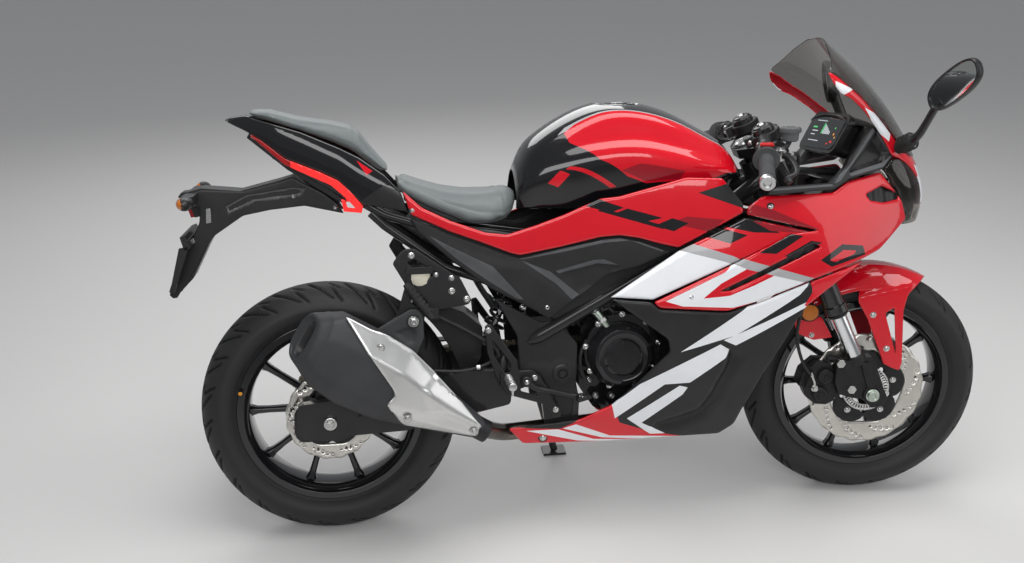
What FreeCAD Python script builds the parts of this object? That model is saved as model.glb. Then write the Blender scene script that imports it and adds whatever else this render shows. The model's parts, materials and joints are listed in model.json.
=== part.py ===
"""Sport motorcycle, full fairing, parked on its side stand.

Every piece is drawn on the upright motorcycle: X forward, Y to the left, Z up,
origin on the ground under the rear axle, millimetres.  One common placement
then leans the whole machine onto its side stand, so that both tyres and the
stand's foot touch the floor.  The steered pieces are first turned together
about the steering axis.
"""
import FreeCAD, Part
import math
import os
from FreeCAD import Placement, Rotation, Vector

doc = FreeCAD.newDocument("SportMotorcycle")

# ---------------------------------------------------------------- dimensions
SIZES = [
    # alias, value, meaning
    ("wheelbase", 1375, "rear axle to front axle"),
    ("rear_tyre_radius", 315, "140/70-17 tyre"),
    ("rear_tyre_width", 142, ""),
    ("rear_crown_radius", 76, "roundness of the rear tread"),
    ("front_tyre_radius", 302, "110/70-17 tyre"),
    ("front_tyre_width", 110, ""),
    ("front_crown_radius", 58, "roundness of the front tread"),
    ("bead_radius", 219, "17 inch rim, where the tyre's bead sits"),
    ("rear_bead_half_width", 50, ""),
    ("front_bead_half_width", 38, ""),
    ("rim_lip", 8, "height of the rim's flange"),
    ("spoke_thickness", 26, "across the wheel"),
    ("spoke_count", 10, ""),
    ("axle_radius", 9, ""),
    ("axle_bore_radius", 5.5, "the front axle is hollow"),
    ("hub_clearance", 0.3, "between an axle and the hub that turns on it"),
    ("rake", 24.5, "steering axis from the vertical, degrees"),
    ("fork_offset", 35, "fork legs ahead of the steering axis"),
    ("fork_spacing", 100, "steering axis to each fork leg"),
    ("fork_tube_radius", 26, "black outer tube"),
    ("fork_slider_radius", 20.5, "bright lower tube"),
    ("steer_rest", -8, "bars as parked, left is positive, degrees"),
    ("stem_radius", 15, ""),
    ("head_tube_radius", 30, ""),
    ("disc_thickness", 4.5, ""),
    ("front_disc_radius", 150, ""),
    ("rear_disc_radius", 110, ""),
    ("disc_waves", 10, "scallops round each brake disc"),
    ("disc_hole_radius", 3, "drilled holes, four to each wave"),
    ("hose_radius", 4.5, "brake hose"),
    ("front_disc_plane", 66, "disc's middle from the wheel's middle, right side"),
    ("rear_disc_plane", 84, ""),
    ("chain_plane", 90, "chain's middle from the wheel's middle, left side"),
    ("front_sprocket_radius", 34, "pitch radius"),
    ("rear_sprocket_radius", 88, "pitch radius"),
    ("sprocket_thickness", 6, ""),
    ("rear_sprocket_teeth", 38, ""),
    ("frame_tube_radius", 18, "main spars"),
    ("subframe_tube_radius", 11, ""),
    ("plate_thickness", 8, "steel brackets"),
    ("pivot_plate_thickness", 16, ""),
    ("pivot_plate_y", 110, "middle of each swingarm pivot plate"),
    ("swingarm_y", 119, "middle of each swingarm beam"),
    ("swingarm_thickness", 26, ""),
    ("panel_thickness", 4, "bodywork"),
    ("screen_thickness", 3, ""),
    ("engine_half_width", 100, ""),
    ("header_radius", 21, "exhaust pipe"),
    ("bar_radius", 11, ""),
    ("grip_radius", 16.5, ""),
    ("spool_hole_radius", 4, "threaded holes for paddock-stand spools, M8"),
    ("plate_hole_radius", 3.2, "number-plate screws"),
    ("middle_x", 656.4, "middle of the parked machine's box, ahead of the rear axle"),
    ("middle_y", 187.0, "and to the left of the rear tyre's contact"),
    ("lean", 10.7, "parked lean to the left, degrees"),
]
sheet = doc.addObject("Spreadsheet::Sheet", "Sizes")
for row, (alias, number, meaning) in enumerate(SIZES, start=1):
    sheet.set(f"A{row}", alias)
    sheet.set(f"B{row}", str(number))
    sheet.set(f"C{row}", meaning)
    sheet.setAlias(f"B{row}", alias)
doc.recompute()
SIZE = {alias: number for alias, number, meaning in SIZES}

X, Y, Z = Vector(1, 0, 0), Vector(0, 1, 0), Vector(0, 0, 1)
NODES = []


# ------------------------------------------------------------------- helpers
def amount(size):
    """A size given as a number, or by its alias in the sheet."""
    return SIZE[size] if isinstance(size, str) else size


def bind(thing, **sizes):
    """Set properties of an object; a size named by its alias stays bound to the sheet."""
    for prop, size in sizes.items():
        if isinstance(size, str):
            thing.setExpression(prop, f"Sizes.{size}")
        else:
            setattr(thing, prop, size)
    return thing


def feature(name, shape):
    made = doc.addObject("Part::Feature", name)
    made.Shape = shape
    return made


def corner_path(points, radius, closed=False, sharp=()):
    """Straight runs through the points, joined by tangent arcs of the given radius."""
    points = [Vector(*p) for p in points]
    count = len(points)
    ends = []
    edges = []
    for i, corner in enumerate(points):
        before = points[i - 1]
        after = points[(i + 1) % count]
        if radius <= 0 or i in sharp or (not closed and i in (0, count - 1)):
            ends.append((corner, corner))
            continue
        inward, outward = before - corner, after - corner
        turn = math.pi - inward.getAngle(outward)
        reach = 0.45 * min(inward.Length, outward.Length)
        trim = min(radius * math.tan(turn / 2), reach)
        if turn < 0.01:
            ends.append((corner, corner))
            continue
        first = corner + inward.normalize() * trim
        last = corner + outward.normalize() * trim
        middle = (first + last) / 2
        bend = trim / math.tan(turn / 2)
        centre = corner + (middle - corner).normalize() * math.hypot(trim, bend)
        peak = centre + (corner - centre).normalize() * bend
        ends.append((first, last))
        edges.append((i, Part.Arc(first, peak, last)))
    arcs = dict(edges)
    path = []
    for i in range(count):
        if i in arcs:
            path.append(arcs[i])
        if i == count - 1 and not closed:
            break
        start, stop = ends[i][1], ends[(i + 1) % count][0]
        if (stop - start).Length > 1e-6:
            path.append(Part.LineSegment(start, stop))
    return path


def wire(points, radius=0, closed=True):
    return Part.Wire([piece.toShape() for piece in corner_path(points, radius, closed)])


def sketch_on(body, role, geometry):
    """A sketch on one of the body's own origin planes."""
    sketch = body.newObject("Sketcher::SketchObject", body.Name + "Sketch")
    plane = [o for o in body.Origin.OriginFeatures if o.Role == role][0]
    sketch.AttachmentSupport = [(plane, "")]
    sketch.MapMode = "FlatFace"
    for piece in geometry:
        sketch.addGeometry(piece, False)
    return sketch


def plate(name, outline, thickness, y, radius=0):
    """A side-view outline (x, z), padded evenly to both sides of the plane at y."""
    body = doc.addObject("PartDesign::Body", name)
    sketch = sketch_on(body, "XZ_Plane", corner_path([(x, z, 0) for x, z in outline], radius, True))
    pad = body.newObject("PartDesign::Pad", name + "Pad")
    pad.Profile = sketch
    pad.SideType = "Symmetric"
    bind(pad, Length=thickness)
    body.Placement = Placement(Vector(0, y, 0), Rotation())
    return body


def deck(name, outline, bottom, top, radius=0):
    """A plan outline (x, y) standing between two heights."""
    body = doc.addObject("PartDesign::Body", name)
    sketch = sketch_on(body, "XY_Plane", corner_path([(x, y, 0) for x, y in outline], radius, True))
    pad = body.newObject("PartDesign::Pad", name + "Pad")
    pad.Profile = sketch
    pad.Length = top - bottom
    body.Placement = Placement(Vector(0, 0, bottom), Rotation())
    return body


def both_sides(half):
    """The closed outline of a plan that is the same to the left and right of the middle."""
    return half + [(x, -y) for x, y in reversed(half)]


def turned(name, profile, centre, axis=Y, angle=360):
    """A profile of (distance along the axis, radius) edges, revolved about the axis."""
    body = doc.addObject("PartDesign::Body", name)
    sketch = sketch_on(body, "YZ_Plane", profile)
    spin = body.newObject("PartDesign::Revolution", name + "Turn")
    spin.Profile = sketch
    spin.ReferenceAxis = (sketch, ["H_Axis"])
    spin.Angle = angle
    body.Placement = Placement(centre, Rotation(Y, axis))
    return body


def stepped(points, radius=0):
    """Edges of a turned profile from its (along, radius) corners; those on the axis stay sharp."""
    on_axis = [i for i, (_, distance) in enumerate(points) if distance == 0]
    return corner_path([(a, r, 0) for a, r in points], radius, True, on_axis)


def rod(name, radius, length, centre, axis=Y):
    made = doc.addObject("Part::Cylinder", name)
    bind(made, Radius=radius, Height=length)
    start = centre - axis * (amount(length) / 2 / axis.Length)
    made.Placement = Placement(start, Rotation(Z, axis))
    return made


def block(name, size, centre, turn=Rotation()):
    made = doc.addObject("Part::Box", name)
    bind(made, Length=size[0], Width=size[1], Height=size[2])
    made.Placement = Placement(centre - turn.multVec(Vector(*size) / 2), turn)
    return made


def tube(name, points, radius, bend):
    """A round bar or pipe along straight runs and tangent bends."""
    spine = wire(points, bend, closed=False)
    start = Vector(*points[0])
    along = Vector(*points[1]) - start
    section = Part.Wire(Part.makeCircle(amount(radius), start, along))
    return feature(name, spine.makePipeShell([section], True, True))


def fuse(name, *parts):
    made = doc.addObject("Part::MultiFuse", name)
    made.Shapes = list(parts)
    return made


def cut(name, base, *tools):
    made = doc.addObject("Part::Cut", name)
    made.Base = base
    made.Tool = tools[0] if len(tools) == 1 else fuse(name + "Tools", *tools)
    return made


def common(name, *parts):
    made = doc.addObject("Part::MultiCommon", name)
    made.Shapes = list(parts)
    return made


def group(name, *parts):
    """Like pieces that don't touch, kept together."""
    made = doc.addObject("Part::Compound", name)
    made.Links = list(parts)
    return made


def reflected(name, source):
    """The same piece on the other side, before either is placed."""
    made = doc.addObject("Part::Mirroring", name)
    made.Source = source
    made.Normal = Y
    return made


def loft(name, wires, ruled=False):
    sections = [feature(f"{name}Section{i}", section) for i, section in enumerate(wires)]
    made = doc.addObject("Part::Loft", name)
    made.Sections = sections
    made.Solid = True
    made.Ruled = ruled
    return made


# ------------------------------------------------------------ main positions
REAR_AXLE = Vector(0, 0, SIZE["rear_tyre_radius"])
FRONT_AXLE = Vector(SIZE["wheelbase"], 0, SIZE["front_tyre_radius"])
RAKE = math.radians(SIZE["rake"])
STEER_AXIS = Vector(-math.sin(RAKE), 0, math.cos(RAKE))
STEER_FORWARD = Vector(math.cos(RAKE), 0, math.sin(RAKE))
STEER_BASE = FRONT_AXLE - STEER_FORWARD * SIZE["fork_offset"]
SWINGARM_PIVOT = Vector(561, 0, 401)
FRONT_SPROCKET = Vector(636, SIZE["chain_plane"], 400)
STAND_PIVOT = Vector(540, 138, 292)
STAND_FOOT_XY = (612, 262)  # on the floor, from the rear tyre's contact


def on_steering(height, forward=0, side=0):
    """A point at a height above the floor on the steering axis, then ahead and to the left."""
    along = (height - STEER_BASE.z) / STEER_AXIS.z
    return STEER_BASE + STEER_AXIS * along + STEER_FORWARD * forward + Y * side


def tyre_bottom(placement, centre, axle, tyre):
    """Height of a leaning tyre's lowest point."""
    radius, crown = SIZE[tyre + "_tyre_radius"], SIZE[tyre + "_crown_radius"]
    middle = placement.multVec(centre)
    tilt = placement.Rotation.multVec(axle).z
    return middle.z - (radius - crown) * math.sqrt(1 - tilt * tilt) - crown


def parked_placements():
    """Lean the machine, then pitch and raise it until both tyres touch the floor."""
    turn = Placement(Vector(), Rotation(STEER_AXIS, SIZE["steer_rest"]), STEER_BASE)
    pitch, raise_by = 0.0, 0.0
    for _ in range(6):
        lean = Placement(
            Vector(-SIZE["middle_x"], -SIZE["middle_y"], raise_by), Rotation(Y, pitch) * Rotation(X, -SIZE["lean"])
        )
        rear = tyre_bottom(lean, REAR_AXLE, Y, "rear")
        front = tyre_bottom(lean * turn, FRONT_AXLE, Y, "front")
        pitch += math.degrees((front - rear) / SIZE["wheelbase"])
        raise_by -= rear
    return lean, turn


LEAN, STEER = parked_placements()


def node(label, made, steered=False):
    """Name a finished piece and stand it where it is when parked."""
    made.Label = label
    made.Placement = LEAN * (STEER if steered else Placement()) * made.Placement
    NODES.append(made)
    return made


def mirrored(label, source, steered=False):
    """The same piece on the machine's other side."""
    place = LEAN * (STEER if steered else Placement())
    made = doc.addObject("Part::Mirroring", label)
    made.Source = source
    made.Base = place.Base
    made.Normal = place.Rotation.multVec(Y)
    made.Label = label
    NODES.append(made)
    return made


def pair(label, right, steered=False):
    """A piece and its mirror image, kept in one node because they never touch."""
    return node(label, group(label, right, reflected(label + "Left", right)), steered)


# -------------------------------------------------------------------- wheels
def tyre(label, which, centre, steered):
    """Tread, sidewalls and beads of a tubeless tyre, hollow inside."""
    radius, width = SIZE[which + "_tyre_radius"], SIZE[which + "_tyre_width"]
    crown, bead = SIZE[which + "_crown_radius"], SIZE[which + "_bead_half_width"]
    seat, lip = SIZE["bead_radius"], SIZE["rim_lip"]
    rubber = 10
    shoulder = math.radians(58)
    side_y, side_z = crown * math.sin(shoulder), radius - crown * (1 - math.cos(shoulder))
    left, right = Vector(side_y, side_z, 0), Vector(-side_y, side_z, 0)
    bulge = (side_z + seat + lip) / 2
    profile = [
        Part.Arc(right, Vector(0, radius, 0), left),
        Part.Arc(left, Vector(width / 2, bulge, 0), Vector(bead, seat + lip, 0)),
        Part.LineSegment(Vector(bead, seat + lip, 0), Vector(bead, seat, 0)),
        Part.LineSegment(Vector(bead, seat, 0), Vector(bead - rubber, seat, 0)),
        Part.Arc(
            Vector(bead - rubber, seat, 0),
            Vector(0, radius - rubber, 0),
            Vector(rubber - bead, seat, 0),
        ),
        Part.LineSegment(Vector(rubber - bead, seat, 0), Vector(-bead, seat, 0)),
        Part.LineSegment(Vector(-bead, seat, 0), Vector(-bead, seat + lip, 0)),
        Part.Arc(Vector(-bead, seat + lip, 0), Vector(-width / 2, bulge, 0), right),
    ]
    return node(label, turned(label, profile, centre), steered)


def rim(label, which, centre, hub_half, hub_radius, steered):
    """Cast wheel: drop-centre rim, hub and straight tapered spokes."""
    bead, seat, lip = SIZE[which + "_bead_half_width"], SIZE["bead_radius"], SIZE["rim_lip"]
    well, wall = 16, 8
    half = [
        (bead + 4, seat + lip),
        (bead, seat + lip),
        (bead, seat),
        (bead - 10, seat),
        (bead - 20, seat - well),
    ]
    inner = [
        (bead - 16, seat - well - wall),
        (bead - 6, seat - wall),
        (bead + 4, seat - wall),
    ]
    outside = [(-a, r) for a, r in half] + list(reversed(half))
    inside = list(reversed(inner)) + [(-a, r) for a, r in inner]
    body = turned(label, stepped(outside + inside), centre)
    bore = SIZE["axle_radius"] + SIZE["hub_clearance"]
    waist = hub_half - 16
    hub = sketch_on(
        body,
        "YZ_Plane",
        stepped(
            [
                (-hub_half, bore),
                (-hub_half, hub_radius - 8),
                (-waist, hub_radius),
                (waist, hub_radius),
                (hub_half, hub_radius - 8),
                (hub_half, bore),
            ]
        ),
    )
    spin = body.newObject("PartDesign::Revolution", label + "Hub")
    spin.Profile = hub
    spin.ReferenceAxis = (hub, ["H_Axis"])
    root, tip = hub_radius - 4, seat - well - wall / 2
    spoke_sketch = sketch_on(
        body,
        "XZ_Plane",
        stepped([(-13, root), (-8, tip * 0.75), (-10, tip), (10, tip), (8, tip * 0.75), (13, root)]),
    )
    spoke = body.newObject("PartDesign::Pad", label + "Spoke")
    spoke.Profile = spoke_sketch
    spoke.SideType = "Symmetric"
    bind(spoke, Length="spoke_thickness")
    pattern = body.newObject("PartDesign::PolarPattern", label + "Spokes")
    pattern.Originals = [spoke]
    pattern.Axis = ([o for o in body.Origin.OriginFeatures if o.Role == "Y_Axis"][0], [""])
    pattern.Angle = 360
    bind(pattern, Occurrences="spoke_count")
    body.Tip = pattern
    return node(label, body, steered)


def wave_disc(label, radius, inner_radius, centre, carrier, steered):
    """Brake disc with a scalloped outer edge, on the dished carrier that bolts to the hub."""
    body = doc.addObject("PartDesign::Body", label + "Ring")
    radius = amount(radius)
    ring = sketch_on(
        body,
        "XZ_Plane",
        [Part.Circle(Vector(), Z, radius), Part.Circle(Vector(), Z, inner_radius)],
    )
    pad = body.newObject("PartDesign::Pad", label + "Blank")
    pad.Profile = ring
    pad.SideType = "Symmetric"
    bind(pad, Length="disc_thickness")
    scallop = radius / 9
    bite = sketch_on(body, "XZ_Plane", [Part.Circle(Vector(0, radius + scallop * 0.55, 0), Z, scallop)])
    pocket = body.newObject("PartDesign::Pocket", label + "Wave")
    pocket.Profile = bite
    pocket.Type = "ThroughAll"
    pocket.SideType = "Symmetric"
    drilled = sketch_on(
        body,
        "XZ_Plane",
        [
            Part.Circle(Vector(reach * math.sin(turn), reach * math.cos(turn), 0), Z, SIZE["disc_hole_radius"])
            for reach, turn in zip(
                (inner_radius + (radius - inner_radius) * part for part in (0.2, 0.42, 0.62, 0.38)),
                (math.radians(angle) for angle in (3, 9, 15, 24)),
            )
        ],
    )
    holes = body.newObject("PartDesign::Pocket", label + "Drilled")
    holes.Profile = drilled
    holes.Type = "ThroughAll"
    holes.SideType = "Symmetric"
    pattern = body.newObject("PartDesign::PolarPattern", label + "Waves")
    pattern.Originals = [pocket, holes]
    pattern.Axis = ([o for o in body.Origin.OriginFeatures if o.Role == "Y_Axis"][0], [""])
    pattern.Angle = 360
    bind(pattern, Occurrences="disc_waves")
    body.Tip = pattern
    body.Placement = Placement(centre, Rotation())
    return node(label, fuse(label, body, carrier), steered)


def wheels():
    tyre("rear_tyre", "rear", REAR_AXLE, False)
    tyre("front_tyre", "front", FRONT_AXLE, True)
    rim("rear_rim", "rear", REAR_AXLE, 78, 38, False)
    rim("front_rim", "front", FRONT_AXLE, 60, 34, True)
    plane = SIZE["front_disc_plane"]
    dish = [(-plane - 2, 42), (-plane - 2, 113), (3 - plane, 113), (3 - plane, 48), (-60.2, 48), (-60.2, 42)]
    carrier = turned("FrontDiscCarrier", stepped(dish), FRONT_AXLE)
    wave_disc("front_disc", "front_disc_radius", 112, FRONT_AXLE - Y * plane, carrier, True)
    plane = SIZE["rear_disc_plane"]
    dish = [(-plane - 2, 44), (-plane - 2, 71), (2 - plane, 71), (2 - plane, 50), (-78.2, 50), (-78.2, 44)]
    carrier = turned("RearDiscCarrier", stepped(dish), REAR_AXLE)
    wave_disc("rear_disc", "rear_disc_radius", 70, REAR_AXLE - Y * plane, carrier, False)
    axle = rod("FrontAxleBar", "axle_radius", 248, FRONT_AXLE)
    bore = rod("FrontAxleBore", "axle_bore_radius", 260, FRONT_AXLE)
    node("front_axle", cut("front_axle", axle, bore), steered=True)
    node("rear_axle", rod("rear_axle", "axle_radius", 284, REAR_AXLE))


# --------------------------------------------------------------- final drive
def loop_wire(front_radius, rear_radius):
    """The closed line of a chain: two arcs round the sprockets and two tangents."""
    apart = FRONT_SPROCKET - REAR_AXLE
    apart.y = 0
    along = math.atan2(apart.z, apart.x)
    open_angle = math.acos((rear_radius - front_radius) / apart.Length)

    def rim_point(centre, radius, angle):
        return Vector(centre.x + radius * math.cos(angle), 0, centre.z + radius * math.sin(angle))

    up, down, back = along + open_angle, along - open_angle, along + math.pi
    rear = [rim_point(REAR_AXLE, rear_radius, a) for a in (up, back, down)]
    front = [rim_point(FRONT_SPROCKET, front_radius, a) for a in (down, along, up)]
    return Part.Wire(
        [
            Part.Arc(*rear).toShape(),
            Part.LineSegment(rear[2], front[0]).toShape(),
            Part.Arc(*front).toShape(),
            Part.LineSegment(front[2], rear[0]).toShape(),
        ]
    )


def band(name, outward, inward, thickness, y):
    """A flat loop between two distances from the sprockets' pitch circles."""
    front, rear = SIZE["front_sprocket_radius"], SIZE["rear_sprocket_radius"]
    outside = Part.Face(loop_wire(front + outward, rear + outward))
    inside = Part.Face(loop_wire(front + inward, rear + inward))
    ring = outside.cut(inside)
    ring.translate(Y * (y - thickness / 2))
    return feature(name, ring.extrude(Y * thickness))


def final_drive():
    """Chain with its side plates either side of the sprocket's teeth, and both sprockets."""
    middle = SIZE["chain_plane"]
    side_gap = 5.0
    rollers = band("ChainRollers", 7, 3.5, 2 * side_gap, middle)
    near = band("ChainPlatesLeft", 7, -5, 2.5, middle + side_gap + 1.25)
    far = band("ChainPlatesRight", 7, -5, 2.5, middle - side_gap - 1.25)
    node("drive_chain", fuse("drive_chain", rollers, near, far))

    body = doc.addObject("PartDesign::Body", "SprocketTeeth")
    reach = SIZE["rear_sprocket_radius"]
    ring = sketch_on(
        body,
        "XZ_Plane",
        [Part.Circle(Vector(), Z, reach - 5), Part.Circle(Vector(), Z, 52)],
    )
    pad = body.newObject("PartDesign::Pad", "rear_sprocketRing")
    pad.Profile = ring
    pad.SideType = "Symmetric"
    bind(pad, Length="sprocket_thickness")
    tooth = sketch_on(
        body, "XZ_Plane", stepped([(-5, reach - 8), (-2, reach + 2.5), (2, reach + 2.5), (5, reach - 8)])
    )
    pad = body.newObject("PartDesign::Pad", "rear_sprocketTooth")
    pad.Profile = tooth
    pad.SideType = "Symmetric"
    bind(pad, Length="sprocket_thickness")
    pattern = body.newObject("PartDesign::PolarPattern", "rear_sprocketTeeth")
    pattern.Originals = [pad]
    pattern.Axis = ([o for o in body.Origin.OriginFeatures if o.Role == "Y_Axis"][0], [""])
    pattern.Angle = 360
    bind(pattern, Occurrences="rear_sprocket_teeth")
    body.Tip = pattern
    body.Placement = Placement(REAR_AXLE + Y * middle, Rotation())
    carrier = turned(
        "SprocketCarrier",
        stepped([(78.2, 12), (78.2, 46), (87, 46), (87, 60), (93, 60), (93, 30), (97, 30), (97, 12)]),
        REAR_AXLE,
    )
    node("rear_sprocket", fuse("rear_sprocket", body, carrier))


# --------------------------------------------------------------------- frame
def frame():
    """Two bent spars from the pivot plates to the steering head, with cross tubes."""
    spar = tube(
        "SparLeft",
        [(515, 113, 500), (815, 122, 668), (985, 74, 790), (1082, 20, 838)],
        "frame_tube_radius",
        60,
    )
    y = SIZE["pivot_plate_y"]
    outline = [
        (470, 520), (462, 410), (505, 380), (520, 262), (600, 262), (604, 330),
        (592, 400), (592, 470), (560, 545), (500, 545),
    ]
    pivot_plate = plate("PivotPlate", outline, "pivot_plate_thickness", y, 14)
    side = fuse("FrameSide", spar, pivot_plate)
    head_turn = STEER_AXIS
    head = rod("HeadTube", "head_tube_radius", 118, on_steering(838), head_turn)
    bore = rod("HeadBore", 17, 200, on_steering(838), head_turn)
    cross = [
        rod("CrossTubeSeat", 14, 226, Vector(540, 0, 528)),
        rod("CrossTubeMiddle", 14, 230, Vector(655, 0, 580)),
        rod("CrossTubeLow", 12, 226, Vector(562, 0, 290)),
    ]
    swing_bolt = rod("SwingarmBolt", 9.8, 244, SWINGARM_PIVOT)
    shock_lug = block("ShockLug", (40, 26, 44), Vector(512, 0, 540))
    boss = rod("StandBoss", 14, 22, STAND_PIVOT - stand_axis() * 22.5, stand_axis())
    whole = fuse("MainFrameWhole", side, reflected("FrameSideRight", side), head, *cross, swing_bolt, shock_lug, boss)
    node("main_frame", cut("main_frame", whole, bore))


def subframe():
    """Seat rails, bolted behind the pivot plates."""
    upper = tube(
        "SeatRail",
        [(745, 96, 668), (560, 92, 705), (330, 88, 742), (150, 84, 800), (20, 70, 880), (-96, 48, 945)],
        "subframe_tube_radius",
        60,
    )
    lower = tube(
        "SeatStay",
        [(520, 92, 556), (390, 90, 632), (290, 88, 668), (150, 84, 774), (118, 83, 806)],
        "subframe_tube_radius",
        50,
    )
    side = fuse("SubframeSide", upper, lower)
    cross = [rod("RailCrossFront", 9, 180, Vector(330, 0, 742)), rod("RailCrossRear", 9, 130, Vector(0, 0, 892))]
    cross.append(rod("ShockCross", 10, 184, Vector(520, 0, 712)))
    node("subframe", fuse("subframe", side, reflected("SubframeSideRight", side), *cross))


def swingarm():
    """Box-section beams either side of the wheel, a cross member, and two arms to the pivot tube."""
    outline = [
        (-74, 362), (-80, 300), (-66, 276), (180, 284), (432, 334), (440, 402), (400, 420), (330, 424),
        (200, 398), (40, 372),
    ]
    beam = plate("SwingBeam", outline, "swingarm_thickness", SIZE["swingarm_y"], 12)
    axle_hole = rod("AxleSlot", "axle_radius", 60, REAR_AXLE + Y * SIZE["swingarm_y"])
    spool = rod("SpoolHole", "spool_hole_radius", 24, Vector(70, SIZE["swingarm_y"] + 13, 330))
    outline = [(372, 340), (420, 336), (540, 378), (585, 401), (545, 424), (440, 402), (372, 402)]
    arm = plate("PivotArm", outline, 18, 66, 6)
    side = fuse("SwingSide", cut("SwingBeamBored", beam, axle_hole, spool), arm)
    cross = block("SwingCross", (70, 226, 62), Vector(395, 0, 366))
    pivot = rod("PivotTube", 18, 196, SWINGARM_PIVOT)
    gusset = plate("SwingGusset", [(362, 392), (425, 392), (408, 452), (385, 452)], 34, 0, 6)
    guard = plate("ChainGuard", [(70, 430), (430, 448), (430, 452), (70, 434)], 36, 98)
    tabs = [block(f"GuardTab{x}", (24, 6, 44), Vector(x, 113, z)) for x, z in ((200, 416), (380, 428))]
    whole = fuse(
        "SwingarmWhole", side, reflected("SwingSideRight", side), cross, pivot, gusset, guard, *tabs
    )
    node("swingarm", cut("swingarm", whole, rod("PivotBore", 9.9, 220, SWINGARM_PIVOT)))


# -------------------------------------------------------------------- engine
def engine():
    """Twin-cylinder engine: crankcase, forward-leaning cylinders and side covers."""
    half = SIZE["engine_half_width"]
    outline = [
        (612, 350), (650, 292), (835, 292), (885, 350), (892, 455), (850, 520), (700, 560), (618, 500),
    ]
    core = plate("CrankcaseCore", outline, 152, 0, 16)
    wide = plate("CrankcaseWide", [(x, z) for x, z in outline if x > 640][0:5] + [(690, 545), (690, 300)],
                 2 * half, 0, 10)
    sprocket = rod("FrontSprocketWheel", 30, "sprocket_thickness", FRONT_SPROCKET)
    shaft = rod("FrontSprocketShaft", 11, 24, FRONT_SPROCKET - Y * 4)
    node("crankcase", fuse("crankcase", core, wide, sprocket, shaft))
    lean = Rotation(Y, 32)
    foot = Vector(798, 0, 584)
    up = lean.multVec(Z)
    cylinder = block("Cylinders", (150, 160, 118), foot, lean)
    head = block("Head", (160, 172, 76), foot + up * 97, lean)
    fins = [block(f"Fin{i}", (158, 172, 4), foot + up * (12 * i - 18), lean) for i in range(5)]
    node("cylinder_head", cut("cylinder_head", fuse("CylinderWhole", cylinder, head, *fins), core, wide))
    centre = Vector(712, -half, 446)
    cover = turned(
        "clutch_cover",
        stepped([(0.2, 0), (0.2, 92), (16, 92), (26, 82), (26, 64), (40, 58), (46, 44), (46, 30), (40, 26), (40, 0)], 3),
        centre,
        -1 * Y,
    )
    node("clutch_cover", cover)
    cover = turned(
        "GeneratorCover",
        stepped([(0.2, 0), (0.2, 78), (18, 78), (30, 66), (38, 40), (38, 0)], 4),
        Vector(792, half, 430),
    )
    outline = [(596, 452), (596, 372), (630, 348), (682, 360), (686, 440), (650, 468)]
    node("left_engine_covers", group("left_engine_covers", cover, plate("SprocketCover", outline, 8, 108, 12)))
    core = block("RadiatorCore", (34, 270, 250), Vector(1010, 0, 566), Rotation(Y, 8))
    tanks = [
        block(f"RadiatorTank{s}", (46, 24, 262), Vector(1010, s * 146, 566), Rotation(Y, 8)) for s in (-1, 1)
    ]
    node("radiator", fuse("radiator", core, *tanks))


def exhaust():
    """Header under the engine, bulbous silencer on the right and its outer shield."""
    pipe = tube(
        "HeaderPipe",
        [(918, -30, 622), (948, -30, 603), (948, -30, 330), (890, -34, 252), (640, -52, 246),
         (420, -80, 244), (346, -192, 301)],
        "header_radius",
        52,
    )
    front, rear = Vector(348, -190, 300), Vector(-66, -198, 557)
    along = (rear - front).normalize()
    across = Y.cross(along).normalize()

    def section(distance, up, down, width, grow):
        corners = [
            (width / 2 + grow, up * 0.5), (width * 0.28, up + grow), (-width * 0.28, up + grow),
            (-width / 2 - grow, up * 0.5), (-width / 2 - grow, -down * 0.55),
            (-width * 0.25, -down - grow), (width * 0.25, -down - grow), (width / 2 + grow, -down * 0.55),
        ]
        place = front + along * distance
        return wire([place + Y * a + across * b for a, b in corners], 14)

    stations = [
        # distance, above the middle line, below it, width
        (2, 24, 24, 52),
        (150, 57, 70, 92),
        (235, 88, 92, 108),
        (330, 94, 100, 112),
        (420, 92, 88, 106),
        (486, 58, 60, 84),
    ]
    can = loft("SilencerBody", [section(*row, 0) for row in stations], ruled=True)
    outlet = rod("SilencerOutlet", 24, 60, front + along * 486 - across * 8, along)
    node("muffler", cut("muffler", can, outlet))
    node("exhaust_header", cut("exhaust_header", pipe, can))
    outer = loft("ShieldOuter", [section(*row, 7) for row in stations[:5]], ruled=True)
    inner = loft("ShieldInner", [section(*row, 4) for row in stations[:5]], ruled=True)
    outline = [
        (50, 592), (126, 556), (214, 492), (258, 428), (352, 318), (330, 286), (170, 328),
        (134, 392), (154, 412), (104, 500),
    ]
    window = plate("ShieldWindow", outline, 60, -242, 8)
    node("muffler_shield", common("muffler_shield", cut("ShieldShell", outer, inner), window))


# ------------------------------------------------------------------ bodywork
def skin(name, stations, levels, inset):
    """Loft through sections of (half widths at the given heights), made smaller by the inset."""
    wires = []
    for x, *widths in stations:
        w = [width - inset for width in widths]
        left = [Vector(x, a, z) for a, z in zip(w, levels)]
        right = [Vector(x, -a, z) for a, z in zip(w, levels)]
        wires.append(
            Part.Wire(
                [
                    Part.LineSegment(right[0], left[0]).toShape(),
                    Part.Arc(left[0], left[1], left[2]).toShape(),
                    Part.Arc(left[2], left[3], left[4]).toShape(),
                    Part.LineSegment(left[4], right[4]).toShape(),
                    Part.Arc(right[4], right[3], right[2]).toShape(),
                    Part.Arc(right[2], right[1], right[0]).toShape(),
                ]
            )
        )
    return loft(name, wires)


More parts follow.
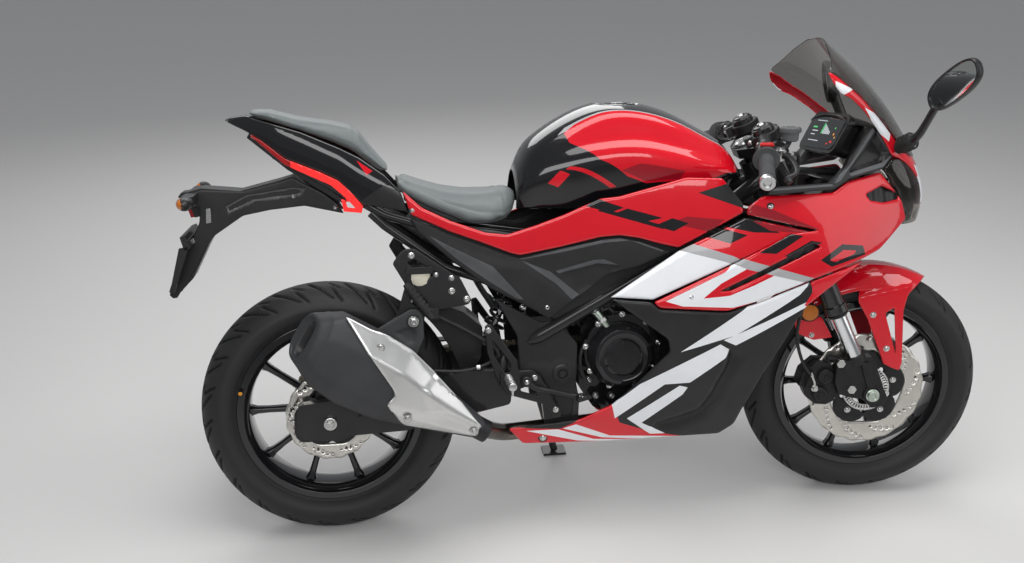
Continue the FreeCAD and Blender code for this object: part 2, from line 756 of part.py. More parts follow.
FAIRING_LEVELS = (925, 745, 590, 400, 190)
FAIRING_STATIONS = [
    # x, half width at each level, from the top down
    (380, 116, 150, 165, 162, 95),
    (700, 132, 172, 200, 182, 102),
    (950, 138, 205, 220, 195, 108),
    (1150, 120, 202, 205, 185, 112),
    (1300, 96, 170, 172, 158, 104),
    (1460, 46, 104, 100, 92, 76),
]
MID_LEVELS = (940, 840, 740, 640, 500)
MID_STATIONS = [
    (120, 96, 106, 112, 112, 108),
    (420, 130, 137, 140, 140, 136),
    (660, 150, 160, 164, 162, 154),
    (900, 168, 184, 188, 186, 176),
    (1010, 170, 188, 194, 192, 182),
]


def shell(name, stations, levels, thickness="panel_thickness"):
    outer = skin(name + "Outer", stations, levels, 0)
    longer = [(x + dx, *rest) for (x, *rest), dx in zip(stations, [-5] + [0] * (len(stations) - 2) + [5])]
    higher = (levels[0] + 5, *levels[1:4], levels[4] - 5)
    inner = skin(name + "Inner", longer, higher, amount(thickness))
    return cut(name, outer, inner)


def panel(label, master, outline, radius=6):
    """The right-hand piece of a master shell inside a side-view outline, and its mirror image."""
    window = plate(label + "Window", outline, 240, -140, radius)
    return node(label + "_right", common(label + "_right", master, window))


def bodywork():
    """Fairing panels cut from one master skin, side panels from another."""
    fairing = shell("FairingSkin", FAIRING_STATIONS, FAIRING_LEVELS)
    upper = [
        (992, 800), (1028, 822), (1208, 822), (1250, 845), (1352, 862), (1408, 790), (1420, 742),
        (1336, 680), (1290, 664), (1142, 622), (1012, 580), (939, 560), (777, 575), (760, 588),
        (662, 602), (826, 706), (984, 778),
    ]
    right = panel("side_fairing", fairing, upper)
    mirrored("side_fairing_left", right)
    lower = [
        (664, 597), (758, 584), (776, 570), (939, 555), (1010, 574), (1144, 616), (1284, 655),
        (1140, 558), (1114, 518), (1042, 386), (1004, 289), (992, 246), (956, 219), (660, 215),
        (462, 222), (424, 268), (600, 284), (678, 324), (806, 462), (798, 494),
    ]
    panel("lower_fairing", fairing, lower)
    left_lower = [
        (664, 597), (758, 584), (776, 570), (939, 555), (1010, 574), (1144, 616), (1284, 655),
        (1140, 558), (1114, 518), (1042, 386), (1004, 289), (992, 246), (956, 219), (700, 215),
        (676, 250), (700, 330), (806, 462), (798, 494),
    ]
    window = plate("LowerLeftWindow", left_lower, 240, 140, 6)
    node("lower_fairing_left", common("lower_fairing_left", fairing, window))

    mid = shell("MidSkin", MID_STATIONS, MID_LEVELS)
    seat_side = [
        (192, 858), (208, 803), (298, 760), (367, 734), (436, 706), (459, 700), (552, 717), (645, 738),
        (692, 741), (738, 733), (784, 719), (828, 708), (978, 786), (978, 806), (930, 868), (845, 872),
        (760, 850), (690, 832), (645, 828), (560, 792), (497, 770), (430, 750), (380, 756), (299, 786),
        (235, 818),
    ]
    right = panel("side_panel", mid, seat_side, 4)
    mirrored("side_panel_left", right)
    cover = [
        (206, 796), (298, 753), (436, 699), (459, 692), (645, 731), (692, 734), (738, 724), (810, 697),
        (738, 664), (669, 649), (590, 590), (526, 542), (483, 570), (388, 622), (300, 690), (222, 762),
    ]
    window = plate("SideCoverWindow", cover, 240, -140, 4)
    pair("side_covers", common("SideCoverRight", mid, window))


def tank():
    """Pressed steel tank: crowned top, full flanks and a narrow waist at the seat."""
    stations = [
        # x, crown height, shoulder half width and height, widest half width and height, base half width
        (470, 902, 52, 888, 78, 846, 72),
        (530, 984, 78, 950, 112, 880, 96),
        (640, 1036, 100, 1002, 138, 920, 120),
        (760, 1038, 108, 1012, 148, 925, 130),
        (880, 998, 106, 968, 148, 900, 132),
        (992, 908, 84, 884, 118, 862, 104),
    ]
    base = 800
    wires = []
    for x, crown, shoulder, shoulder_z, flank, flank_z, foot in stations:
        foot_z = base + max(0, x - 900) * 0.35
        right, left = Vector(x, -shoulder, shoulder_z), Vector(x, shoulder, shoulder_z)
        foot_right, foot_left = Vector(x, -foot, foot_z), Vector(x, foot, foot_z)
        wires.append(
            Part.Wire(
                [
                    Part.Arc(right, Vector(x, 0, crown), left).toShape(),
                    Part.Arc(left, Vector(x, flank, flank_z), foot_left).toShape(),
                    Part.LineSegment(foot_left, foot_right).toShape(),
                    Part.Arc(foot_right, Vector(x, -flank, flank_z), right).toShape(),
                ]
            )
        )
    body = loft("TankBody", wires)
    seat_for_cap = rod("CapSeat", 52, 40, Vector(720, 0, 1048), Z)
    node("fuel_tank", cut("fuel_tank", body, seat_for_cap))
    cap = turned("fuel_cap", stepped([(0, 0), (0, 49), (8, 49), (12, 44), (12, 0)], 2), Vector(720, 0, 1028.2), Z)
    node("fuel_cap", cap)


def seats():
    """Padded rider's seat and the thin raised passenger seat."""
    side = [
        (176, 890), (228, 867), (290, 848), (350, 840), (410, 840), (458, 848), (462, 806), (430, 776),
        (372, 782), (301, 806), (232, 836), (190, 866),
    ]
    plan = both_sides([(160, 86), (235, 104), (330, 118), (405, 112), (470, 70)])
    rider = common("rider_seat", plate("RiderSide", side, 300, 0, 10), deck("RiderPlan", plan, 740, 920, 20))
    node("rider_seat", rider)
    side = [
        (-160, 1044), (-127, 1047), (-36, 1025), (78, 1005), (96, 992), (124, 951), (173, 896), (156, 898),
        (100, 942), (56, 966), (-33, 1002), (-99, 1022), (-142, 1034),
    ]
    plan = both_sides([(-166, 40), (-120, 66), (0, 88), (90, 98), (180, 84)])
    pillion = common("pillion_seat", plate("PillionSide", side, 260, 0, 5), deck("PillionPlan", plan, 880, 1060, 14))
    node("pillion_seat", pillion)


def tail():
    """Pointed tail cowl, light strips along its lower edge, undertray and number-plate hanger."""
    side = [
        (-208, 1021), (-196, 1029), (-142, 1029), (-99, 1016), (-33, 996), (54, 958), (98, 935), (153, 894),
        (186, 854), (200, 806), (98, 826), (46, 885), (6, 905), (-71, 935), (-128, 981), (-165, 1003),
    ]
    plan = both_sides([(-210, 14), (-150, 50), (-40, 84), (60, 101), (202, 113)])
    inner_plan = both_sides([(-170, 22), (-150, 44), (-40, 79.5), (60, 96.5), (230, 109.5)])
    outer = common("TailOuter", plate("TailSide", side, 260, 0, 4), deck("TailPlan", plan, 780, 1060, 6))
    cavity = deck("TailCavity", inner_plan, 780, 1070, 6)
    node("tail_cowl", cut("tail_cowl", outer, cavity))
    strip = [
        (-126, 979), (-71, 933.5), (5, 903.5), (45, 883.5), (92, 824), (92, 814), (60, 838), (-17, 897),
        (-73, 921),
    ]
    lamp = common("LampOuter", plate("LampSide", strip, 260, 0), deck("LampPlan", plan, 780, 1060, 6))
    node("tail_light", cut("tail_light", lamp, cavity))
    tray = [
        (-150, 1000), (-60, 928), (60, 832), (62, 822), (-70, 908), (-160, 984),
    ]
    tray_plan = both_sides([(-168, 18), (-150, 24), (-96, 34), (20, 56), (64, 62)])
    node("undertray", common("undertray", plate("TraySide", tray, 260, 0), deck("TrayPlan", tray_plan, 780, 1060, 4)))
    hanger = [
        (56, 804), (-46, 824), (-180, 808), (-250, 762), (-304, 660), (-352, 612), (-362, 622), (-326, 706),
        (-301, 748), (-276, 800), (-272, 842), (-318, 860), (-270, 872), (-182, 862), (-89, 884), (-60, 892),
        (10, 838),
    ]
    arm = plate("HangerArm", hanger, 70, 0, 5)
    carrier_top, carrier_foot = Vector(-300, 0, 760), Vector(-346, 0, 640)
    down = (carrier_foot - carrier_top).normalize()
    square = Vector(down.z, 0, -down.x)
    ends = [carrier_top, carrier_foot, carrier_foot + square * 6, carrier_top + square * 6]
    carrier = plate("PlateCarrier", [(p.x, p.z) for p in ends], 190, 0)
    holes = [
        rod(f"PlateHole{s}", "plate_hole_radius", 30, carrier_top + down * 30 + Y * s * 70, square) for s in (-1, 1)
    ]
    bar = block("IndicatorBar", (26, 230, 20), Vector(-292, 0, 852))
    node("plate_hanger", cut("plate_hanger", fuse("HangerWhole", arm, carrier, bar), *holes))
    lamp = turned(
        "RearIndicatorRight",
        stepped([(0.2, 0), (0.2, 9), (12, 10), (20, 20), (62, 17), (74, 8), (74, 0)], 3),
        Vector(-292, -115, 852),
        -1 * Y,
    )
    pair("rear_indicators", lamp)


def nose():
    """Nose cowl, headlights and windscreen, all cut from one curved face."""
    def face(name, inset):
        rows = [
            # height, centre x, side x, side half width
            (1186, 1226, 1178, 62),
            (1105, 1306, 1180, 172),
            (1005, 1400, 1266, 160),
            (900, 1472, 1330, 127),
            (800, 1512, 1392, 112),
            (715, 1502, 1402, 92),
        ]
        wires = []
        for z, centre, side_x, half in rows:
            left, right = Vector(side_x - inset, half - inset, z), Vector(side_x - inset, inset - half, z)
            arc = Part.Arc(left, Vector(centre - inset, 0, z), right)
            back = [Vector(side_x - 60, half - inset, z), Vector(side_x - 60, inset - half, z)]
            edges = [arc, Part.LineSegment(right, back[1]), Part.LineSegment(back[1], back[0])]
            edges.append(Part.LineSegment(back[0], left))
            wires.append(Part.Wire([edge.toShape() for edge in edges]))
        return loft(name, wires)

    outer = face("NoseOuter", 0)
    wall = SIZE["panel_thickness"]
    cowl_shell = cut("NoseShell", outer, face("NoseInner", wall))
    cowl_outline = [
        (1180, 1105), (1209, 1091), (1268, 1049), (1333, 993), (1391, 936), (1444, 892), (1512, 905),
        (1530, 770), (1500, 722), (1416, 722), (1432, 756), (1418, 792), (1356, 868), (1374, 892), (1330, 960),
        (1281, 1009), (1240, 1040), (1209, 1053),
    ]
    lamp_outline = [(1398, 884), (1376, 866), (1432, 792), (1446, 756), (1436, 736), (1504, 736), (1520, 800), (1482, 884)]
    lamp_window = plate("LampWindow", lamp_outline, 400, 0)
    beak = block("Beak", (300, 44, 300), Vector(1450, 0, 820))
    opening = cut("LampOpening", lamp_window, beak)
    window = plate("NoseWindow", cowl_outline, 400, 0)
    cowl = cut("nose_cowl", common("NosePiece", cowl_shell, window), opening)
    node("nose_cowl", cowl)
    lamp_shell = cut("LampShell", face("LampFace", 1), face("LampBack", 22))
    inside = cut("LampInside", plate("LampWindowInner", lamp_outline, 400, 0), block("BeakGap", (300, 46, 300), Vector(1450, 0, 820)))
    right_half = block("RightHalf", (300, 200, 300), Vector(1450, -100, 820))
    pair("headlights", common("HeadlightRight", lamp_shell, inside, right_half))
    screen_shell = cut("ScreenShell", outer, face("ScreenInner", SIZE["screen_thickness"]))
    screen_outline = [
        (1160, 1200), (1300, 1200), (1480, 960), (1462, 899), (1446, 895), (1392, 937), (1334, 994), (1269, 1050),
        (1210, 1092), (1181, 1106), (1164, 1150),
    ]
    node("windscreen", common("windscreen", screen_shell, plate("ScreenWindow", screen_outline, 400, 0)))
    dash = block("DashBox", (58, 150, 88), Vector(1290, 0, 935), Rotation(Y, 28))
    stay = tube("DashStay", [(1118, 0, 852), (1200, 0, 858), (1300, 0, 850)], 9, 40)
    lamp_stay = [tube(f"LampStay{s}", [(1300, 0, 850), (1340, s * 40, 850), (1400, s * 60, 830)], 7, 20) for s in (-1, 1)]
    node("instrument_panel", dash)
    root = block("StayRoot", (36, 30, 40), Vector(1128, 0, 852))
    head_clear = rod("HeadClear", 30.2, 200, on_steering(838), STEER_AXIS)
    stay_whole = fuse("StayWhole", stay, *lamp_stay, root)
    node("fairing_stay", cut("fairing_stay", stay_whole, dash_clear(), head_clear))
    side = [
        (-165, 826), (10, 828), (54, 852), (150, 866), (172, 886), (140, 940), (100, 900), (4, 846), (-160, 836),
    ]
    inner = plate("CockpitPanelRight", side, 5, 0, 3)
    inner.Placement = Placement(Vector(1195, -150, 0), Rotation(Z, 6.2))
    pair("cockpit_panels", inner)
    return outer


def dash_clear():
    return block("DashClear", (64, 156, 94), Vector(1290, 0, 935), Rotation(Y, 28))


def mirrors(nose_face):
    """Rear-view mirrors on short stalks that seat on the nose."""
    stalk = tube("MirrorStalk", [(1392, -116, 925), (1408, -200, 965), (1390, -272, 1040)], 9, 30)
    head = Vector(1412, -325, 1066)
    half_length, half_height, depth = 84, 38, 26
    face = Rotation(Vector(-0.97, -0.25, 0), Vector(), Vector(0.25, -0.90, 0.42), "ZXY")
    ellipse = Part.Ellipse(Vector(), half_length, half_height)
    slab = Part.Face(Part.Wire(ellipse.toShape())).extrude(Z * depth)
    body = feature("MirrorHead", slab)
    body.Placement = Placement(head, face)
    pair("mirrors", cut("MirrorRight", fuse("MirrorWhole", stalk, body), nose_face))


# --------------------------------------------------------- brackets, controls
def rear_shock():
    """Coil-over between the swingarm's gusset and the frame."""
    foot, top = Vector(398, 0, 470), Vector(508, 0, 690)
    along = top - foot
    length = along.Length
    unit = along.normalize()
    body = rod("ShockBody", 14, length - 20, foot + unit * length / 2, unit)
    coil = [
        rod(f"Coil{i}", 27, 7, foot + unit * (40 + 17 * i), unit) for i in range(9)
    ]
    whole = fuse("ShockWhole", body, *coil)
    node("rear_shock", cut("rear_shock", whole, block("ShockClear", (44, 30, 48), Vector(512, 0, 540))))


def pegs():
    """Rider's rearset brackets, pegs and passenger peg hangers."""
    outline = [
        (372, 520), (392, 470), (396, 408), (484, 352), (548, 322), (556, 348), (486, 412), (468, 440),
        (452, 476), (420, 520),
    ]
    bracket = plate("RearsetPlate", outline, "plate_thickness", -140, 8)
    spacers = [
        rod("RearsetSpacerLow", 9, 17.8, Vector(534, -127.1, 336)),
        rod("RearsetSpacerHigh", 9, 17.8, Vector(480, -127.1, 412)),
    ]
    peg = rod("RiderPeg", 11, 90, Vector(424, -186, 408))
    right = node("rearset_right", fuse("rearset_right", bracket, peg, *spacers))
    mirrored("rearset_left", right)
    outline = [
        (178, 712), (212, 724), (318, 646), (342, 596), (252, 574), (214, 466), (188, 470), (160, 520),
        (186, 640),
    ]
    hanger = plate("HangerPlate", outline, 7, -122, 8)
    lug = rod("HangerLug", 9, 18, Vector(300, -109.5, 652))
    pair("pillion_peg_hangers", fuse("PillionHanger", hanger, lug))
    pedal = tube("BrakePedalArm", [(470, -154, 392), (520, -156, 372), (600, -156, 352)], 6, 20)
    pad = rod("BrakePedalPad", 8, 36, Vector(600, -170, 352))
    brake = fuse("BrakePedal", pedal, pad)
    lever = tube("GearLeverArm", [(470, 154, 392), (520, 156, 372), (600, 156, 352)], 6, 20)
    pad = rod("GearLeverPad", 8, 36, Vector(600, 170, 352))
    node("foot_levers", group("foot_levers", brake, fuse("GearLever", lever, pad)))


def rear_caliper():
    y = -SIZE["rear_disc_plane"]
    outline = [(60, 398), (76, 440), (128, 430), (136, 384), (104, 366)]
    body = plate("RearCaliperBody", outline, 38, y - 0.5, 8)
    slot = plate("RearCaliperSlot", [(20, 330), (20, 424), (124, 424), (124, 330)], 9, y)
    node("rear_caliper", cut("rear_caliper", body, slot))


# ------------------------------------------------------------ steered pieces
def leg_point(height, side):
    """A point on a fork leg's centre line at a height above the floor."""
    return FRONT_AXLE + Y * side + STEER_AXIS * ((height - FRONT_AXLE.z) / STEER_AXIS.z)


def steering():
    """Fork, yokes and handlebars: everything that turns with the front wheel."""
    spacing = SIZE["fork_spacing"]
    axle_z = FRONT_AXLE.z
    leg_foot = leg_point(axle_z, -spacing)

    def along(height):
        return (height - axle_z) / STEER_AXIS.z

    tube_r, slider_r = SIZE["fork_tube_radius"], SIZE["fork_slider_radius"]
    profile = stepped(
        [
            (-26, 0), (-26, 18), (-14, 25), (40, 25), (58, slider_r + 1), (60, slider_r),
            (along(520), slider_r), (along(520), tube_r), (along(978), tube_r), (along(978) + 6, 18),
            (along(978) + 6, 0),
        ]
    )
    leg = turned("ForkLeg", profile, leg_foot, STEER_AXIS)
    axle_hole = rod("ForkAxleHole", 9.1, 80, leg_foot)
    lug = plate("CaliperLug", [(1352, 352), (1352, 402), (1300, 392), (1284, 360), (1296, 336)], 12, -spacing + 2, 4)
    right = cut("ForkRight", fuse("ForkWithLug", leg, lug), axle_hole)
    left_leg = turned("ForkLegLeft", profile, leg_point(axle_z, spacing), STEER_AXIS)
    left_hole = rod("ForkAxleHoleLeft", 9.1, 80, leg_point(axle_z, spacing))
    node("fork_legs", group("fork_legs", right, cut("ForkLeft", left_leg, left_hole)), steered=True)

    def yoke(name, height, thickness):
        half = thickness / 2
        centre = on_steering(height)
        outline = [
            (-30, -34), (-30, 34), (0, 92), (8, 136), (62, 136), (66, 92), (42, 40), (42, -40), (66, -92),
            (62, -136), (8, -136), (0, -92),
        ]
        slab = deck(name + "Slab", outline, -half, half, 12)
        frame = Rotation(Y, -SIZE["rake"])
        slab.Placement = Placement(centre, frame) * Placement(Vector(0, 0, -half), Rotation())
        bores = [
            rod(f"{name}Bore{s}", tube_r + 0.1, 90, on_steering(height, SIZE["fork_offset"], s * spacing), STEER_AXIS)
            for s in (-1, 1)
        ]
        return cut(name, slab, *bores)

    stem = rod("SteeringStem", "stem_radius", 196, on_steering(838), STEER_AXIS)
    node("lower_yoke", fuse("lower_yoke", yoke("LowerYokePlate", 757, 30), stem), steered=True)
    upper = cut("UpperYokeBored", yoke("UpperYokePlate", 920, 24), rod("StemBore", 15.1, 100, on_steering(920), STEER_AXIS))
    node("upper_yoke", upper, steered=True)

    root = leg_point(963, -spacing)
    tip = Vector(1016, -352, 896)
    clamp = rod("BarClamp", tube_r + 9, 24, root - STEER_AXIS * 2, STEER_AXIS)
    bar_along = tip - root
    length = bar_along.Length
    unit = bar_along.normalize()
    bar = rod("Bar", "bar_radius", length - 30, root + unit * (length + 30) / 2, unit)
    clip_hole = rod("ClampBore", tube_r + 0.1, 60, root, STEER_AXIS)
    grip = rod("Grip", "grip_radius", 122, tip - unit * 66, unit)
    weight = rod("BarEnd", 15, 18, tip + unit * 4, unit)
    switch = block("Switchgear", (44, 40, 46), root + unit * 108)
    whole = fuse("HandlebarWhole", clamp, bar, grip, weight, switch)
    pair("handlebars", cut("HandlebarRight", whole, clip_hole), steered=True)

    lever_root = root + unit * 92 + Vector(26, 0, -6)
    lever = tube(
        "LeverBlade",
        [tuple(lever_root), tuple(lever_root + unit * 60 + Vector(34, 0, 0)), tuple(tip + Vector(52, 18, -4))],
        5,
        40,
    )
    perch = block("LeverPerch", (26, 34, 26), lever_root + Vector(8, 0, 0))
    reservoir = rod("Reservoir", 21, 40, lever_root + Vector(36, 26, 42), Z)
    neck = rod("ReservoirNeck", 7, 44, lever_root + Vector(22, 14, 14), Vector(0.5, 0.4, 0.77))
    lever_right = cut("lever_right", fuse("LeverWhole", lever, perch, reservoir, neck), switch_clear(root, unit))
    node("brake_lever", lever_right, steered=True)
    clutch = reflected("ClutchSide", fuse("ClutchWhole", lever, perch))
    node("clutch_lever", cut("clutch_lever", clutch, reflected("SwitchClearLeft", switch_clear(root, unit, "Left"))), steered=True)

    centre = FRONT_AXLE
    inner = SIZE["front_tyre_radius"] + 13
    fender_profile = fender_section(inner, inner + 4)
    fender = turned("FenderArch", fender_profile, centre, Y, 98)
    fender.Placement = Placement(centre, Rotation(Y, -50))
    legs = []
    for s in (-1, 1):
        outline = [(1330, 545), (1352, 590), (1420, 600), (1466, 560), (1470, 420), (1448, 344), (1424, 346), (1396, 430)]
        legs.append(plate(f"FenderLeg{s}", outline, 4, s * 76, 8))
    recesses = [rod(f"ForkRecess{s}", tube_r + 0.4, 700, leg_point(600, s * spacing), STEER_AXIS) for s in (-1, 1)]
    node("front_fender", cut("front_fender", fuse("FenderWhole", fender, *legs), *recesses), steered=True)

    y = -SIZE["front_disc_plane"]
    outline = [(1180, 340), (1206, 388), (1262, 392), (1292, 362), (1300, 316), (1276, 286), (1232, 282), (1196, 304)]
    body = plate("FrontCaliperBody", outline, 44, y - 3, 8)
    slot = plate("FrontCaliperSlot", [(1222, 270), (1222, 410), (1340, 410), (1340, 270)], 10, y)
    hose = tube(
        "FrontBrakeHose",
        [
            (1101.4, -186, 931), (1132, -184, 925), (1146, -134, 880), (1146, -129, 838), (1171, -149, 756),
            (1216, -146, 650),
            (1270, -143, 520), (1264, -136, 430), (1242, -84, 378),
        ],
        "hose_radius",
        26,
    )
    node("front_caliper", fuse("front_caliper", cut("FrontCaliperCut", body, slot), hose), steered=True)


def switch_clear(root, unit, tag=""):
    return block("SwitchClear" + tag, (45, 41, 47), root + unit * 108)


def fender_section(inner, outer):
    """Half-round cross-section of the fender, as (across, radius) edges."""
    half, drop = 72, 50
    a, b, c = Vector(-half, inner - drop, 0), Vector(0, inner, 0), Vector(half, inner - drop, 0)
    d, e, f = Vector(half + 4, inner - drop, 0), Vector(0, outer, 0), Vector(-half - 4, inner - drop, 0)
    return [Part.Arc(a, b, c), Part.LineSegment(c, d), Part.Arc(d, e, f), Part.LineSegment(f, a)]


# ---------------------------------------------------------------- side stand
def foot_point():
    """Where the stand's foot meets the floor, on the upright machine."""
    x, y = STAND_FOOT_XY
    place = LEAN.inverse()
    x, y = x - SIZE["middle_x"], y - SIZE["middle_y"]
    return place.multVec(Vector(x, y, 0)), place.multVec(Vector(x, y, 12))


def stand_axis():
    """The hinge's direction: square to the leg both deployed and folded."""
    down = foot_point()[1] - STAND_PIVOT
    back = Vector(-1, 0.10, -0.06)
    return down.cross(back).normalize() * (1 if down.cross(back).y > 0 else -1)


def side_stand():
    low, high = foot_point()
    leg = tube("StandLeg", [tuple(STAND_PIVOT), tuple(high)], 10, 0)
    boss = rod("StandPivotBoss", 16, 22, STAND_PIVOT, stand_axis())
    pad = block("StandFoot", (64, 44, 7), Vector(), Rotation())
    flat = LEAN.inverse().Rotation
    pad.Placement = Placement(low, flat) * Placement(Vector(-32, -16, 0), Rotation())
    node("side_stand", fuse("side_stand", leg, boss, pad))


def build():
    wheels()
    final_drive()
    frame()
    subframe()
    swingarm()
    engine()
    exhaust()
    bodywork()
    tank()
    seats()
    tail()
    mirrors(nose())
    rear_shock()
    pegs()
    rear_caliper()
    steering()
    side_stand()


def check_and_write():
    """Stop on any failed feature, then write one file for each piece."""
    doc.recompute()
    failed = [o.Label for o in doc.Objects if {"Invalid", "Error"} & set(o.State)]
    for piece in NODES:
        if piece.Shape.isNull() or not piece.Shape.isValid() or piece.Shape.Volume <= 0:
            failed.append(piece.Label)
    if failed:
        raise RuntimeError("failed: " + ", ".join(failed))
    os.makedirs("parts", exist_ok=True)
    for piece in NODES:
        piece.Shape.exportStep(f"parts/{piece.Label}.step")
    print(len(NODES), "pieces written")


build()
check_and_write()
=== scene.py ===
"""Sport motorcycle with a full fairing, parked on its side stand: its finishes and detailed parts."""

import json
import math

import bmesh
import bpy
import numpy as np
from mathutils import Matrix, Vector
from mathutils.geometry import delaunay_2d_cdt


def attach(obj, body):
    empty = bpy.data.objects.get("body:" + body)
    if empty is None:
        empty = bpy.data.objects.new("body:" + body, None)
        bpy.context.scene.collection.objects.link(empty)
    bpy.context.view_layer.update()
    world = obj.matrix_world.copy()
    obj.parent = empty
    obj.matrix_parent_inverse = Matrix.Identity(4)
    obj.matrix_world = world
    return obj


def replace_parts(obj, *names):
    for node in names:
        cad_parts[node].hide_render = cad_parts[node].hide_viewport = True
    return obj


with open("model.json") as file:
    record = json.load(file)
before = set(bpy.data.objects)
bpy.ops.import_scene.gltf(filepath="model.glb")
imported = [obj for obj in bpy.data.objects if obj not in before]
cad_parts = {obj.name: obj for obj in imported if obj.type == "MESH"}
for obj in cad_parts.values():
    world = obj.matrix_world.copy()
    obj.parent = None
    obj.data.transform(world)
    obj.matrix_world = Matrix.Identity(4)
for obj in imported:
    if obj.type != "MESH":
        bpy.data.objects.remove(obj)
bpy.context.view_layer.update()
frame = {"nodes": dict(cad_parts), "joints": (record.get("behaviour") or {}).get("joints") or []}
nodes = frame["nodes"]

# ---------------------------------------------------------------- how the machine stands
# Each part is drawn on the upright machine, in millimetres: X forward, Y left, Z up from the
# ground under the rear axle.  `parked` leans it onto its side stand, and `steered` also turns
# the fork to its stop.
spin = {joint["name"]: joint for joint in frame["joints"]}
RAKE = math.radians(24.5)
REAR_AXLE, FRONT_AXLE = Vector((0, 0, 315)), Vector((1375, 0, 302))
HEAD_LINE = Vector((-math.sin(RAKE), 0, math.cos(RAKE)))
AHEAD_OF_HEAD = Vector((math.cos(RAKE), 0, math.sin(RAKE)))
HEAD_FOOT = FRONT_AXLE - AHEAD_OF_HEAD * 35
left = Vector(spin["rear_wheel_spin"]["axis"]).normalized()
left *= math.copysign(1, left.y)
head = Vector(spin["steering_head"]["axis"]).normalized()
head *= math.copysign(1, head.z)
across_head = left.cross(head).normalized()
forward = math.cos(RAKE) * across_head - math.sin(RAKE) * head
upward = math.sin(RAKE) * across_head + math.cos(RAKE) * head
axle_centre = Vector(spin["rear_wheel_spin"]["pos_m"])
ground_point = axle_centre - upward * 0.315
parked = Matrix.Translation(ground_point) @ Matrix((forward, left,
                                                    upward)).transposed().to_4x4() @ Matrix.Scale(0.001, 4)
bars_turned = Matrix.Rotation(math.radians(-8), 4, HEAD_LINE)
steered = parked @ Matrix.Translation(HEAD_FOOT) @ bars_turned @ Matrix.Translation(-HEAD_FOOT)

# ---------------------------------------------------------------- floor, light and camera
# A plain pale floor under a soft grey-white room: one wide lamp overhead, a long one on the
# camera's side, one ahead on the right and a weaker one behind.
floor_mesh = bpy.data.meshes.new("floor")
floor_mesh.from_pydata([(-14, -14, 0), (14, -14, 0), (14, 14, 0), (-14, 14, 0)], [], [(0, 1, 2, 3)])
floor = bpy.data.objects.new("floor", floor_mesh)
bpy.context.scene.collection.objects.link(floor)
floor_finish = bpy.data.materials.new("pale_floor")
floor_finish.use_nodes = True
floor_tree = floor_finish.node_tree
floor_shader = floor_tree.nodes["Principled BSDF"]
floor_shader.inputs["Roughness"].default_value = 0.6
floor_grain = floor_tree.nodes.new("ShaderNodeTexNoise")
floor_grain.inputs["Scale"].default_value = 2.0
floor_tone = floor_tree.nodes.new("ShaderNodeValToRGB")
floor_tone.color_ramp.elements[0].color = (0.66, 0.65, 0.64, 1)
floor_tone.color_ramp.elements[1].color = (0.72, 0.71, 0.70, 1)
floor_tree.links.new(floor_grain.outputs["Fac"], floor_tone.inputs["Fac"])
floor_tree.links.new(floor_tone.outputs["Color"], floor_shader.inputs["Base Color"])
floor_mesh.materials.append(floor_finish)

room = bpy.data.worlds.new("room")
bpy.context.scene.world = room
room.use_nodes = True
room_light = room.node_tree.nodes["Background"]
room_light.inputs["Color"].default_value = (0.80, 0.82, 0.85, 1)
room_light.inputs["Strength"].default_value = 0.36


def softbox(name, place, aim, width, height, power):
    """A rectangular studio lamp, unseen by the camera."""
    lamp = bpy.data.lights.new(name, "AREA")
    lamp.shape, lamp.size, lamp.size_y, lamp.energy = "RECTANGLE", width, height, power
    held = bpy.data.objects.new(name, lamp)
    held.location = place
    held.rotation_euler = (Vector(aim) - Vector(place)).to_track_quat("-Z", "Y").to_euler()
    held.visible_camera = False
    bpy.context.scene.collection.objects.link(held)


softbox("overhead", (0.2, -0.3, 3.0), (0.1, 0, 0.5), 3.2, 1.4, 62)
softbox("camera_side", (-0.6, -3.2, 2.3), (0.1, 0, 0.5), 3.4, 0.9, 46)
softbox("front_right", (3.0, -1.6, 1.7), (0.3, 0, 0.6), 1.9, 2.4, 18)
softbox("far_side", (-0.4, 3.0, 2.4), (0, 0, 0.5), 3.0, 1.2, 30)

bpy.context.scene.view_settings.view_transform = "Standard"

# The camera's place is given on the upright machine too, and leans with it.
look = (
    Matrix.Rotation(math.radians(-6.715), 4, "Z")
    @ Matrix.Rotation(math.radians(-11.997), 4, "X")
    @ Matrix.Rotation(math.radians(1.352), 4, "Y")
    @ Matrix.Rotation(math.radians(90), 4, "X")
)
seat_of_camera = parked @ Vector((85.6, -2473.4, 1144.8))
turn_of_camera = Matrix((forward, left, upward)).transposed().to_4x4() @ look
lens = bpy.data.cameras.new("view")
lens.sensor_width, lens.lens = 36, 36.15
lens.shift_x, lens.shift_y = 0.0327, -0.0014
camera = bpy.data.objects.new("view", lens)
camera.matrix_world = Matrix.Translation(seat_of_camera) @ turn_of_camera
bpy.context.scene.collection.objects.link(camera)
bpy.context.scene.camera = camera

# ---------------------------------------------------------------- tyres
# Road tyres of black rubber on 17 inch rims, 140 wide behind and 110 in front, cured in a mould
# that leaves the curved tread grooves, the rings of the sidewall and fine circular lines.


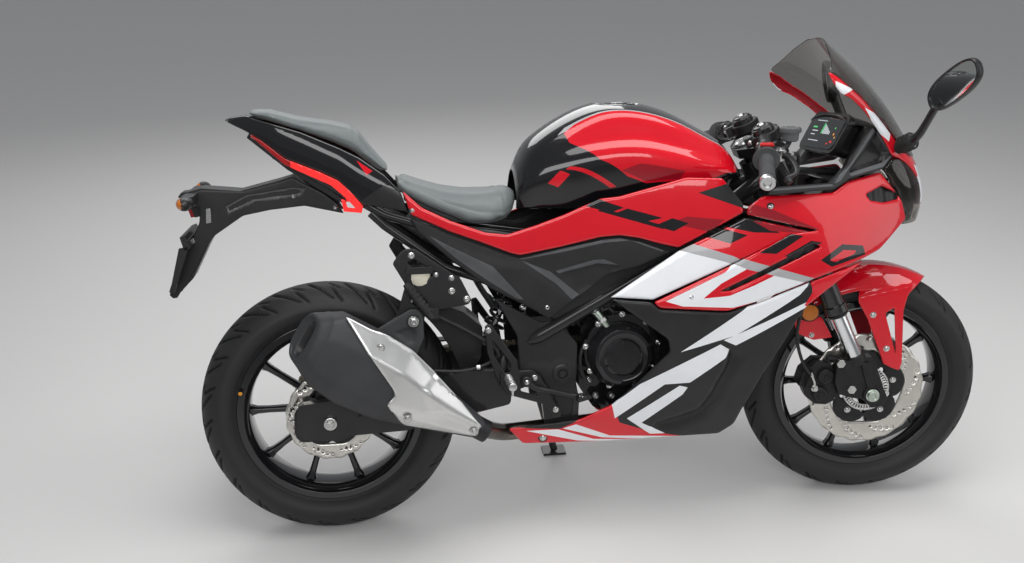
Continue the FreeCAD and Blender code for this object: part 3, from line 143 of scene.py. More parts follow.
class Finish:
    """A procedural material in the making: nodes go by short names, and their sockets are set or linked."""

    def __init__(self, name):
        self.material = bpy.data.materials.new(name)
        self.material.use_nodes = True
        self.tree = self.material.node_tree
        self.shader = self.tree.nodes["Principled BSDF"]

    def feed(self, node, **inputs):
        """Set or link a node's sockets; n0, n1 and n2 stand for the sockets' numbers."""
        for name, value in inputs.items():
            socket = node.inputs[int(name[1]) if name in ("n0", "n1", "n2") else name.replace("_", " ")]
            if isinstance(value, bpy.types.NodeSocket):
                self.tree.links.new(value, socket)
            else:
                socket.default_value = value

    def shade(self, **inputs):
        """Set or link the shader's sockets."""
        self.feed(self.shader, **inputs)

    def add(self, kind, *chosen, **inputs):
        """A new shader node with its settings and its sockets."""
        node = self.tree.nodes.new("ShaderNode" + kind)
        for setting, value in chosen:
            setattr(node, setting, value)
        self.feed(node, **inputs)
        return node

    def spots(self):
        """Each place's own coordinates."""
        return self.add("TexCoord").outputs["Object"]

    def tones(self, factor, first, second, start=0.0, stop=1.0):
        """A blend between two colours."""
        ramp = self.add("ValToRGB", Fac=factor)
        for mark, place, colour in zip(ramp.color_ramp.elements, (start, stop), (first, second)):
            mark.position, mark.color = place, (*colour, 1)
        return ramp.outputs["Color"]

    def span(self, factor, low, high, start=0.0, stop=1.0):
        """A factor mapped to a range."""
        return self.add("MapRange", Value=factor, From_Min=start, From_Max=stop, To_Min=low,
                        To_Max=high).outputs["Result"]

    def relief(self, height, distance, strength=1.0):
        """Raise the surface by a height in metres."""
        self.shade(Normal=self.add("Bump", Height=height, Distance=distance,
                                   Strength=strength).outputs["Normal"])


def surface(name, colour, second, rough=(0.3, 0.4), metal=0.0, mottle=14, grain=900, height=0.0, coat=0.0,
            streak=(1, 1, 1)):
    """A moulded, cast or painted finish: two tones, worn patches of roughness and a fine raised grain."""
    look = Finish(name)
    place = look.add("Mapping", Vector=look.spots(), Scale=streak).outputs[0]
    patches = look.add("TexNoise", Vector=place, Scale=mottle, Detail=5.0, Roughness=0.6)
    fine = look.add("TexNoise", Vector=place, Scale=grain, Detail=3.0, Roughness=0.6)
    wear = look.add("TexNoise", Vector=place, Scale=mottle * 3.1, Detail=4.0, Roughness=0.7)
    both = look.add("Math", ("operation", "MULTIPLY_ADD"), n0=fine.outputs["Fac"], n1=0.25,
                    n2=wear.outputs["Fac"])
    look.shade(Base_Color=look.tones(patches.outputs["Fac"], colour, second, 0.3, 0.7),
               Roughness=look.span(both.outputs[0], *rough, 0.35, 0.9), Metallic=metal, Coat_Weight=coat,
               Coat_Roughness=0.03, Specular_IOR_Level=0.12 if coat > 0.4 else 0.32)
    if height:
        look.relief(fine.outputs["Fac"], height)
    return look.material


def squared(angle, power):
    """A place on a rounded square, from -1 to 1 each way; a higher power makes it squarer."""
    c, s = math.cos(angle), math.sin(angle)
    size = (abs(c) ** power + abs(s) ** power) ** (-1 / power)
    return c * size, s * size


class Piece:
    """One part in the making: faces are added in millimetres, then it is stood up and hung on a body."""

    def __init__(self, name, body, *finishes, place=None):
        self.name, self.body, self.finishes = name, body, finishes
        self.place = place if place is not None else parked
        self.mesh = bmesh.new()

    def add(self, points, faces, finish=0):
        """Add faces over a list of points, leaving out those that have shrunk to a line."""
        made = [self.mesh.verts.new(point) for point in points]
        for face in faces:
            if len(set(face)) > 2:
                self.mesh.faces.new([made[i] for i in face]).material_index = finish
        return self

    def loft(self, rings, finish=0, closed=True, capped=False):
        """Skin a run of rings; `closed` joins each ring's ends, and `capped` fills the first and last."""
        count = len(rings[0])
        faces = []
        for row in range(0, count * (len(rings) - 1), count):
            for i in range(count if closed else count - 1):
                after = (i + 1) % count
                faces.append((row + i, row + after, row + count + after, row + count + i))
        if capped:
            last = count * (len(rings) - 1)
            faces += [tuple(reversed(range(count))), tuple(range(last, last + count))]
        return self.add([point for ring in rings for point in ring], faces, finish)

    def turned(self, profile, centre, axis=(0, 1, 0), steps=48, finish=0, closed=True):
        """Revolve (along the axis, distance from it) corners; a corner on the axis makes a single point."""
        turn = Vector((0, 1, 0)).rotation_difference(Vector(axis)).to_matrix()
        points, rings = [], []
        for along, reach in profile:
            ring = []
            for step in range(steps if reach > 1e-6 else 1):
                angle = math.tau * step / steps
                ring.append(len(points))
                points.append(Vector(centre) + turn @ Vector((reach * math.sin(angle), along,
                                                              reach * math.cos(angle))))
            rings.append(ring)
        pairs = list(zip(rings, rings[1:])) + ([(rings[-1], rings[0])] if closed else [])
        faces = []
        for one, two in pairs:
            for step in range(steps):
                a, b = one[step % len(one)], one[(step + 1) % len(one)]
                c, d = two[(step + 1) % len(two)], two[step % len(two)]
                face = list(dict.fromkeys((a, b, c, d)))
                if len(face) > 2:
                    faces.append(face)
        return self.add(points, faces, finish)

    def rod(self, radius, start, stop, *settings, **more):
        """A plain round bar between two distances along its axis."""
        return self.turned([(start, 0), (start, radius), (stop, radius), (stop, 0)], *settings, **more)

    def collar(self, bore, radius, start, stop, *settings, **more):
        """A plain ring between two distances along its axis."""
        return self.turned([(start, bore), (start, radius), (stop, radius), (stop, bore)], *settings,
                           **more)

    def pipe(self, path, radius, steps=14, finish=0, smooth=0, squash=1.0):
        """A round bar or hose along a path; `smooth` rounds the path, and radius may change along it."""
        line = [Vector(point) for point in path]
        sizes = list(radius) if isinstance(radius, (list, tuple)) else [radius] * len(line)
        if smooth:
            ends = [line[0]] + line + [line[-1]]
            fine, fine_sizes = [], []
            for i in range(len(line) - 1):
                p0, p1, p2, p3 = ends[i : i + 4]
                for step in range(smooth):
                    t = step / smooth
                    fine.append(0.5 * (2 * p1 + (p2 - p0) * t + (2 * p0 - 5 * p1 + 4 * p2 - p3) * t**2
                                       + (3 * p1 - p0 - 3 * p2 + p3) * t**3))
                    fine_sizes.append(sizes[i] * (1 - t) + sizes[i + 1] * t)
            line, sizes = fine + [line[-1]], fine_sizes + [sizes[-1]]
        rings, side = [], None
        for i, centre in enumerate(line):
            along = (line[min(i + 1, len(line) - 1)] - line[max(i - 1, 0)]).normalized()
            if side is None:
                side = along.orthogonal().normalized()
            side = (side - along * side.dot(along)).normalized()
            other = along.cross(side)
            rings.append([centre + sizes[i] * (side * math.cos(angle) + other * squash * math.sin(angle))
                          for angle in [math.tau * step / steps for step in range(steps)]])
        return self.loft(rings, finish, capped=True)

    def slab(self, outline, near, far, finish=0, place=None):
        """A side-view outline (x, z) given thickness from one y to another."""
        place = place or Matrix()
        rings = [[place @ Vector((x, y, z)) for x, z in outline] for y in (near, far)]
        return self.loft(rings, finish, capped=True)

    def bar(self, size, centre, turn=None, finish=0, taper=1.0):
        """A box-shaped lump, narrower at its top if tapered."""
        turn = (turn or Matrix()).to_3x3()
        rings = [[Vector(centre) + turn @ Vector((x * size[0] * part, y * size[1] * part, z * size[2]))
                  for x, y in ((-0.5, -0.5), (0.5, -0.5), (0.5, 0.5), (-0.5, 0.5))]
                 for z, part in ((-0.5, 1.0), (0.5, taper))]
        return self.loft(rings, finish, capped=True)

    def done(self, *replaced, bevel=0.0, segments=2, angle=32, wall=0.0):
        """Close the part up, stand it where it is when parked and hang it on its body."""
        bmesh.ops.remove_doubles(self.mesh, verts=self.mesh.verts, dist=1e-3)
        bmesh.ops.recalc_face_normals(self.mesh, faces=self.mesh.faces)
        data = bpy.data.meshes.new(self.name)
        self.mesh.to_mesh(data)
        self.mesh.free()
        data.transform(self.place)
        for finish in self.finishes:
            data.materials.append(finish)
        data.shade_smooth()
        data.set_sharp_from_angle(angle=math.radians(angle))
        part = bpy.data.objects.new(self.name, data)
        bpy.context.scene.collection.objects.link(part)
        if wall:
            thick = part.modifiers.new("wall", "SOLIDIFY")
            thick.thickness, thick.offset = wall / 1000, -1
        if bevel:
            edge = part.modifiers.new("edge", "BEVEL")
            edge.width, edge.segments = bevel / 1000, segments
            edge.limit_method, edge.angle_limit = "ANGLE", math.radians(40)
        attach(part, self.body)
        if replaced:
            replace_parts(part, *replaced)
        return part


def rubber(name):
    """Tread rubber: dusty black, with the mould's fine circular lines drawn along the UV map's rows."""
    look = Finish(name)
    place = look.spots()
    rows = look.add("SeparateXYZ", Vector=look.add("UVMap").outputs[0])
    count = look.add("Math", ("operation", "MULTIPLY"), n0=rows.outputs[1], n1=900.0)
    lines = look.add("Math", ("operation", "SINE"), n0=count.outputs[0])
    dust = look.add("TexNoise", Vector=place, Scale=9.0, Detail=6.0, Roughness=0.65).outputs["Fac"]
    pores = look.add("TexNoise", Vector=place, Scale=700.0, Detail=2.0)
    look.shade(Base_Color=look.tones(dust, (0.008, 0.008, 0.009), (0.019, 0.019, 0.019)),
               Roughness=look.span(dust, 0.46, 0.66), Specular_IOR_Level=0.4)
    height = look.add("Math", ("operation", "MULTIPLY_ADD"), n0=lines.outputs[0], n1=0.12,
                      n2=pores.outputs["Fac"])
    look.relief(height.outputs[0], 0.0002)
    return look.material


tread_rubber = rubber("tread_rubber")
# The groove floors take a darker copy of the tread rubber: painted shade in the grooves.
groove_painted_shade = surface("groove_floor_painted_shade", (0.0025, 0.0025, 0.0025), (0.005, 0.005, 0.005), (0.7, 0.8),
                       grain=700, height=0.0001)
valve_dot = surface("balance_mark_paint", (0.75, 0.33, 0.02), (0.6, 0.24, 0.02), (0.5, 0.6), grain=500,
                    height=0.0001)


def tyre(name, body, place, centre, radius, width, crown, bead, repeats):
    """Sweep the tyre's half-round section about its axle, press the tread grooves into it and darken their
    floors as painted shade.
    """
    seat, lip, shoulder = 219, 8, math.radians(58)
    side_y, side_r = crown * math.sin(shoulder), radius - crown * (1 - math.cos(shoulder))
    tread_rows, side_rows, around = 44, 9, 640
    section = []
    for row in range(tread_rows + 1):
        angle = shoulder * (2 * row / tread_rows - 1)
        section.append((crown * math.sin(angle), radius - crown * (1 - math.cos(angle)),
                        2 * row / tread_rows - 1))
    bulge = (side_r + seat + lip) / 2
    for side in (1, -1):
        start, middle, end = Vector((side_y, side_r)), Vector((width / 2,
                                                               bulge)), Vector((bead, seat + lip))
        wall = []
        for row in range(1, side_rows + 1):
            t = row / side_rows
            point = start * (1 - t) ** 2 + (2 * middle - (start + end) / 2) * 2 * t * (1 - t) + end * t**2
            ring = 0.7 * math.exp(-(((t - 0.2) / 0.05) ** 2)) + 0.6 * math.exp(-(((t - 0.84) / 0.06) ** 2))
            wall.append((side * (point.x + ring), point.y, side * (1 + 0.35 * t)))
        wall.append((side * bead, seat, side * 1.38))
        section = section + wall if side > 0 else list(reversed(wall)) + section
    points, faces, sunk = [], [], []
    steps = np.arange(around)
    for y, reach, across in section:
        depth = np.zeros(around)
        if abs(across) < 1.0:
            turn = steps / around * repeats + (0.5 if across < 0 else 0.0)
            a = abs(across)
            for slope, low, high, start, half in ((0.95, 0.10, 0.90, 0.0, 0.062),
                                                  (0.55, 0.42, 0.98, 0.52, 0.052),
                                                  (1.3, 0.16, 0.5, 0.5, 0.042)):
                gap = np.abs((turn - start - slope * a**1.4 + 0.5) % 1.0 - 0.5)
                edge = np.clip((half - gap) / (half * 0.45), 0, 1)
                ends = min(1.0, max(0.0, (a - low) / 0.05)) * min(1.0, max(0.0, (high - a) / 0.05))
                depth = np.maximum(depth, edge * ends)
            depth = depth * 4.4
        sunk.append(depth)
        reach_here = reach - depth * math.cos(min(abs(across), 1.0) * shoulder)
        inward = depth * math.sin(min(abs(across), 1.0) * shoulder) * (-1 if across > 0 else 1)
        angle = steps / around * math.tau
        for x, yy, z in zip(reach_here * np.sin(angle), y + inward, reach_here * np.cos(angle)):
            points.append((centre.x + x, centre.y + yy, centre.z + z))
    for row in range(0, around * (len(section) - 1), around):
        for step in range(around):
            after = (step + 1) % around
            faces.append((row + step, row + after, row + after + around, row + step + around))
    data = bpy.data.meshes.new(name)
    data.from_pydata(points, [], faces)
    wrap = data.uv_layers.new(name="wrap")
    rows = [(s[2] + 1.4) / 2.8 for s in section]
    uv = np.zeros((len(data.loops), 2), np.float32)
    index = np.zeros(len(data.loops), np.int32)
    data.loops.foreach_get("vertex_index", index)
    uv[:, 0] = (index % around) / around
    uv[:, 1] = np.array(rows, np.float32)[index // around]
    wrap.data.foreach_set("uv", uv.ravel())
    data.materials.append(tread_rubber)
    data.materials.append(groove_painted_shade)
    sunk = np.array(sunk)
    # Faces sunk deeper than 2.4 mm take the darker groove rubber, painted shade in the grooves.
    deep = (sunk[:-1] + sunk[1:] + np.roll(sunk[:-1], -1, axis=1) + np.roll(sunk[1:], -1, axis=1)) / 4 > 2.4
    data.polygons.foreach_set("material_index", deep.ravel().astype(np.int32))
    data.transform(place)
    data.shade_smooth()
    made = bpy.data.objects.new(name, data)
    bpy.context.scene.collection.objects.link(made)
    edit = bmesh.new()
    edit.from_mesh(data)
    bmesh.ops.recalc_face_normals(edit, faces=edit.faces)
    edit.to_mesh(data)
    edit.free()
    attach(made, body)
    return made


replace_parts(tyre("tyre_rear", "rear_wheel", parked, REAR_AXLE, 315, 142, 76, 50, 22), "rear_tyre")
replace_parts(tyre("tyre_front", "front_wheel", steered, FRONT_AXLE, 301.9, 110, 58, 38, 20), "front_tyre")
dot = Piece("tyre_balance_mark", "rear_wheel", valve_dot)
dot.turned([(0, 0), (0, 5), (0.5, 4.4), (0.5, 0)], Vector((-212, -68.6, 380)), (0.0, -1, -0.2), steps=16)
dot.done()

# ---------------------------------------------------------------- cast wheels
# One-piece cast aluminium wheels, ten slim spokes each, machined at the rim and lacquered gloss
# black; a short rubber valve stands in each rim.
wheel_black = surface("wheel_lacquer", (0.005, 0.005, 0.006), (0.010, 0.010, 0.011), (0.12, 0.2), mottle=20,
                      grain=420, height=0.00004, coat=1.0)
valve_rubber = surface("valve_rubber", (0.02, 0.02, 0.02), (0.03, 0.03, 0.03), (0.5, 0.6), grain=800,
                       height=0.0001)


def wheel(name, node, body, place, centre, bead, hub_half, hub_radius):
    """Drop-centre rim, barrel hub and straight spokes with ridged faces, fused into one casting."""
    made = Piece(name, body, wheel_black, valve_rubber, place=place)
    seat, lip = 219, 8
    outside = [(bead + 4, seat - 9), (bead + 4, seat + lip - 1.5), (bead + 2.5, seat + lip),
               (bead + 0.4, seat + lip - 0.6), (bead, seat), (bead - 10, seat - 1), (bead - 15, seat - 5),
               (bead - 21, seat - 14), (bead - 26, seat - 16)]
    inside = [(bead - 22, seat - 24.5), (bead - 12, seat - 22), (bead - 5, seat - 14),
              (bead + 1, seat - 10)]
    made.turned([(-a, r) for a, r in outside] + list(reversed(outside))
                + [(a, r) for a, r in reversed(inside)] + [(-a, r) for a, r in inside], centre, steps=120)
    waist = hub_half - 16
    made.turned([(-hub_half, 10), (-hub_half, hub_radius - 9), (-hub_half + 2, hub_radius - 8),
                 (-waist, hub_radius), (-waist + 8, hub_radius - 3), (waist - 8, hub_radius - 3),
                 (waist, hub_radius), (hub_half - 2, hub_radius - 8), (hub_half, hub_radius - 9),
                 (hub_half, 10)], centre, steps=64)
    rows = [(hub_radius - 7, 17, 15), (hub_radius + 6, 12, 14.5), (95, 8.2, 12.5), (150, 7.4, 11.5),
            (180, 8.6, 12), (192, 12, 14), (197.5, 17, 16)]
    for spoke in range(10):
        turn = Matrix.Rotation(math.tau * spoke / 10 + math.pi / 10, 3, "Y")
        made.loft([[Vector(centre) + turn @ Vector((half * x, deep * y, reach)) for x, y in
                    ((-1, -0.55), (-0.55, -1), (0.55, -1), (1, -0.55), (1, 0.55), (0.55, 1), (-0.55, 1),
                     (-1, 0.55))]
                   for reach, half, deep in rows], capped=True)
    lean = Vector((0.31, 0.0, 0.95))
    made.turned([(0, 0), (0, 4.5), (8, 4), (14, 3.2), (20, 3.6), (26, 3.4), (26, 0)],
                Vector(centre) + lean * 192 + Vector((0, 14, 0)), (-lean.x, -0.2, -lean.z), steps=16,
                finish=1)
    return made.done(node, angle=28, bevel=0.9)


wheel("wheel_rear", "rear_rim", "rear_wheel", parked, REAR_AXLE, 50, 78, 38)
wheel("wheel_front", "front_rim", "front_wheel", steered, FRONT_AXLE, 38, 60, 34)

# ---------------------------------------------------------------- side fairings
# Injection-moulded ABS panels, 3 mm thick with rolled-in edges, sprayed solid red over primer and
# laid with white, grey and black film stripes under one clear coat; screwed to the frame's stays.


def spline_weights(knots, x):
    """How much each knot counts at the places x, on the natural cubic spline through the knots."""
    knots = np.array(knots, float)
    steps, count = np.diff(knots), len(knots)
    bend, right = np.eye(count), np.zeros((count, count))
    for i in range(1, count - 1):
        bend[i, i - 1 : i + 2] = steps[i - 1], 2 * (steps[i - 1] + steps[i]), steps[i]
        right[i, i - 1 : i + 2] = 6 / steps[i - 1], -6 / steps[i - 1] - 6 / steps[i], 6 / steps[i]
    curving, here = np.linalg.solve(bend, right), np.eye(count)
    cell = np.clip(np.searchsorted(knots, x) - 1, 0, count - 2)
    wide = (knots[cell + 1] - knots[cell])[:, None]
    b = (x - knots[cell])[:, None] / wide
    a = 1 - b
    bent = (a**3 - a) * curving[cell] + (b**3 - b) * curving[cell + 1]
    return a * here[cell] + b * here[cell + 1] + bent * wide**2 / 6


class Skin:
    """The smooth side of the bodywork: five half widths to a cross-section, splined along the machine."""

    def __init__(self, levels, *sections):
        self.levels = levels
        self.x = [section[0] for section in sections]
        self.widths = [section[1:] for section in sections]

    def section(self, widths, z):
        """Half width of one cross-section at the heights z: two arcs that meet at the middle level."""
        made = np.zeros_like(z)
        for first in (0, 2):
            (w1, z1), (w2, z2), (w3, z3) = [(widths[first + i], self.levels[first + i]) for i in range(3)]
            part = z >= z3 if first == 0 else z < z1
            turn = 2 * (w1 * (z2 - z3) + w2 * (z3 - z1) + w3 * (z1 - z2))
            if abs(turn) < 1:
                made[part] = np.interp(z[part], (z3, z1), (w3, w1))
                continue
            q1, q2, q3 = w1 * w1 + z1 * z1, w2 * w2 + z2 * z2, w3 * w3 + z3 * z3
            cw = (q1 * (z2 - z3) + q2 * (z3 - z1) + q3 * (z1 - z2)) / turn
            cz = (q1 * (w3 - w2) + q2 * (w1 - w3) + q3 * (w2 - w1)) / turn
            size = math.hypot(w1 - cw, z1 - cz)
            reach = np.sqrt(np.maximum(size * size - (z[part] - cz) ** 2, 0))
            made[part] = cw + (reach if w2 > cw else -reach)
        return made

    def __call__(self, x, z):
        """Half width at each place (x, z) of the side view."""
        widths = np.array([self.section(row, z) for row in self.widths]).T
        return (spline_weights(self.x, x) * widths).sum(axis=1)


fairing_skin = Skin(
    (925, 745, 590, 400, 190),
    (380, 116, 150, 165, 162, 95), (700, 132, 172, 200, 182, 102), (950, 138, 205, 220, 195, 108),
    (1150, 120, 202, 205, 185, 112), (1300, 96, 170, 172, 158, 104), (1460, 46, 104, 100, 92, 76),
)


def softened(outline, radius, step):
    """An outline's corners rounded and its runs divided."""
    points = [Vector(point) for point in outline]
    line = []
    for i, corner in enumerate(points):
        before, after = points[i - 1] - corner, points[(i + 1) % len(points)] - corner
        trim = min(radius, 0.42 * before.length, 0.42 * after.length)
        if trim < 0.8 or math.pi - before.angle(after) < 0.12:
            line.append(corner)
            continue
        start, stop = corner + before.normalized() * trim, corner + after.normalized() * trim
        line += [start * (1 - t) ** 2 + corner * 2 * t * (1 - t) + stop * t**2
                 for t in (0, 0.25, 0.5, 0.75, 1)]
    made = []
    for one, two in zip(line, line[1:] + line[:1]):
        parts = max(1, round((two - one).length / step))
        made += [one.lerp(two, i / parts) for i in range(parts)]
    return np.array([tuple(point) for point in made])


def inside(points, outline):
    """Which points lie within a closed outline."""
    one, two = outline, np.roll(outline, -1, axis=0)
    x, z = points[:, :1], points[:, 1:]
    crosses = (one[:, 1] > z) != (two[:, 1] > z)
    run = np.where(two[:, 1] == one[:, 1], 1e-9, two[:, 1] - one[:, 1])
    return (crosses & (x < (two[:, 0] - one[:, 0]) * (z - one[:, 1]) / run + one[:, 0])).sum(
        axis=1) % 2 == 1


def gap_to(points, outline):
    """Distance from each point to a closed outline."""
    one, two = outline, np.roll(outline, -1, axis=0)
    run = two - one
    long = np.maximum((run**2).sum(axis=1), 1e-9)
    best = np.full(len(points), 1e9)
    for start in range(0, len(points), 2000):
        part = points[start : start + 2000, None, :]
        t = np.clip(((part - one) * run).sum(axis=2) / long, 0, 1)
        best[start : start + 2000] = np.sqrt(((part - one - t[:, :, None] * run) ** 2).sum(axis=2)).min(
            axis=1)
    return best


def pressed(outline, height, slope):
    """A field pressed out of a panel, or into it where the height is negative, with a sloping edge."""
    outline = np.array(outline, float)

    def relief(x, z):
        """How far the panel is pressed out at each place."""
        spot = np.stack((x, z), axis=1)
        return height * np.clip(gap_to(spot, outline) / slope, 0, 1) * inside(spot, outline)

    return relief


def beside(width, centre=(0, 0, 0)):
    """A flat surface at one half width, over the side view or round a centre."""
    return lambda spot: np.stack((centre[0] + spot[:, 0], 0 * spot[:, 0] + width, centre[2] + spot[:, 1]),
                                 axis=1)


def flank(skin):
    """A skin's left side as a surface over its side view."""
    return lambda spot: np.stack((spot[:, 0], skin(spot[:, 0], spot[:, 1]), spot[:, 1]), axis=1)


def panel(name, body, shape, outline, finishes, painted=(), holes=(), sides=(-1, 1), proud=0.0, fold=7.0,
          corner=8.0, step=11.0, wall=3.0, place=None, relief=None, fold_depth=0.85, facing=(0, 1, 0),
          replaced=(), flat=False):
    """A moulded panel on a surface, cut to an outline, its edges rolled in; its back has the last finish."""
    edge = np.array(outline, float) if flat else softened(outline, corner, step * 0.7)
    cuts = [softened(hole, 5, 6) for hole in holes]
    films = [(finish, softened(film, 1.5, step)) for finish, film in painted]
    low, high = edge.min(axis=0), edge.max(axis=0)
    loops = [edge] + cuts
    grid = np.array([(u + (row % 2) * step / 2, v)
                     for row, v in enumerate(np.arange(low[1], high[1], step * 0.86))
                     for u in np.arange(low[0], high[0], step)])
    rings = []
    for loop in loops:
        run = np.roll(loop, -1, axis=0) - np.roll(loop, 1, axis=0)
        square = np.stack((-run[:, 1], run[:, 0]), axis=1) / np.maximum(np.linalg.norm(run, axis=1), 1e-6)[
            :, None]
        for part in (0.12, 0.35, 0.7, 1.1) if fold else ():
            for way in (-1, 1):
                ring = loop + square * way * fold * part
                rings.append(ring[np.abs(gap_to(ring, loop) - fold * part) < fold * 0.06])

    def within(points):
        """Which points lie on the panel, outside its holes."""
        keep = inside(points, edge)
        for loop in cuts:
            keep &= ~inside(points, loop)
        return keep

    grid = grid[within(grid)]
    away = np.min([gap_to(grid, loop) for loop in loops], axis=0)
    grid = grid[away > fold * 1.1 + step * 0.35]
    points, runs = [], []
    for loop in loops + [film for _, film in films]:
        start = len(points)
        points += [Vector(point) for point in loop]
        runs += [(start + i, start + (i + 1) % len(loop)) for i in range(len(loop))]
    if rings:
        rings = np.concatenate(rings)
        points += [Vector(point) for point in rings[within(rings)]]
    points += [Vector(point) for point in grid]
    spots, _, faces, *_ = delaunay_2d_cdt(points, runs, [], 0, 0.05)
    spots = np.array([tuple(point) for point in spots])
    faces = np.array([face for face in faces if len(face) == 3])
    middle = spots[faces].mean(axis=1)
    keep = within(middle)
    faces, middle = faces[keep], middle[keep]
    paint = np.zeros(len(faces), int)
    for finish, film in films:
        paint[inside(middle, film)] = finish
    used = np.unique(faces)
    order = np.full(len(spots), -1)
    order[used] = np.arange(len(used))
    spots, faces = spots[used], order[faces]
    small = np.array(((0.5, 0), (0, 0.5)))
    over, up = [shape(spots + d) - shape(spots - d) for d in small]
    square = np.cross(over, up)
    square /= np.maximum(np.linalg.norm(square, axis=1), 1e-9)[:, None]
    if (square @ np.array(facing)).mean() < 0:
        square, faces = -square, faces[:, ::-1]
    lift = np.full(len(spots), float(proud))
    if fold:
        away = np.min([gap_to(spots, loop) for loop in loops], axis=0)
        rolled = 1 - np.clip(away / fold, 0, 1)
        lift -= fold * fold_depth * (1 - np.sqrt(np.maximum(1 - rolled**2, 0)))
    if relief is not None:
        lift += relief(spots[:, 0], spots[:, 1])
    solid = shape(spots) + square * lift[:, None]
    made = []
    for side in sides:
        title = name + ("", "_left", "_right")[side]
        data = bpy.data.meshes.new(title)
        data.from_pydata(solid * (1, side or 1, 1), [], faces if side >= 0 else faces[:, ::-1])
        data.polygons.foreach_set("material_index", paint.astype(np.int32))
        data.transform(place or parked)
        for finish in finishes:
            data.materials.append(finish)
        data.shade_smooth()
        part = bpy.data.objects.new(title, data)
        bpy.context.scene.collection.objects.link(part)
        if wall:
            thick = part.modifiers.new("wall", "SOLIDIFY")
            thick.thickness, thick.offset = wall / 1000, -1
            thick.material_offset = len(finishes)
        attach(part, body)
        for node in replaced:
            if node + "_right" in nodes:
                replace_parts(part, node + ("_right" if side < 0 else "_left"))
            elif side == sides[0]:
                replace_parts(part, node)
        made.append(part)
    return made


red_enamel = surface("red_enamel", (0.58, 0.003, 0.012), (0.64, 0.005, 0.016), (0.16, 0.24), mottle=6,
                     grain=1400, height=0.00001, coat=1.0)
# A darker copy of the red enamel, laid in patches where the panels and the tank sit under an overhang:
# painted shade.
red_painted_shade = surface("red_enamel_painted_shade", (0.26, 0.004, 0.012), (0.31, 0.006, 0.015), (0.18, 0.26), mottle=6,
                   grain=1400, height=0.00001, coat=1.0)
gloss_black = surface("gloss_black_enamel", (0.004, 0.004, 0.005), (0.007, 0.007, 0.008), (0.12, 0.2),
                      mottle=8, grain=1400, height=0.00001, coat=1.0)
white_film = surface("white_film", (0.74, 0.76, 0.79), (0.80, 0.81, 0.83), (0.2, 0.3), mottle=10,
                     grain=1500, height=0.00001, coat=1.0)
grey_film = surface("grey_film", (0.34, 0.34, 0.35), (0.41, 0.41, 0.42), (0.3, 0.4), mottle=12, grain=1500,
                    height=0.00002, coat=0.6)
satin_black = surface("satin_black_plastic", (0.009, 0.009, 0.010), (0.015, 0.015, 0.016), (0.36, 0.5),
                      mottle=16, grain=1700, height=0.00005, coat=0.15)
FILMS = (red_enamel, red_painted_shade, gloss_black, white_film, grey_film, satin_black)

panel(
    "fairing_upper", "chassis", flank(fairing_skin),
    [(992, 802), (1028, 824), (1208, 824), (1250, 846), (1352, 862), (1412, 790), (1424, 744), (1338, 678),
     (1290, 662), (1142, 619), (1010, 577), (939, 558), (777, 571), (762, 586), (930, 661), (1090, 735),
     (1161, 739), (984, 784)],
    FILMS,
    painted=[
        (3, [(790, 588), (930, 652), (948, 672), (985, 656), (1134, 615), (1120, 609), (1005, 578),
             (950, 567), (830, 575)]),
        (0, [(878, 592), (940, 596), (1000, 618), (1160, 687), (1160, 730), (1100, 715), (1000, 668),
             (920, 626)]),
        (4, [(953, 688), (1090, 645), (1152, 625), (1134, 615), (985, 656), (949, 672)]),
        (2, [(1165, 668), (1222, 702), (1282, 694), (1290, 672), (1196, 650)]),
        (0, [(1190, 666), (1226, 688), (1262, 684), (1258, 676), (1204, 661)]),
        (2, [(1010, 694), (1090, 735), (1120, 728), (1052, 690)]),
        (2, [(1072, 684), (1140, 716), (1168, 710), (1108, 674)]),
        # Darker red in this corner, where the panel tucks under the tank's front, is painted shade.
        (1, [(1165, 739), (1050, 790), (1000, 806), (984, 786)]),
    ],
    holes=[
        [(919, 607), (945, 608), (1166, 700), (1146, 708)],
        [(1300, 812), (1352, 829), (1404, 806), (1400, 794), (1352, 790), (1312, 798)],
    ],
    replaced=("side_fairing",),
)
panel(
    "fairing_middle", "chassis", flank(fairing_skin),
    [(663, 600), (824, 704), (984, 777), (1157, 735), (1092, 731), (762, 592)],
    FILMS,
    painted=[
        (3, [(655, 596), (824, 712), (921, 680), (977, 664), (990, 655), (900, 620), (760, 586)]),
        (4, [(824, 706), (921, 679), (968, 664), (975, 676), (952, 688), (848, 723), (836, 716)]),
        (2, [(868, 742), (905, 760), (985, 736), (944, 718)]),
        (2, [(935, 757), (984, 777), (1020, 766), (1064, 738), (1000, 742)]),
        # Darker red under the upper panel's edge is painted shade.
        (1, [(1000, 768), (1157, 736), (1090, 738), (1040, 744)]),
    ],
    proud=-4.5, corner=5,
)


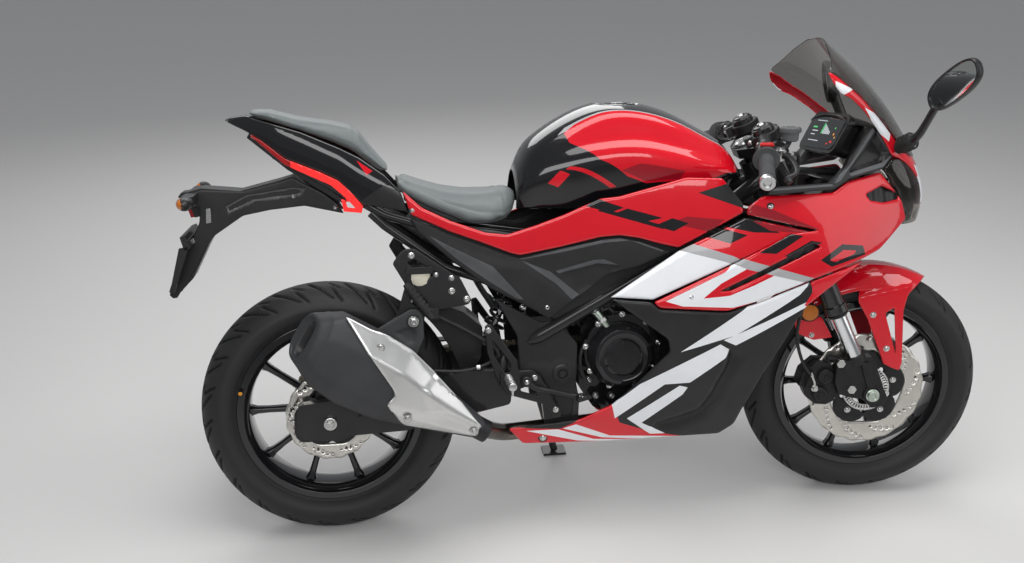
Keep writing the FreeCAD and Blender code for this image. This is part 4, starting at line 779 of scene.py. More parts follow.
# The right lower panel runs on under the engine as a red belly; the left one ends ahead of the
# side stand.  Both have the sunken air outlet.
vent_hollow = pressed([(942, 466), (966, 464), (984, 438), (924, 284), (862, 246), (800, 244), (770, 256),
                       (888, 300), (908, 330), (946, 430)], -16, 14)
front_line = [(664, 597), (758, 586), (776, 569), (939, 555), (1010, 573), (1142, 615), (1288, 656),
              (1140, 558), (1112, 518), (1040, 386), (1003, 289), (992, 247), (958, 218)]
high_stripes = [[(830, 461), (1003, 578), (1116, 614), (1144, 617), (1117, 587), (961, 498)],
                [(932, 487), (963, 472), (1121, 549), (1232, 590), (1197, 590), (1120, 562)]]
red_brow = [(1130, 560), (1150, 590), (1144, 619), (1300, 665), (1240, 610), (1150, 555)]
for side, belly_line, red_foot, sweep, foot_stripes in (
    (-1, [(660, 214), (464, 221), (426, 268), (600, 284), (678, 324)],
     [(400, 275), (552, 263), (610, 290), (676, 330), (699, 273), (780, 240), (860, 221), (900, 200),
      (400, 200)],
     [(676, 324), (738, 380), (925, 477), (951, 460), (940, 440), (860, 379), (799, 377), (686, 286)],
     [[(716, 284), (836, 372), (856, 366), (846, 347), (754, 269), (819, 232), (780, 233)],
      [(470, 262), (548, 262), (640, 226), (760, 217), (700, 214), (600, 224)],
      [(560, 264), (592, 274), (680, 234), (860, 220), (780, 216), (660, 230)]]),
    (1, [(702, 215), (678, 250), (702, 330)],
     [(670, 330), (699, 273), (780, 240), (860, 221), (900, 200), (660, 200)],
     [(702, 340), (738, 380), (925, 477), (951, 460), (940, 440), (860, 379), (799, 377), (716, 312)], []),
):
    stripes = [sweep, *foot_stripes, *high_stripes]
    panel("fairing_lower", "chassis", flank(fairing_skin),
          front_line + belly_line + [(806, 462), (799, 494)], FILMS,
          painted=[(5, [(600, 640), (1400, 700), (1400, 150), (400, 150), (400, 300)]), (0, red_foot)]
          + [(3, stripe) for stripe in stripes] + [(0, red_brow)],
          sides=(side,), relief=vent_hollow, replaced=("lower_fairing",))

# ---------------------------------------------------------------- side panels and covers
# Red panels run from under the seat along the tank's foot to the fairing; below them matt black
# textured covers with a raised lip hide the frame.  Both clip in and take one screw each.
side_skin = Skin(
    (940, 840, 740, 640, 500),
    (120, 96, 106, 112, 112, 108), (420, 130, 137, 140, 140, 136), (660, 150, 160, 164, 162, 154),
    (900, 168, 184, 188, 186, 176), (1010, 170, 188, 194, 192, 182),
)
matt_black = surface("matt_black_plastic", (0.011, 0.011, 0.012), (0.017, 0.017, 0.018), (0.5, 0.66),
                     mottle=18, grain=1500, height=0.00012)
panel(
    "flank_panel", "chassis", flank(side_skin),
    [(192, 858), (208, 803), (298, 760), (367, 734), (436, 706), (459, 700), (552, 717), (645, 738),
     (692, 741), (738, 733), (784, 719), (828, 708), (978, 786), (980, 806), (930, 868), (845, 872),
     (760, 850), (690, 832), (645, 828), (560, 792), (497, 770), (430, 750), (380, 756), (299, 786),
     (235, 818)],
    (*FILMS, matt_black),
    painted=[
        (2, [(612, 812), (640, 828), (700, 806), (668, 795)]),
        (2, [(676, 792), (708, 804), (790, 780), (748, 772)]),
        (2, [(640, 800), (652, 806), (800, 760), (790, 754)]),
        # Darker red just under the tank's foot is painted shade.
        (1, [(806, 768), (846, 782), (934, 772), (900, 744)]),
        (2, [(770, 762), (812, 779), (850, 766), (816, 748)]),
        (5, [(872, 836), (936, 854), (1010, 846), (1004, 812), (980, 796)]),
    ],
    corner=5, fold=6, proud=1.0, replaced=("side_panel",),
)


# A lighter grey laid along the cover's raised edges and rims: painted highlights.
painted_highlight_grey = surface("bevel_painted_highlight_grey", (0.060, 0.062, 0.066), (0.085, 0.087, 0.092), (0.4, 0.52),
                     mottle=18, grain=1500, height=0.00008)
raised_field = pressed([(268, 742), (420, 688), (470, 686), (546, 628), (590, 590), (526, 545), (470, 574),
                        (403, 640), (330, 690)],
                       4, 12)
sunk_pocket = pressed([(548, 657), (640, 680), (700, 668), (640, 622), (597, 600)], -5, 6)
panel(
    "side_cover", "chassis", flank(side_skin),
    [(206, 796), (298, 753), (436, 699), (459, 692), (645, 731), (692, 734), (738, 724), (810, 697),
     (738, 664), (669, 649), (590, 590), (526, 542), (483, 570), (388, 622), (300, 690), (222, 762)],
    (matt_black, painted_highlight_grey), corner=5, fold=5, proud=-3.5, relief=lambda x,
    z: raised_field(x, z) + sunk_pocket(x, z), replaced=("side_covers",),
    # The grey strips along the raised field's and the pocket's edges are painted highlights.
    painted=[(1, [(251, 751), (316, 716), (395, 676), (466, 594), (450, 596), (377, 646), (316, 692)]),
             (1, [(452, 696), (554, 712), (660, 732), (716, 735), (803, 704), (790, 700), (716, 728),
                  (660, 725), (554, 704), (461, 690)]),
             (1, [(463, 687), (529, 659), (597, 601), (580, 590), (545, 628)]),
             (1, [(542, 660), (631, 684), (655, 685), (690, 670), (640, 675), (550, 654)])],
)

# ---------------------------------------------------------------- dark trim behind the bodywork
# Black ducts behind the fairing's openings, the air box between the frame tubes, and the inner
# mudguard over the rear tyre: plain satin polypropylene, clipped to the frame.
for name, outline, depth in (("slot_duct", [(895, 596), (950, 592), (1185, 700), (1150, 724)], -13),
                             ("air_duct", [(1282, 812), (1352, 846), (1424, 812), (1416, 780), (1300, 780)],
                              -12)):
    panel(name, "chassis", flank(fairing_skin), outline, (satin_black,), proud=depth, fold=0, corner=4,
          step=9, wall=2, relief=lambda x, z: 2.5 * np.sin(x / 5.5))
panel("inner_trim", "chassis", flank(side_skin),
      [(176, 782), (240, 734), (330, 680), (470, 596), (520, 545), (545, 528), (640, 580), (740, 640),
       (900, 730), (950, 790), (900, 800), (700, 800), (480, 742), (300, 774), (205, 806)], (satin_black,),
       proud=-28, fold=0, corner=6, step=12, wall=2)
air_box = Piece("air_box", "chassis", satin_black)
air_box.bar((190, 150, 110), (672, 0, 680), None, 0, 0.84)
air_box.bar((120, 120, 60), (700, 0, 604), None, 0, 1.15)
air_box.slab([(420, 556), (404, 560), (372, 610), (330, 690), (240, 750), (150, 800), (150, 806),
              (244, 757), (336, 698), (378, 615), (408, 566)],
             -78, 78)
for rib in range(-2, 3):
    air_box.slab([(404, 560), (372, 610), (330, 690), (240, 750), (236, 745), (325, 685), (367, 607),
                  (398, 556)], rib * 34 - 2, rib * 34 + 2)
tyre_gap = [(331 * math.cos(a), 315 + 331 * math.sin(a))
            for a in [math.radians(52 - 37 * i / 14) for i in range(15)]]
air_box.slab(tyre_gap + [(352, 404), (372, 436), (376, 512), (330, 552), (262, 580), (214, 594)], -66, 66)
air_box.done(bevel=3, segments=3)

# ---------------------------------------------------------------- fuel tank
# Pressed and seam-welded steel, painted gloss black, with a red upper panel on each side, a thin
# grey line along the ridge and a flush filler cap held by a ring of small screws.
TANK_KNOTS = (462, 480, 520, 585, 660, 760, 850, 930, 985, 1004)
TANK_SECTIONS = (
    # crown height, then (half width, height) of the ridge, the hollow under it, the knee and the foot
    (885, 40, 868, 56, 850, 70, 832, 66, 800),
    (926, 60, 905, 76, 882, 88, 850, 78, 800),
    (972, 78, 948, 98, 915, 108, 870, 92, 800),
    (1012, 92, 985, 112, 945, 128, 895, 112, 800),
    (1040, 103, 1012, 122, 962, 142, 912, 122, 800),
    (1040, 110, 1010, 126, 962, 148, 916, 130, 802),
    (1013, 110, 982, 128, 940, 150, 898, 134, 812),
    (970, 100, 944, 122, 912, 142, 884, 128, 830),
    (928, 84, 908, 104, 888, 120, 868, 110, 845),
    (900, 70, 884, 90, 872, 104, 860, 98, 850),
)


def tank_shape(spot):
    """The tank's left half: along the machine, and down over the side from the crown (0 to 300)."""
    x, v = spot[:, 0], np.clip(spot[:, 1], -20, 300) / 60
    rows = spline_weights(TANK_KNOTS, np.clip(x, 462, 1004)) @ np.array(TANK_SECTIONS, float)
    crown, ridge, hollow, knee, foot = rows[:, 0], rows[:, 1:3], rows[:, 3:5], rows[:, 5:7], rows[:, 7:9]
    top = np.stack((0 * crown, crown), axis=1)
    near = np.stack((ridge[:, 0] * 0.55, crown * 0.72 + ridge[:, 1] * 0.28), axis=1)
    mirrored_near = near * (-1, 1)
    line = [mirrored_near, top, near, ridge, hollow, knee, foot, foot + (foot - knee) * 0.5]
    line = np.stack(line, axis=1)
    cell = np.clip(np.floor(v).astype(int), 0, 4)
    t = (v - cell)[:, None]
    at = np.arange(len(x))
    p0, p1, p2, p3 = [line[at, cell + i] for i in range(4)]
    yz = 0.5 * (2 * p1 + (p2 - p0) * t + (2 * p0 - 5 * p1 + 4 * p2 - p3) * t**2
                + (3 * p1 - p0 - 3 * p2 + p3) * t**3)
    sunk = np.clip((58 - np.hypot(x - 720, yz[:, 0])) / 5, 0, 1)
    yz[:, 1] = yz[:, 1] * (1 - sunk) + np.minimum(yz[:, 1], 1028) * sunk
    return np.stack((x, yz[:, 0], yz[:, 1]), axis=1)


def on_tank(x, z):
    """Where a point seen at (x, z) from the side lies on the tank."""
    down = np.linspace(0, 300, 301)
    heights = tank_shape(np.stack((np.full(301, float(x)), down), axis=1))[:, 2]
    return (x, float(down[np.abs(heights - z).argmin()]))


panel(
    "fuel_tank", "chassis", tank_shape, [(463, 0), (463, 300), (1003, 300), (1003, 0)], FILMS, fold=0,
    wall=1.5, painted=[
        (2, [(440, -20), (440, 320), (1020, 320), (1020, -20)]),
        (4, [(578, 106), (660, 97), (770, 96), (880, 98), (960, 106), (1010, 116), (1010, 132),
             (560, 124)]),
        (0, [(574, 128), (600, 113), (665, 103), (770, 101), (880, 103), (960, 112), (1010, 124),
             on_tank(984, 872), on_tank(930, 865), on_tank(850, 862), on_tank(760, 858), on_tank(716, 876),
             on_tank(650, 917), on_tank(585, 955)]),
        (0, [on_tank(532, 862), on_tank(560, 892), on_tank(582, 884), on_tank(556, 852)]),
        (0, [on_tank(572, 895), on_tank(582, 902), on_tank(690, 852), on_tank(676, 850)]),
        # Darker red under the tank's knee bulge is painted shade.
        (1, [on_tank(700, 888), on_tank(745, 905), on_tank(852, 884), on_tank(840, 866),
             on_tank(760, 862)]),
    ],
    step=9, corner=0, replaced=("fuel_tank",),
)
cast_steel = surface("bright_screw_zinc", (0.42, 0.42, 0.43), (0.56, 0.56, 0.57), (0.24, 0.4), metal=1.0,
                     mottle=60, grain=2600, height=0.00002)
cap = Piece("filler_cap", "chassis", gloss_black, cast_steel)
cap.turned([(0, 0), (0, 51), (6, 51), (9, 48.5), (10, 45), (8.5, 42.5), (8.5, 38), (11.5, 36.5), (12, 33),
            (12, 0)],
           (720, 0, 1027.5), (0, 0, 1), steps=72)
for number in range(7):
    turn = math.tau * number / 7
    cap.turned([(0, 0), (0, 3.6), (2.2, 3.2), (2.2, 1.6), (1.2, 1.4), (1.2, 0)],
               (720 + 40.3 * math.cos(turn), 40.3 * math.sin(turn), 1035.6), (0, 0, 1), steps=14, finish=1)
cap.slab([(-14, 0), (-14, 1.2), (14, 1.2), (14, 0)], -7, 7, finish=1,
         place=Matrix.Translation((724, 0, 1039.2)))
cap.done("fuel_cap", bevel=0.6)

# ---------------------------------------------------------------- seats
# Polyurethane foam on moulded pans, covered in grey-green leather-grain vinyl: a broad dished
# rider's seat and a thin stepped passenger seat, both with a welded seam along the side.


def seat_vinyl(name):
    """Leather-grain vinyl: small rounded cells, darker between them as painted shade, with a soft satin
    sheen.
    """
    look = Finish(name)
    place = look.spots()
    cells = look.add("TexVoronoi", ("feature", "SMOOTH_F1"), Vector=place, Scale=520.0).outputs["Distance"]
    folds = look.add("TexNoise", Vector=place, Scale=26.0, Detail=4.0).outputs["Fac"]
    cloudy = look.add("TexNoise", Vector=place, Scale=7.0, Detail=3.0).outputs["Fac"]
    # The cells' edges, which the bump sinks, are darkened: painted shade in the grain.
    painted_grain_shade = look.add("MixRGB", ("blend_type", "MULTIPLY"), Fac=0.35, Color2=look.span(cells, 1.1, 0.7),
                      Color1=look.tones(cloudy, (0.105, 0.122, 0.122), (0.150, 0.168, 0.166)))
    look.shade(Base_Color=painted_grain_shade.outputs["Color"], Roughness=look.span(folds, 0.42, 0.58),
               Sheen_Weight=0.12)
    height = look.add("Math", ("operation", "MULTIPLY_ADD"), n0=cells, n1=-0.6, n2=folds)
    look.relief(height.outputs[0], 0.0004, 0.8)
    return look.material


vinyl = seat_vinyl("seat_vinyl")
PRESSURE, VOXEL, CLOTH_STEPS, RELAXING_STEPS = 4.0, 0.005, 20, 6


def padded_pad(name, sections, cap=6.0):
    """Foam in its cover: a closed lofted block, swollen by a short cloth run, capped, and smoothed."""
    block = Piece(name, "chassis", vinyl)
    block.loft([[(x, y, z) for y, z in outline] + [(x, -y, z) for y, z in reversed(outline)]
                for x, outline in sections],
               capped=True)
    pad = block.done(angle=180)
    remesh = pad.modifiers.new("skin", "REMESH")
    remesh.mode, remesh.voxel_size = "VOXEL", VOXEL
    bpy.context.view_layer.update()
    seen = bpy.context.evaluated_depsgraph_get()
    skin = bpy.data.meshes.new_from_object(pad.evaluated_get(seen))
    pad.modifiers.remove(remesh)
    pad.data = skin
    rest = np.zeros(len(skin.vertices) * 3, np.float32)
    skin.vertices.foreach_get("co", rest)
    scene = bpy.context.scene
    cloth = pad.modifiers.new("swell", "CLOTH")
    cloth.settings.use_pressure = True
    cloth.settings.uniform_pressure_force = PRESSURE
    cloth.settings.effector_weights.gravity = 0
    cloth.settings.quality = 5
    cloth.settings.mass = 0.4
    cloth.point_cache.frame_start, cloth.point_cache.frame_end = 1, CLOTH_STEPS
    for moment in range(1, CLOTH_STEPS + 1):
        scene.frame_set(moment)
    seen = bpy.context.evaluated_depsgraph_get()
    swollen = bpy.data.meshes.new_from_object(pad.evaluated_get(seen))
    pad.modifiers.remove(cloth)
    scene.frame_set(1)
    now = np.zeros(len(swollen.vertices) * 3, np.float32)
    swollen.vertices.foreach_get("co", now)
    move = (now - rest).reshape(-1, 3)
    size = np.linalg.norm(move, axis=1, keepdims=True)
    move *= np.minimum(1.0, cap / 1000 / np.maximum(size, 1e-9))
    rest = (rest.reshape(-1, 3) + move).ravel()
    skin.vertices.foreach_set("co", rest)
    return pad


def press_seams(pad, depth):
    """Relax the cover, then sink its seams and creases by the depth given at each place on the machine."""
    edit = bmesh.new()
    edit.from_mesh(pad.data)
    for _ in range(RELAXING_STEPS):
        bmesh.ops.smooth_vert(edit, verts=edit.verts, factor=0.5, use_axis_x=True, use_axis_y=True,
                              use_axis_z=True)
    edit.normal_update()
    upright = parked.inverted()
    for corner in edit.verts:
        spot = upright @ corner.co
        corner.co -= corner.normal * depth(spot) / 1000
    edit.to_mesh(pad.data)
    edit.free()
    pad.data.materials.clear()
    pad.data.materials.append(vinyl)
    pad.data.shade_smooth()
    soft = pad.modifiers.new("soft", "SUBSURF")
    soft.levels = soft.render_levels = 1


def groove(gap, half):
    """How deep a soft groove is at a distance from its middle, from 0 to 1."""
    return math.exp(-((gap / half) ** 2))


rider_sections = []
for x, top, edge_z, low, half in (
    (182, 886, 878, 866, 80), (200, 877, 862, 848, 92), (240, 862, 840, 818, 100),
    (290, 846, 816, 792, 108), (345, 837, 796, 774, 112), (400, 837, 784, 772, 108),
    (432, 843, 792, 778, 92), (452, 848, 806, 790, 70), (462, 846, 816, 804, 52),
):
    rider_sections.append((x, [(0, top), (half * 0.45, top - 0.5), (half * 0.74, top - 5),
                               (half * 0.92, (top + edge_z) / 2 + 3), (half, edge_z), (half * 0.95, low),
                               (half * 0.6, low + 2), (0, low + 4)]))
rider = padded_pad("rider_cushion", rider_sections)


def rider_creases(spot):
    """The cover's cross seam behind the tank, two pulled creases at its nose and the welded side seam."""
    side = abs(spot.y)
    edge = np.interp(spot.x, (180, 240, 300, 370, 430, 470), (871, 842, 812, 790, 786, 800))
    seam = 1.6 * groove(spot.z - edge - 10, 3.0) * (side > 40)
    nose = 1.8 * groove(spot.x - 424 - side * 0.12, 4.0) * min(1, max(0, (spot.z - 800) / 20))
    return (seam + nose + 0.9 * groove(spot.x - 402 - side * 0.22, 7.0)
            - 0.7 * groove(spot.x - 413 - side * 0.17, 5.0))


press_seams(rider, rider_creases)
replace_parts(rider, "rider_seat")
pillion_sections = []
for x, top, low, half in (
    (-156, 1043, 1035, 42), (-140, 1045, 1033, 56), (-110, 1044, 1027, 68), (-36, 1024, 1004, 84),
    (30, 1013, 979, 90), (76, 1002, 958, 93), (96, 988, 944, 92), (122, 951, 923, 90), (150, 917, 903, 86),
    (166, 902, 893, 82),
):
    pillion_sections.append((x, [(0, top), (half * 0.5, top - 0.6), (half * 0.8, top - 4),
                                 (half * 0.95, top - 0.45 * (top - low)), (half, low + 0.28 * (top - low)),
                                 (half * 0.92, low), (half * 0.5, low), (0, low)]))
pillion = padded_pad("passenger_cushion", pillion_sections, cap=4.0)


def pillion_creases(spot):
    """A stitched channel across the pad, the seam along its edge and a little dish in the middle."""
    side = abs(spot.y)
    edge = np.interp(spot.x, (-150, -100, -36, 30, 76, 122, 166), (1036, 1029, 1008, 988, 968, 930, 896))
    seam = 1.3 * groove(spot.z - edge, 2.6) * (side > 30)
    across = 1.2 * groove(spot.x - 88, 3.5) + 0.9 * groove(spot.x + 120, 3.0)
    return seam + across + 2.0 * groove(side, 40) * groove(spot.x + 20, 70) * (spot.z > 985)


press_seams(pillion, pillion_creases)
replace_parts(pillion, "pillion_seat")
pan = Piece("seat_pans", "chassis", satin_black)
for side in (1, -1):
    pan.pipe([(178, side * 84, 862), (240, side * 99, 826), (300, side * 106, 798), (350, side * 108, 778),
              (400, side * 105, 776), (436, side * 88, 784)], 3.0, smooth=5, steps=8)
pan.done()

# ---------------------------------------------------------------- tail
# A pointed cowl of gloss black ABS in two halves under the passenger seat, creased along the side,
# with a red LED lamp set along each lower edge and a black undertray between.


def tail_flank(spot):
    """The tail's left side: widest along its crease, drawn in above and below it."""
    x, z = spot[:, 0], spot[:, 1]
    plan = np.interp(x, (-212, -190, -150, -95, -40, 10, 60, 130, 210),
                     (9, 27, 47, 68, 82, 93, 101, 108, 112))
    crease = np.interp(x, (-212, -150, -95, -33, 54, 98, 153, 205),
                       (1024, 1013, 995, 968, 925, 892, 860, 830))
    above = z - crease
    far = np.hypot(above, 9) - 9
    drawn = np.where(above > 0, 0.16 * far + 0.006 * far**2, 0.06 * far + 0.0006 * far**2)
    return np.stack((x, plan - drawn, z), axis=1)


panel(
    "tail_cowl", "chassis", tail_flank,
    [(-206, 1021), (-196, 1028), (-160, 1034), (-142, 1030), (-99, 1018), (-33, 998), (54, 960), (98, 937),
     (153, 896), (188, 856), (203, 808), (98, 828), (46, 886), (6, 906), (-71, 936), (-128, 981),
     (-165, 1002)],
    (gloss_black, red_enamel, satin_black), fold=4.0, corner=4, step=9, wall=3.0,
    painted=[(1, [(90, 930), (126, 905), (112, 896)]),
             (2, [(96, 836), (150, 818), (208, 800), (200, 850), (150, 872)])],
    replaced=("tail_cowl",),
)
top_edge = ((-207, 1024.5), (-196, 1028), (-176, 1031.5), (-160, 1033.5), (-148, 1031), (-120, 1023))
bridge = Piece("tail_tip", "chassis", gloss_black)
rings = []
for x, z in top_edge:
    half = float(tail_flank(np.array([[x, z]]))[0, 1]) - 1.5
    rings.append([(x, half * t, z + 3.0 * (1 - t * t)) for t in np.linspace(-1, 1, 9)])
bridge.loft(rings, closed=False)
bridge.done(wall=2.5)


def glowing(name, colour, strength, base):
    """A lit lens: moulded flutes over an even glow that is hotter along the middle of each flute."""
    look = Finish(name)
    flutes = look.add("TexWave", ("wave_type", "BANDS"), ("bands_direction", "DIAGONAL"),
                      Vector=look.spots(), Scale=90.0)
    hot = look.tones(flutes.outputs["Fac"], [c * 0.55 for c in colour], colour)
    look.shade(Base_Color=(*base, 1), Emission_Color=hot, Emission_Strength=strength, Roughness=0.12)
    look.relief(flutes.outputs["Fac"], 0.0004)
    return look.material


red_glow = glowing("tail_lamp_lit", (1.0, 0.035, 0.03), 0.9, (0.42, 0.006, 0.008))
red_lens = surface("red_lens", (0.30, 0.006, 0.008), (0.4, 0.01, 0.012), (0.08, 0.14), grain=900,
                   height=0.00008, coat=1.0)
panel(
    "tail_lamp", "chassis", tail_flank,
    [(-150, 991), (-128, 981), (-71, 936), (6, 905), (46, 885), (74, 858), (101, 824), (97, 808), (56, 812),
     (51, 842), (61, 838), (65, 822), (83, 820), (60, 846), (30, 874), (-17, 896), (-73, 922)],
    (red_lens, red_glow), fold=1.5, corner=2, step=5, wall=6.0, proud=1.2,
    painted=[(1, [(-60, 940), (10, 912), (60, 890), (110, 830), (110, 800), (50, 800), (45, 850), (20, 872),
                  (-60, 912)])],
    replaced=("tail_light",),
)
nodes["undertray"].data.materials[0] = satin_black

# ---------------------------------------------------------------- nose, headlights and screen
# The nose is one curved face: a red cowl with white patches, two smoked polycarbonate lenses with
# their reflector bowls behind, and a tinted acrylic screen above that overlaps the cowl's edge.
FACE_LEVELS = (715, 800, 900, 1005, 1105, 1186)
FACE_ROWS = ((1502, 1402, 92), (1512, 1392, 112), (1472, 1330, 127), (1400, 1266, 160), (1306, 1180, 172),
             (1226, 1178, 62))
FACE_GIRTH = 130


def face_arc(z):
    """Each level of the nose is an arc in plan: its middle's x and its radius."""
    rows = spline_weights(FACE_LEVELS, np.clip(z, 715, 1186)) @ np.array(FACE_ROWS, float)
    deep = rows[:, 0] - rows[:, 1]
    radius = (deep**2 + rows[:, 2] ** 2) / (2 * deep)
    return rows[:, 0] - radius, radius


def nose_face(spot):
    """The nose by its angle round each arc (as a length, left positive) and height."""
    middle, radius = face_arc(spot[:, 1])
    turn = spot[:, 0] / FACE_GIRTH
    return np.stack((middle + radius * np.cos(turn), radius * np.sin(turn), spot[:, 1]), axis=1)


def at_nose(x, z):
    """Where a point of the nose that the side view shows at (x, z) lies round its arc."""
    middle, radius = face_arc(np.array([float(z)]))
    return (FACE_GIRTH * math.acos(max(-1.0, min(1.0, (x - middle[0]) / radius[0]))), z)


def across_nose(y, z):
    """The same, for a point the front view shows at (y, z)."""
    return (FACE_GIRTH * math.asin(min(1.0, y / face_arc(np.array([float(z)]))[1][0])), z)


def both_ways(half):
    """An outline across the centre line from its left half, listed from the top down."""
    return half + [(-s, z) for s, z in reversed(half)]


def see_through(name, tint, rough):
    """Clear moulded plastic with its own smoke, faint flow lines and a hard gloss."""
    look = Finish(name)
    flow = look.add("TexNoise", Vector=look.spots(), Scale=7.0, Detail=3.0).outputs["Fac"]
    look.shade(Base_Color=look.tones(flow, tint, [c * 0.88 for c in tint]),
               Roughness=look.span(flow, rough * 0.6, rough), Transmission_Weight=1.0, IOR=1.45)
    return look.material


smoked_acrylic = see_through("smoked_acrylic", (0.50, 0.485, 0.46), 0.03)
smoked_lens = see_through("smoked_lens", (0.34, 0.32, 0.28), 0.02)
# The backs of the red panels: a matt, uncoated red whose darker tone is painted shade.
shaded_red = surface("red_enamel_back_painted_shade", (0.30, 0.003, 0.010), (0.36, 0.004, 0.013), (0.4, 0.55), mottle=8,
                     grain=1200, height=0.00003)
dark_chrome = surface("dark_chrome", (0.16, 0.16, 0.15), (0.22, 0.21, 0.20), (0.1, 0.2), metal=1.0,
                      mottle=20, grain=700)

brow = [at_nose(x, z) for x, z in ((1209, 1091), (1268, 1049), (1333, 993), (1391, 936), (1438, 897))]
cheek = [at_nose(x, z) for x, z in ((1470, 836), (1424, 878), (1394, 894), (1374, 900), (1330, 960),
                                    (1281, 1009), (1240, 1040), (1209, 1053), (1190, 1078), (1180, 1105))]
panel(
    "nose_shell", "chassis", nose_face,
    both_ways([(30, 890)] + brow[::-1] + cheek[::-1] + [at_nose(1487, 776), at_nose(1501, 764), (24, 762)]),
    # The cowl's back takes the darker red, painted shade.
    (*FILMS, shaded_red), facing=(1, 0, 0), fold=4, corner=5, step=8, sides=(0,),
    painted=[(3, [(side * s, z) for s, z in patch]) for side in (-1, 1) for patch in (
        [at_nose(1193, 1082), at_nose(1244, 1062), at_nose(1226, 1054), at_nose(1204, 1044)],
        [at_nose(1280, 1018), at_nose(1312, 1004), at_nose(1366, 952), at_nose(1362, 934),
         at_nose(1322, 962)],
        [at_nose(1452, 872), at_nose(1472, 866), at_nose(1497, 816), at_nose(1508, 776), at_nose(1486, 770),
         at_nose(1472, 826)],
    )],
    replaced=("nose_cowl",),
)
lens = [at_nose(x, z) for x, z in ((1378, 889), (1398, 890), (1426, 873), (1471, 830), (1489, 770),
                                   (1502, 758), (1507, 742), (1504, 727), (1428, 724), (1432, 756),
                                   (1412, 792), (1356, 866))]
panel("headlight_lens", "chassis", nose_face, lens, (smoked_lens,), facing=(1, 0, 0), fold=3, corner=4,
      step=8, proud=-1.5, replaced=("headlights",))
bowl_rim = [at_nose(x, z) for x, z in ((1392, 880), (1422, 862), (1458, 826), (1474, 772), (1488, 744),
                                       (1468, 742), (1450, 792), (1396, 862))]
panel("headlight_bowl", "chassis", nose_face, lens, (satin_black, dark_chrome, white_film),
      facing=(1, 0, 0), fold=0, corner=4, step=7, proud=-16, wall=2,
      painted=[(2, bowl_rim),
               (1, [(s + (4 if s < 60 else -4), z + (-4 if z > 800 else 4)) for s, z in bowl_rim])],
      relief=pressed(bowl_rim, -9, 14))
panel(
    "screen", "chassis", nose_face,
    both_ways([(0, 1183), across_nose(44, 1179), across_nose(87, 1160), across_nose(139, 1129),
               at_nose(1181, 1106), at_nose(1206, 1088), at_nose(1264, 1045), at_nose(1328, 989),
               at_nose(1386, 931), at_nose(1430, 893), (26, 886)]),
    (smoked_acrylic,), facing=(1, 0, 0), fold=2.5, corner=14, step=9, sides=(0,), proud=2.6, wall=2.6,
    replaced=("windscreen",),
)

# ---------------------------------------------------------------- mirrors
# Black plastic shells around flat glass, on flattened cast arms that swivel in ribbed rubber
# feet bolted through the cowl to the stay behind it.
mirror_glass = surface("mirror_glass", (0.62, 0.65, 0.63), (0.68, 0.70, 0.69), (0.02, 0.04), metal=1.0,
                       mottle=5, grain=300)
foot_rubber = surface("foot_rubber", (0.016, 0.016, 0.016), (0.028, 0.028, 0.027), (0.5, 0.7), grain=1200,
                      height=0.0002)
for side, word in ((-1, "right"), (1, "left")):
    along, facing = Vector((0.24, -0.80, 0.55)).normalized(), Vector((-0.92, -0.36, 0.0))
    facing = (facing - along * facing.dot(along)).normalized()
    up = facing.cross(along).normalized()
    up = up if up.z > 0 else -up
    centre = Vector((1402, -312 if side < 0 else -303, 1070))
    rings = ((0.0, 0.0, -2.0), (0.91, 0.88, -2.0), (0.925, 0.90, 2.5), (0.97, 0.96, 3.4), (1.0, 1.0, 0.5),
             (1.01, 1.02, -8.0), (0.95, 0.94, -18.0), (0.78, 0.76, -26.0), (0.5, 0.48, -31.0),
             (0.2, 0.18, -33.0), (0.0, 0.0, -33.5))
    lines = []
    for wide, tall, out in rings:
        lines.append([])
        for step in range(56):
            c, s = squared(math.tau * step / 56, 2.6)
            spot = centre + along * 76 * (wide * c + 0.096 * s * tall) + up * 35 * tall * s + facing * out
            lines[-1].append((spot.x, spot.y * -side, spot.z))
    shell = Piece("mirror_" + word, "chassis", satin_black, mirror_glass, foot_rubber)
    shell.loft(lines[:2], 1)
    shell.loft(lines[1:])
    flip = -side
    shell.pipe([(1397, -158 * flip, 938), (1402, -186 * flip, 952), (1405, -214 * flip, 984),
                (1405, -246 * flip, 1018), (1408, -276 * flip, 1040)], (14, 16, 14.5, 15, 20), steps=20,
                smooth=5, squash=0.6)
    shell.pipe([(1392, -124 * flip, 922), (1396, -140 * flip, 928), (1400, -168 * flip, 940),
                (1402, -178 * flip, 945)],
               (22, 23, 19, 13), steps=18, finish=2, squash=0.72)
    for i in range(3):
        reach = -134 - 12 * i
        shell.collar(18, 21.5, -2, 2, Vector((1395 + 2.6 * i, reach * flip, 926 + 5 * i)),
                     (0.2, -0.9 * flip, 0.38), steps=20, finish=2)
    shell.done(*(("mirrors",) if side < 0 else ()), bevel=0)

# ---------------------------------------------------------------- instrument and cockpit trim
# The display sits in a black plastic surround under the screen; ribbed black panels close the
# space from there down to the fairing's top edge, and a hood runs forward to the screen.
# Grey plastic: the brake fluid pot is made of it, and on the cockpit panel it is laid along the rims, the
# top lip and the rib as painted highlights.
grey_plastic_and_highlight = surface("grey_plastic_and_painted_highlight", (0.085, 0.088, 0.092), (0.12, 0.124, 0.13), (0.42, 0.55),
                    mottle=20, grain=1500, height=0.0001)
display_glass = surface("display_glass", (0.006, 0.007, 0.009), (0.010, 0.011, 0.013), (0.04, 0.07),
                        mottle=8, grain=900, coat=1.0)
amber_light = glowing("amber_telltale", (1.0, 0.42, 0.05), 0.9, (0.5, 0.2, 0.02))
green_light = glowing("green_telltale", (0.10, 0.8, 0.25), 0.7, (0.05, 0.3, 0.1))
white_segment = glowing("display_segment", (0.75, 0.82, 0.9), 0.7, (0.3, 0.3, 0.3))
tilt = Matrix.Rotation(math.radians(28), 4, "Y")
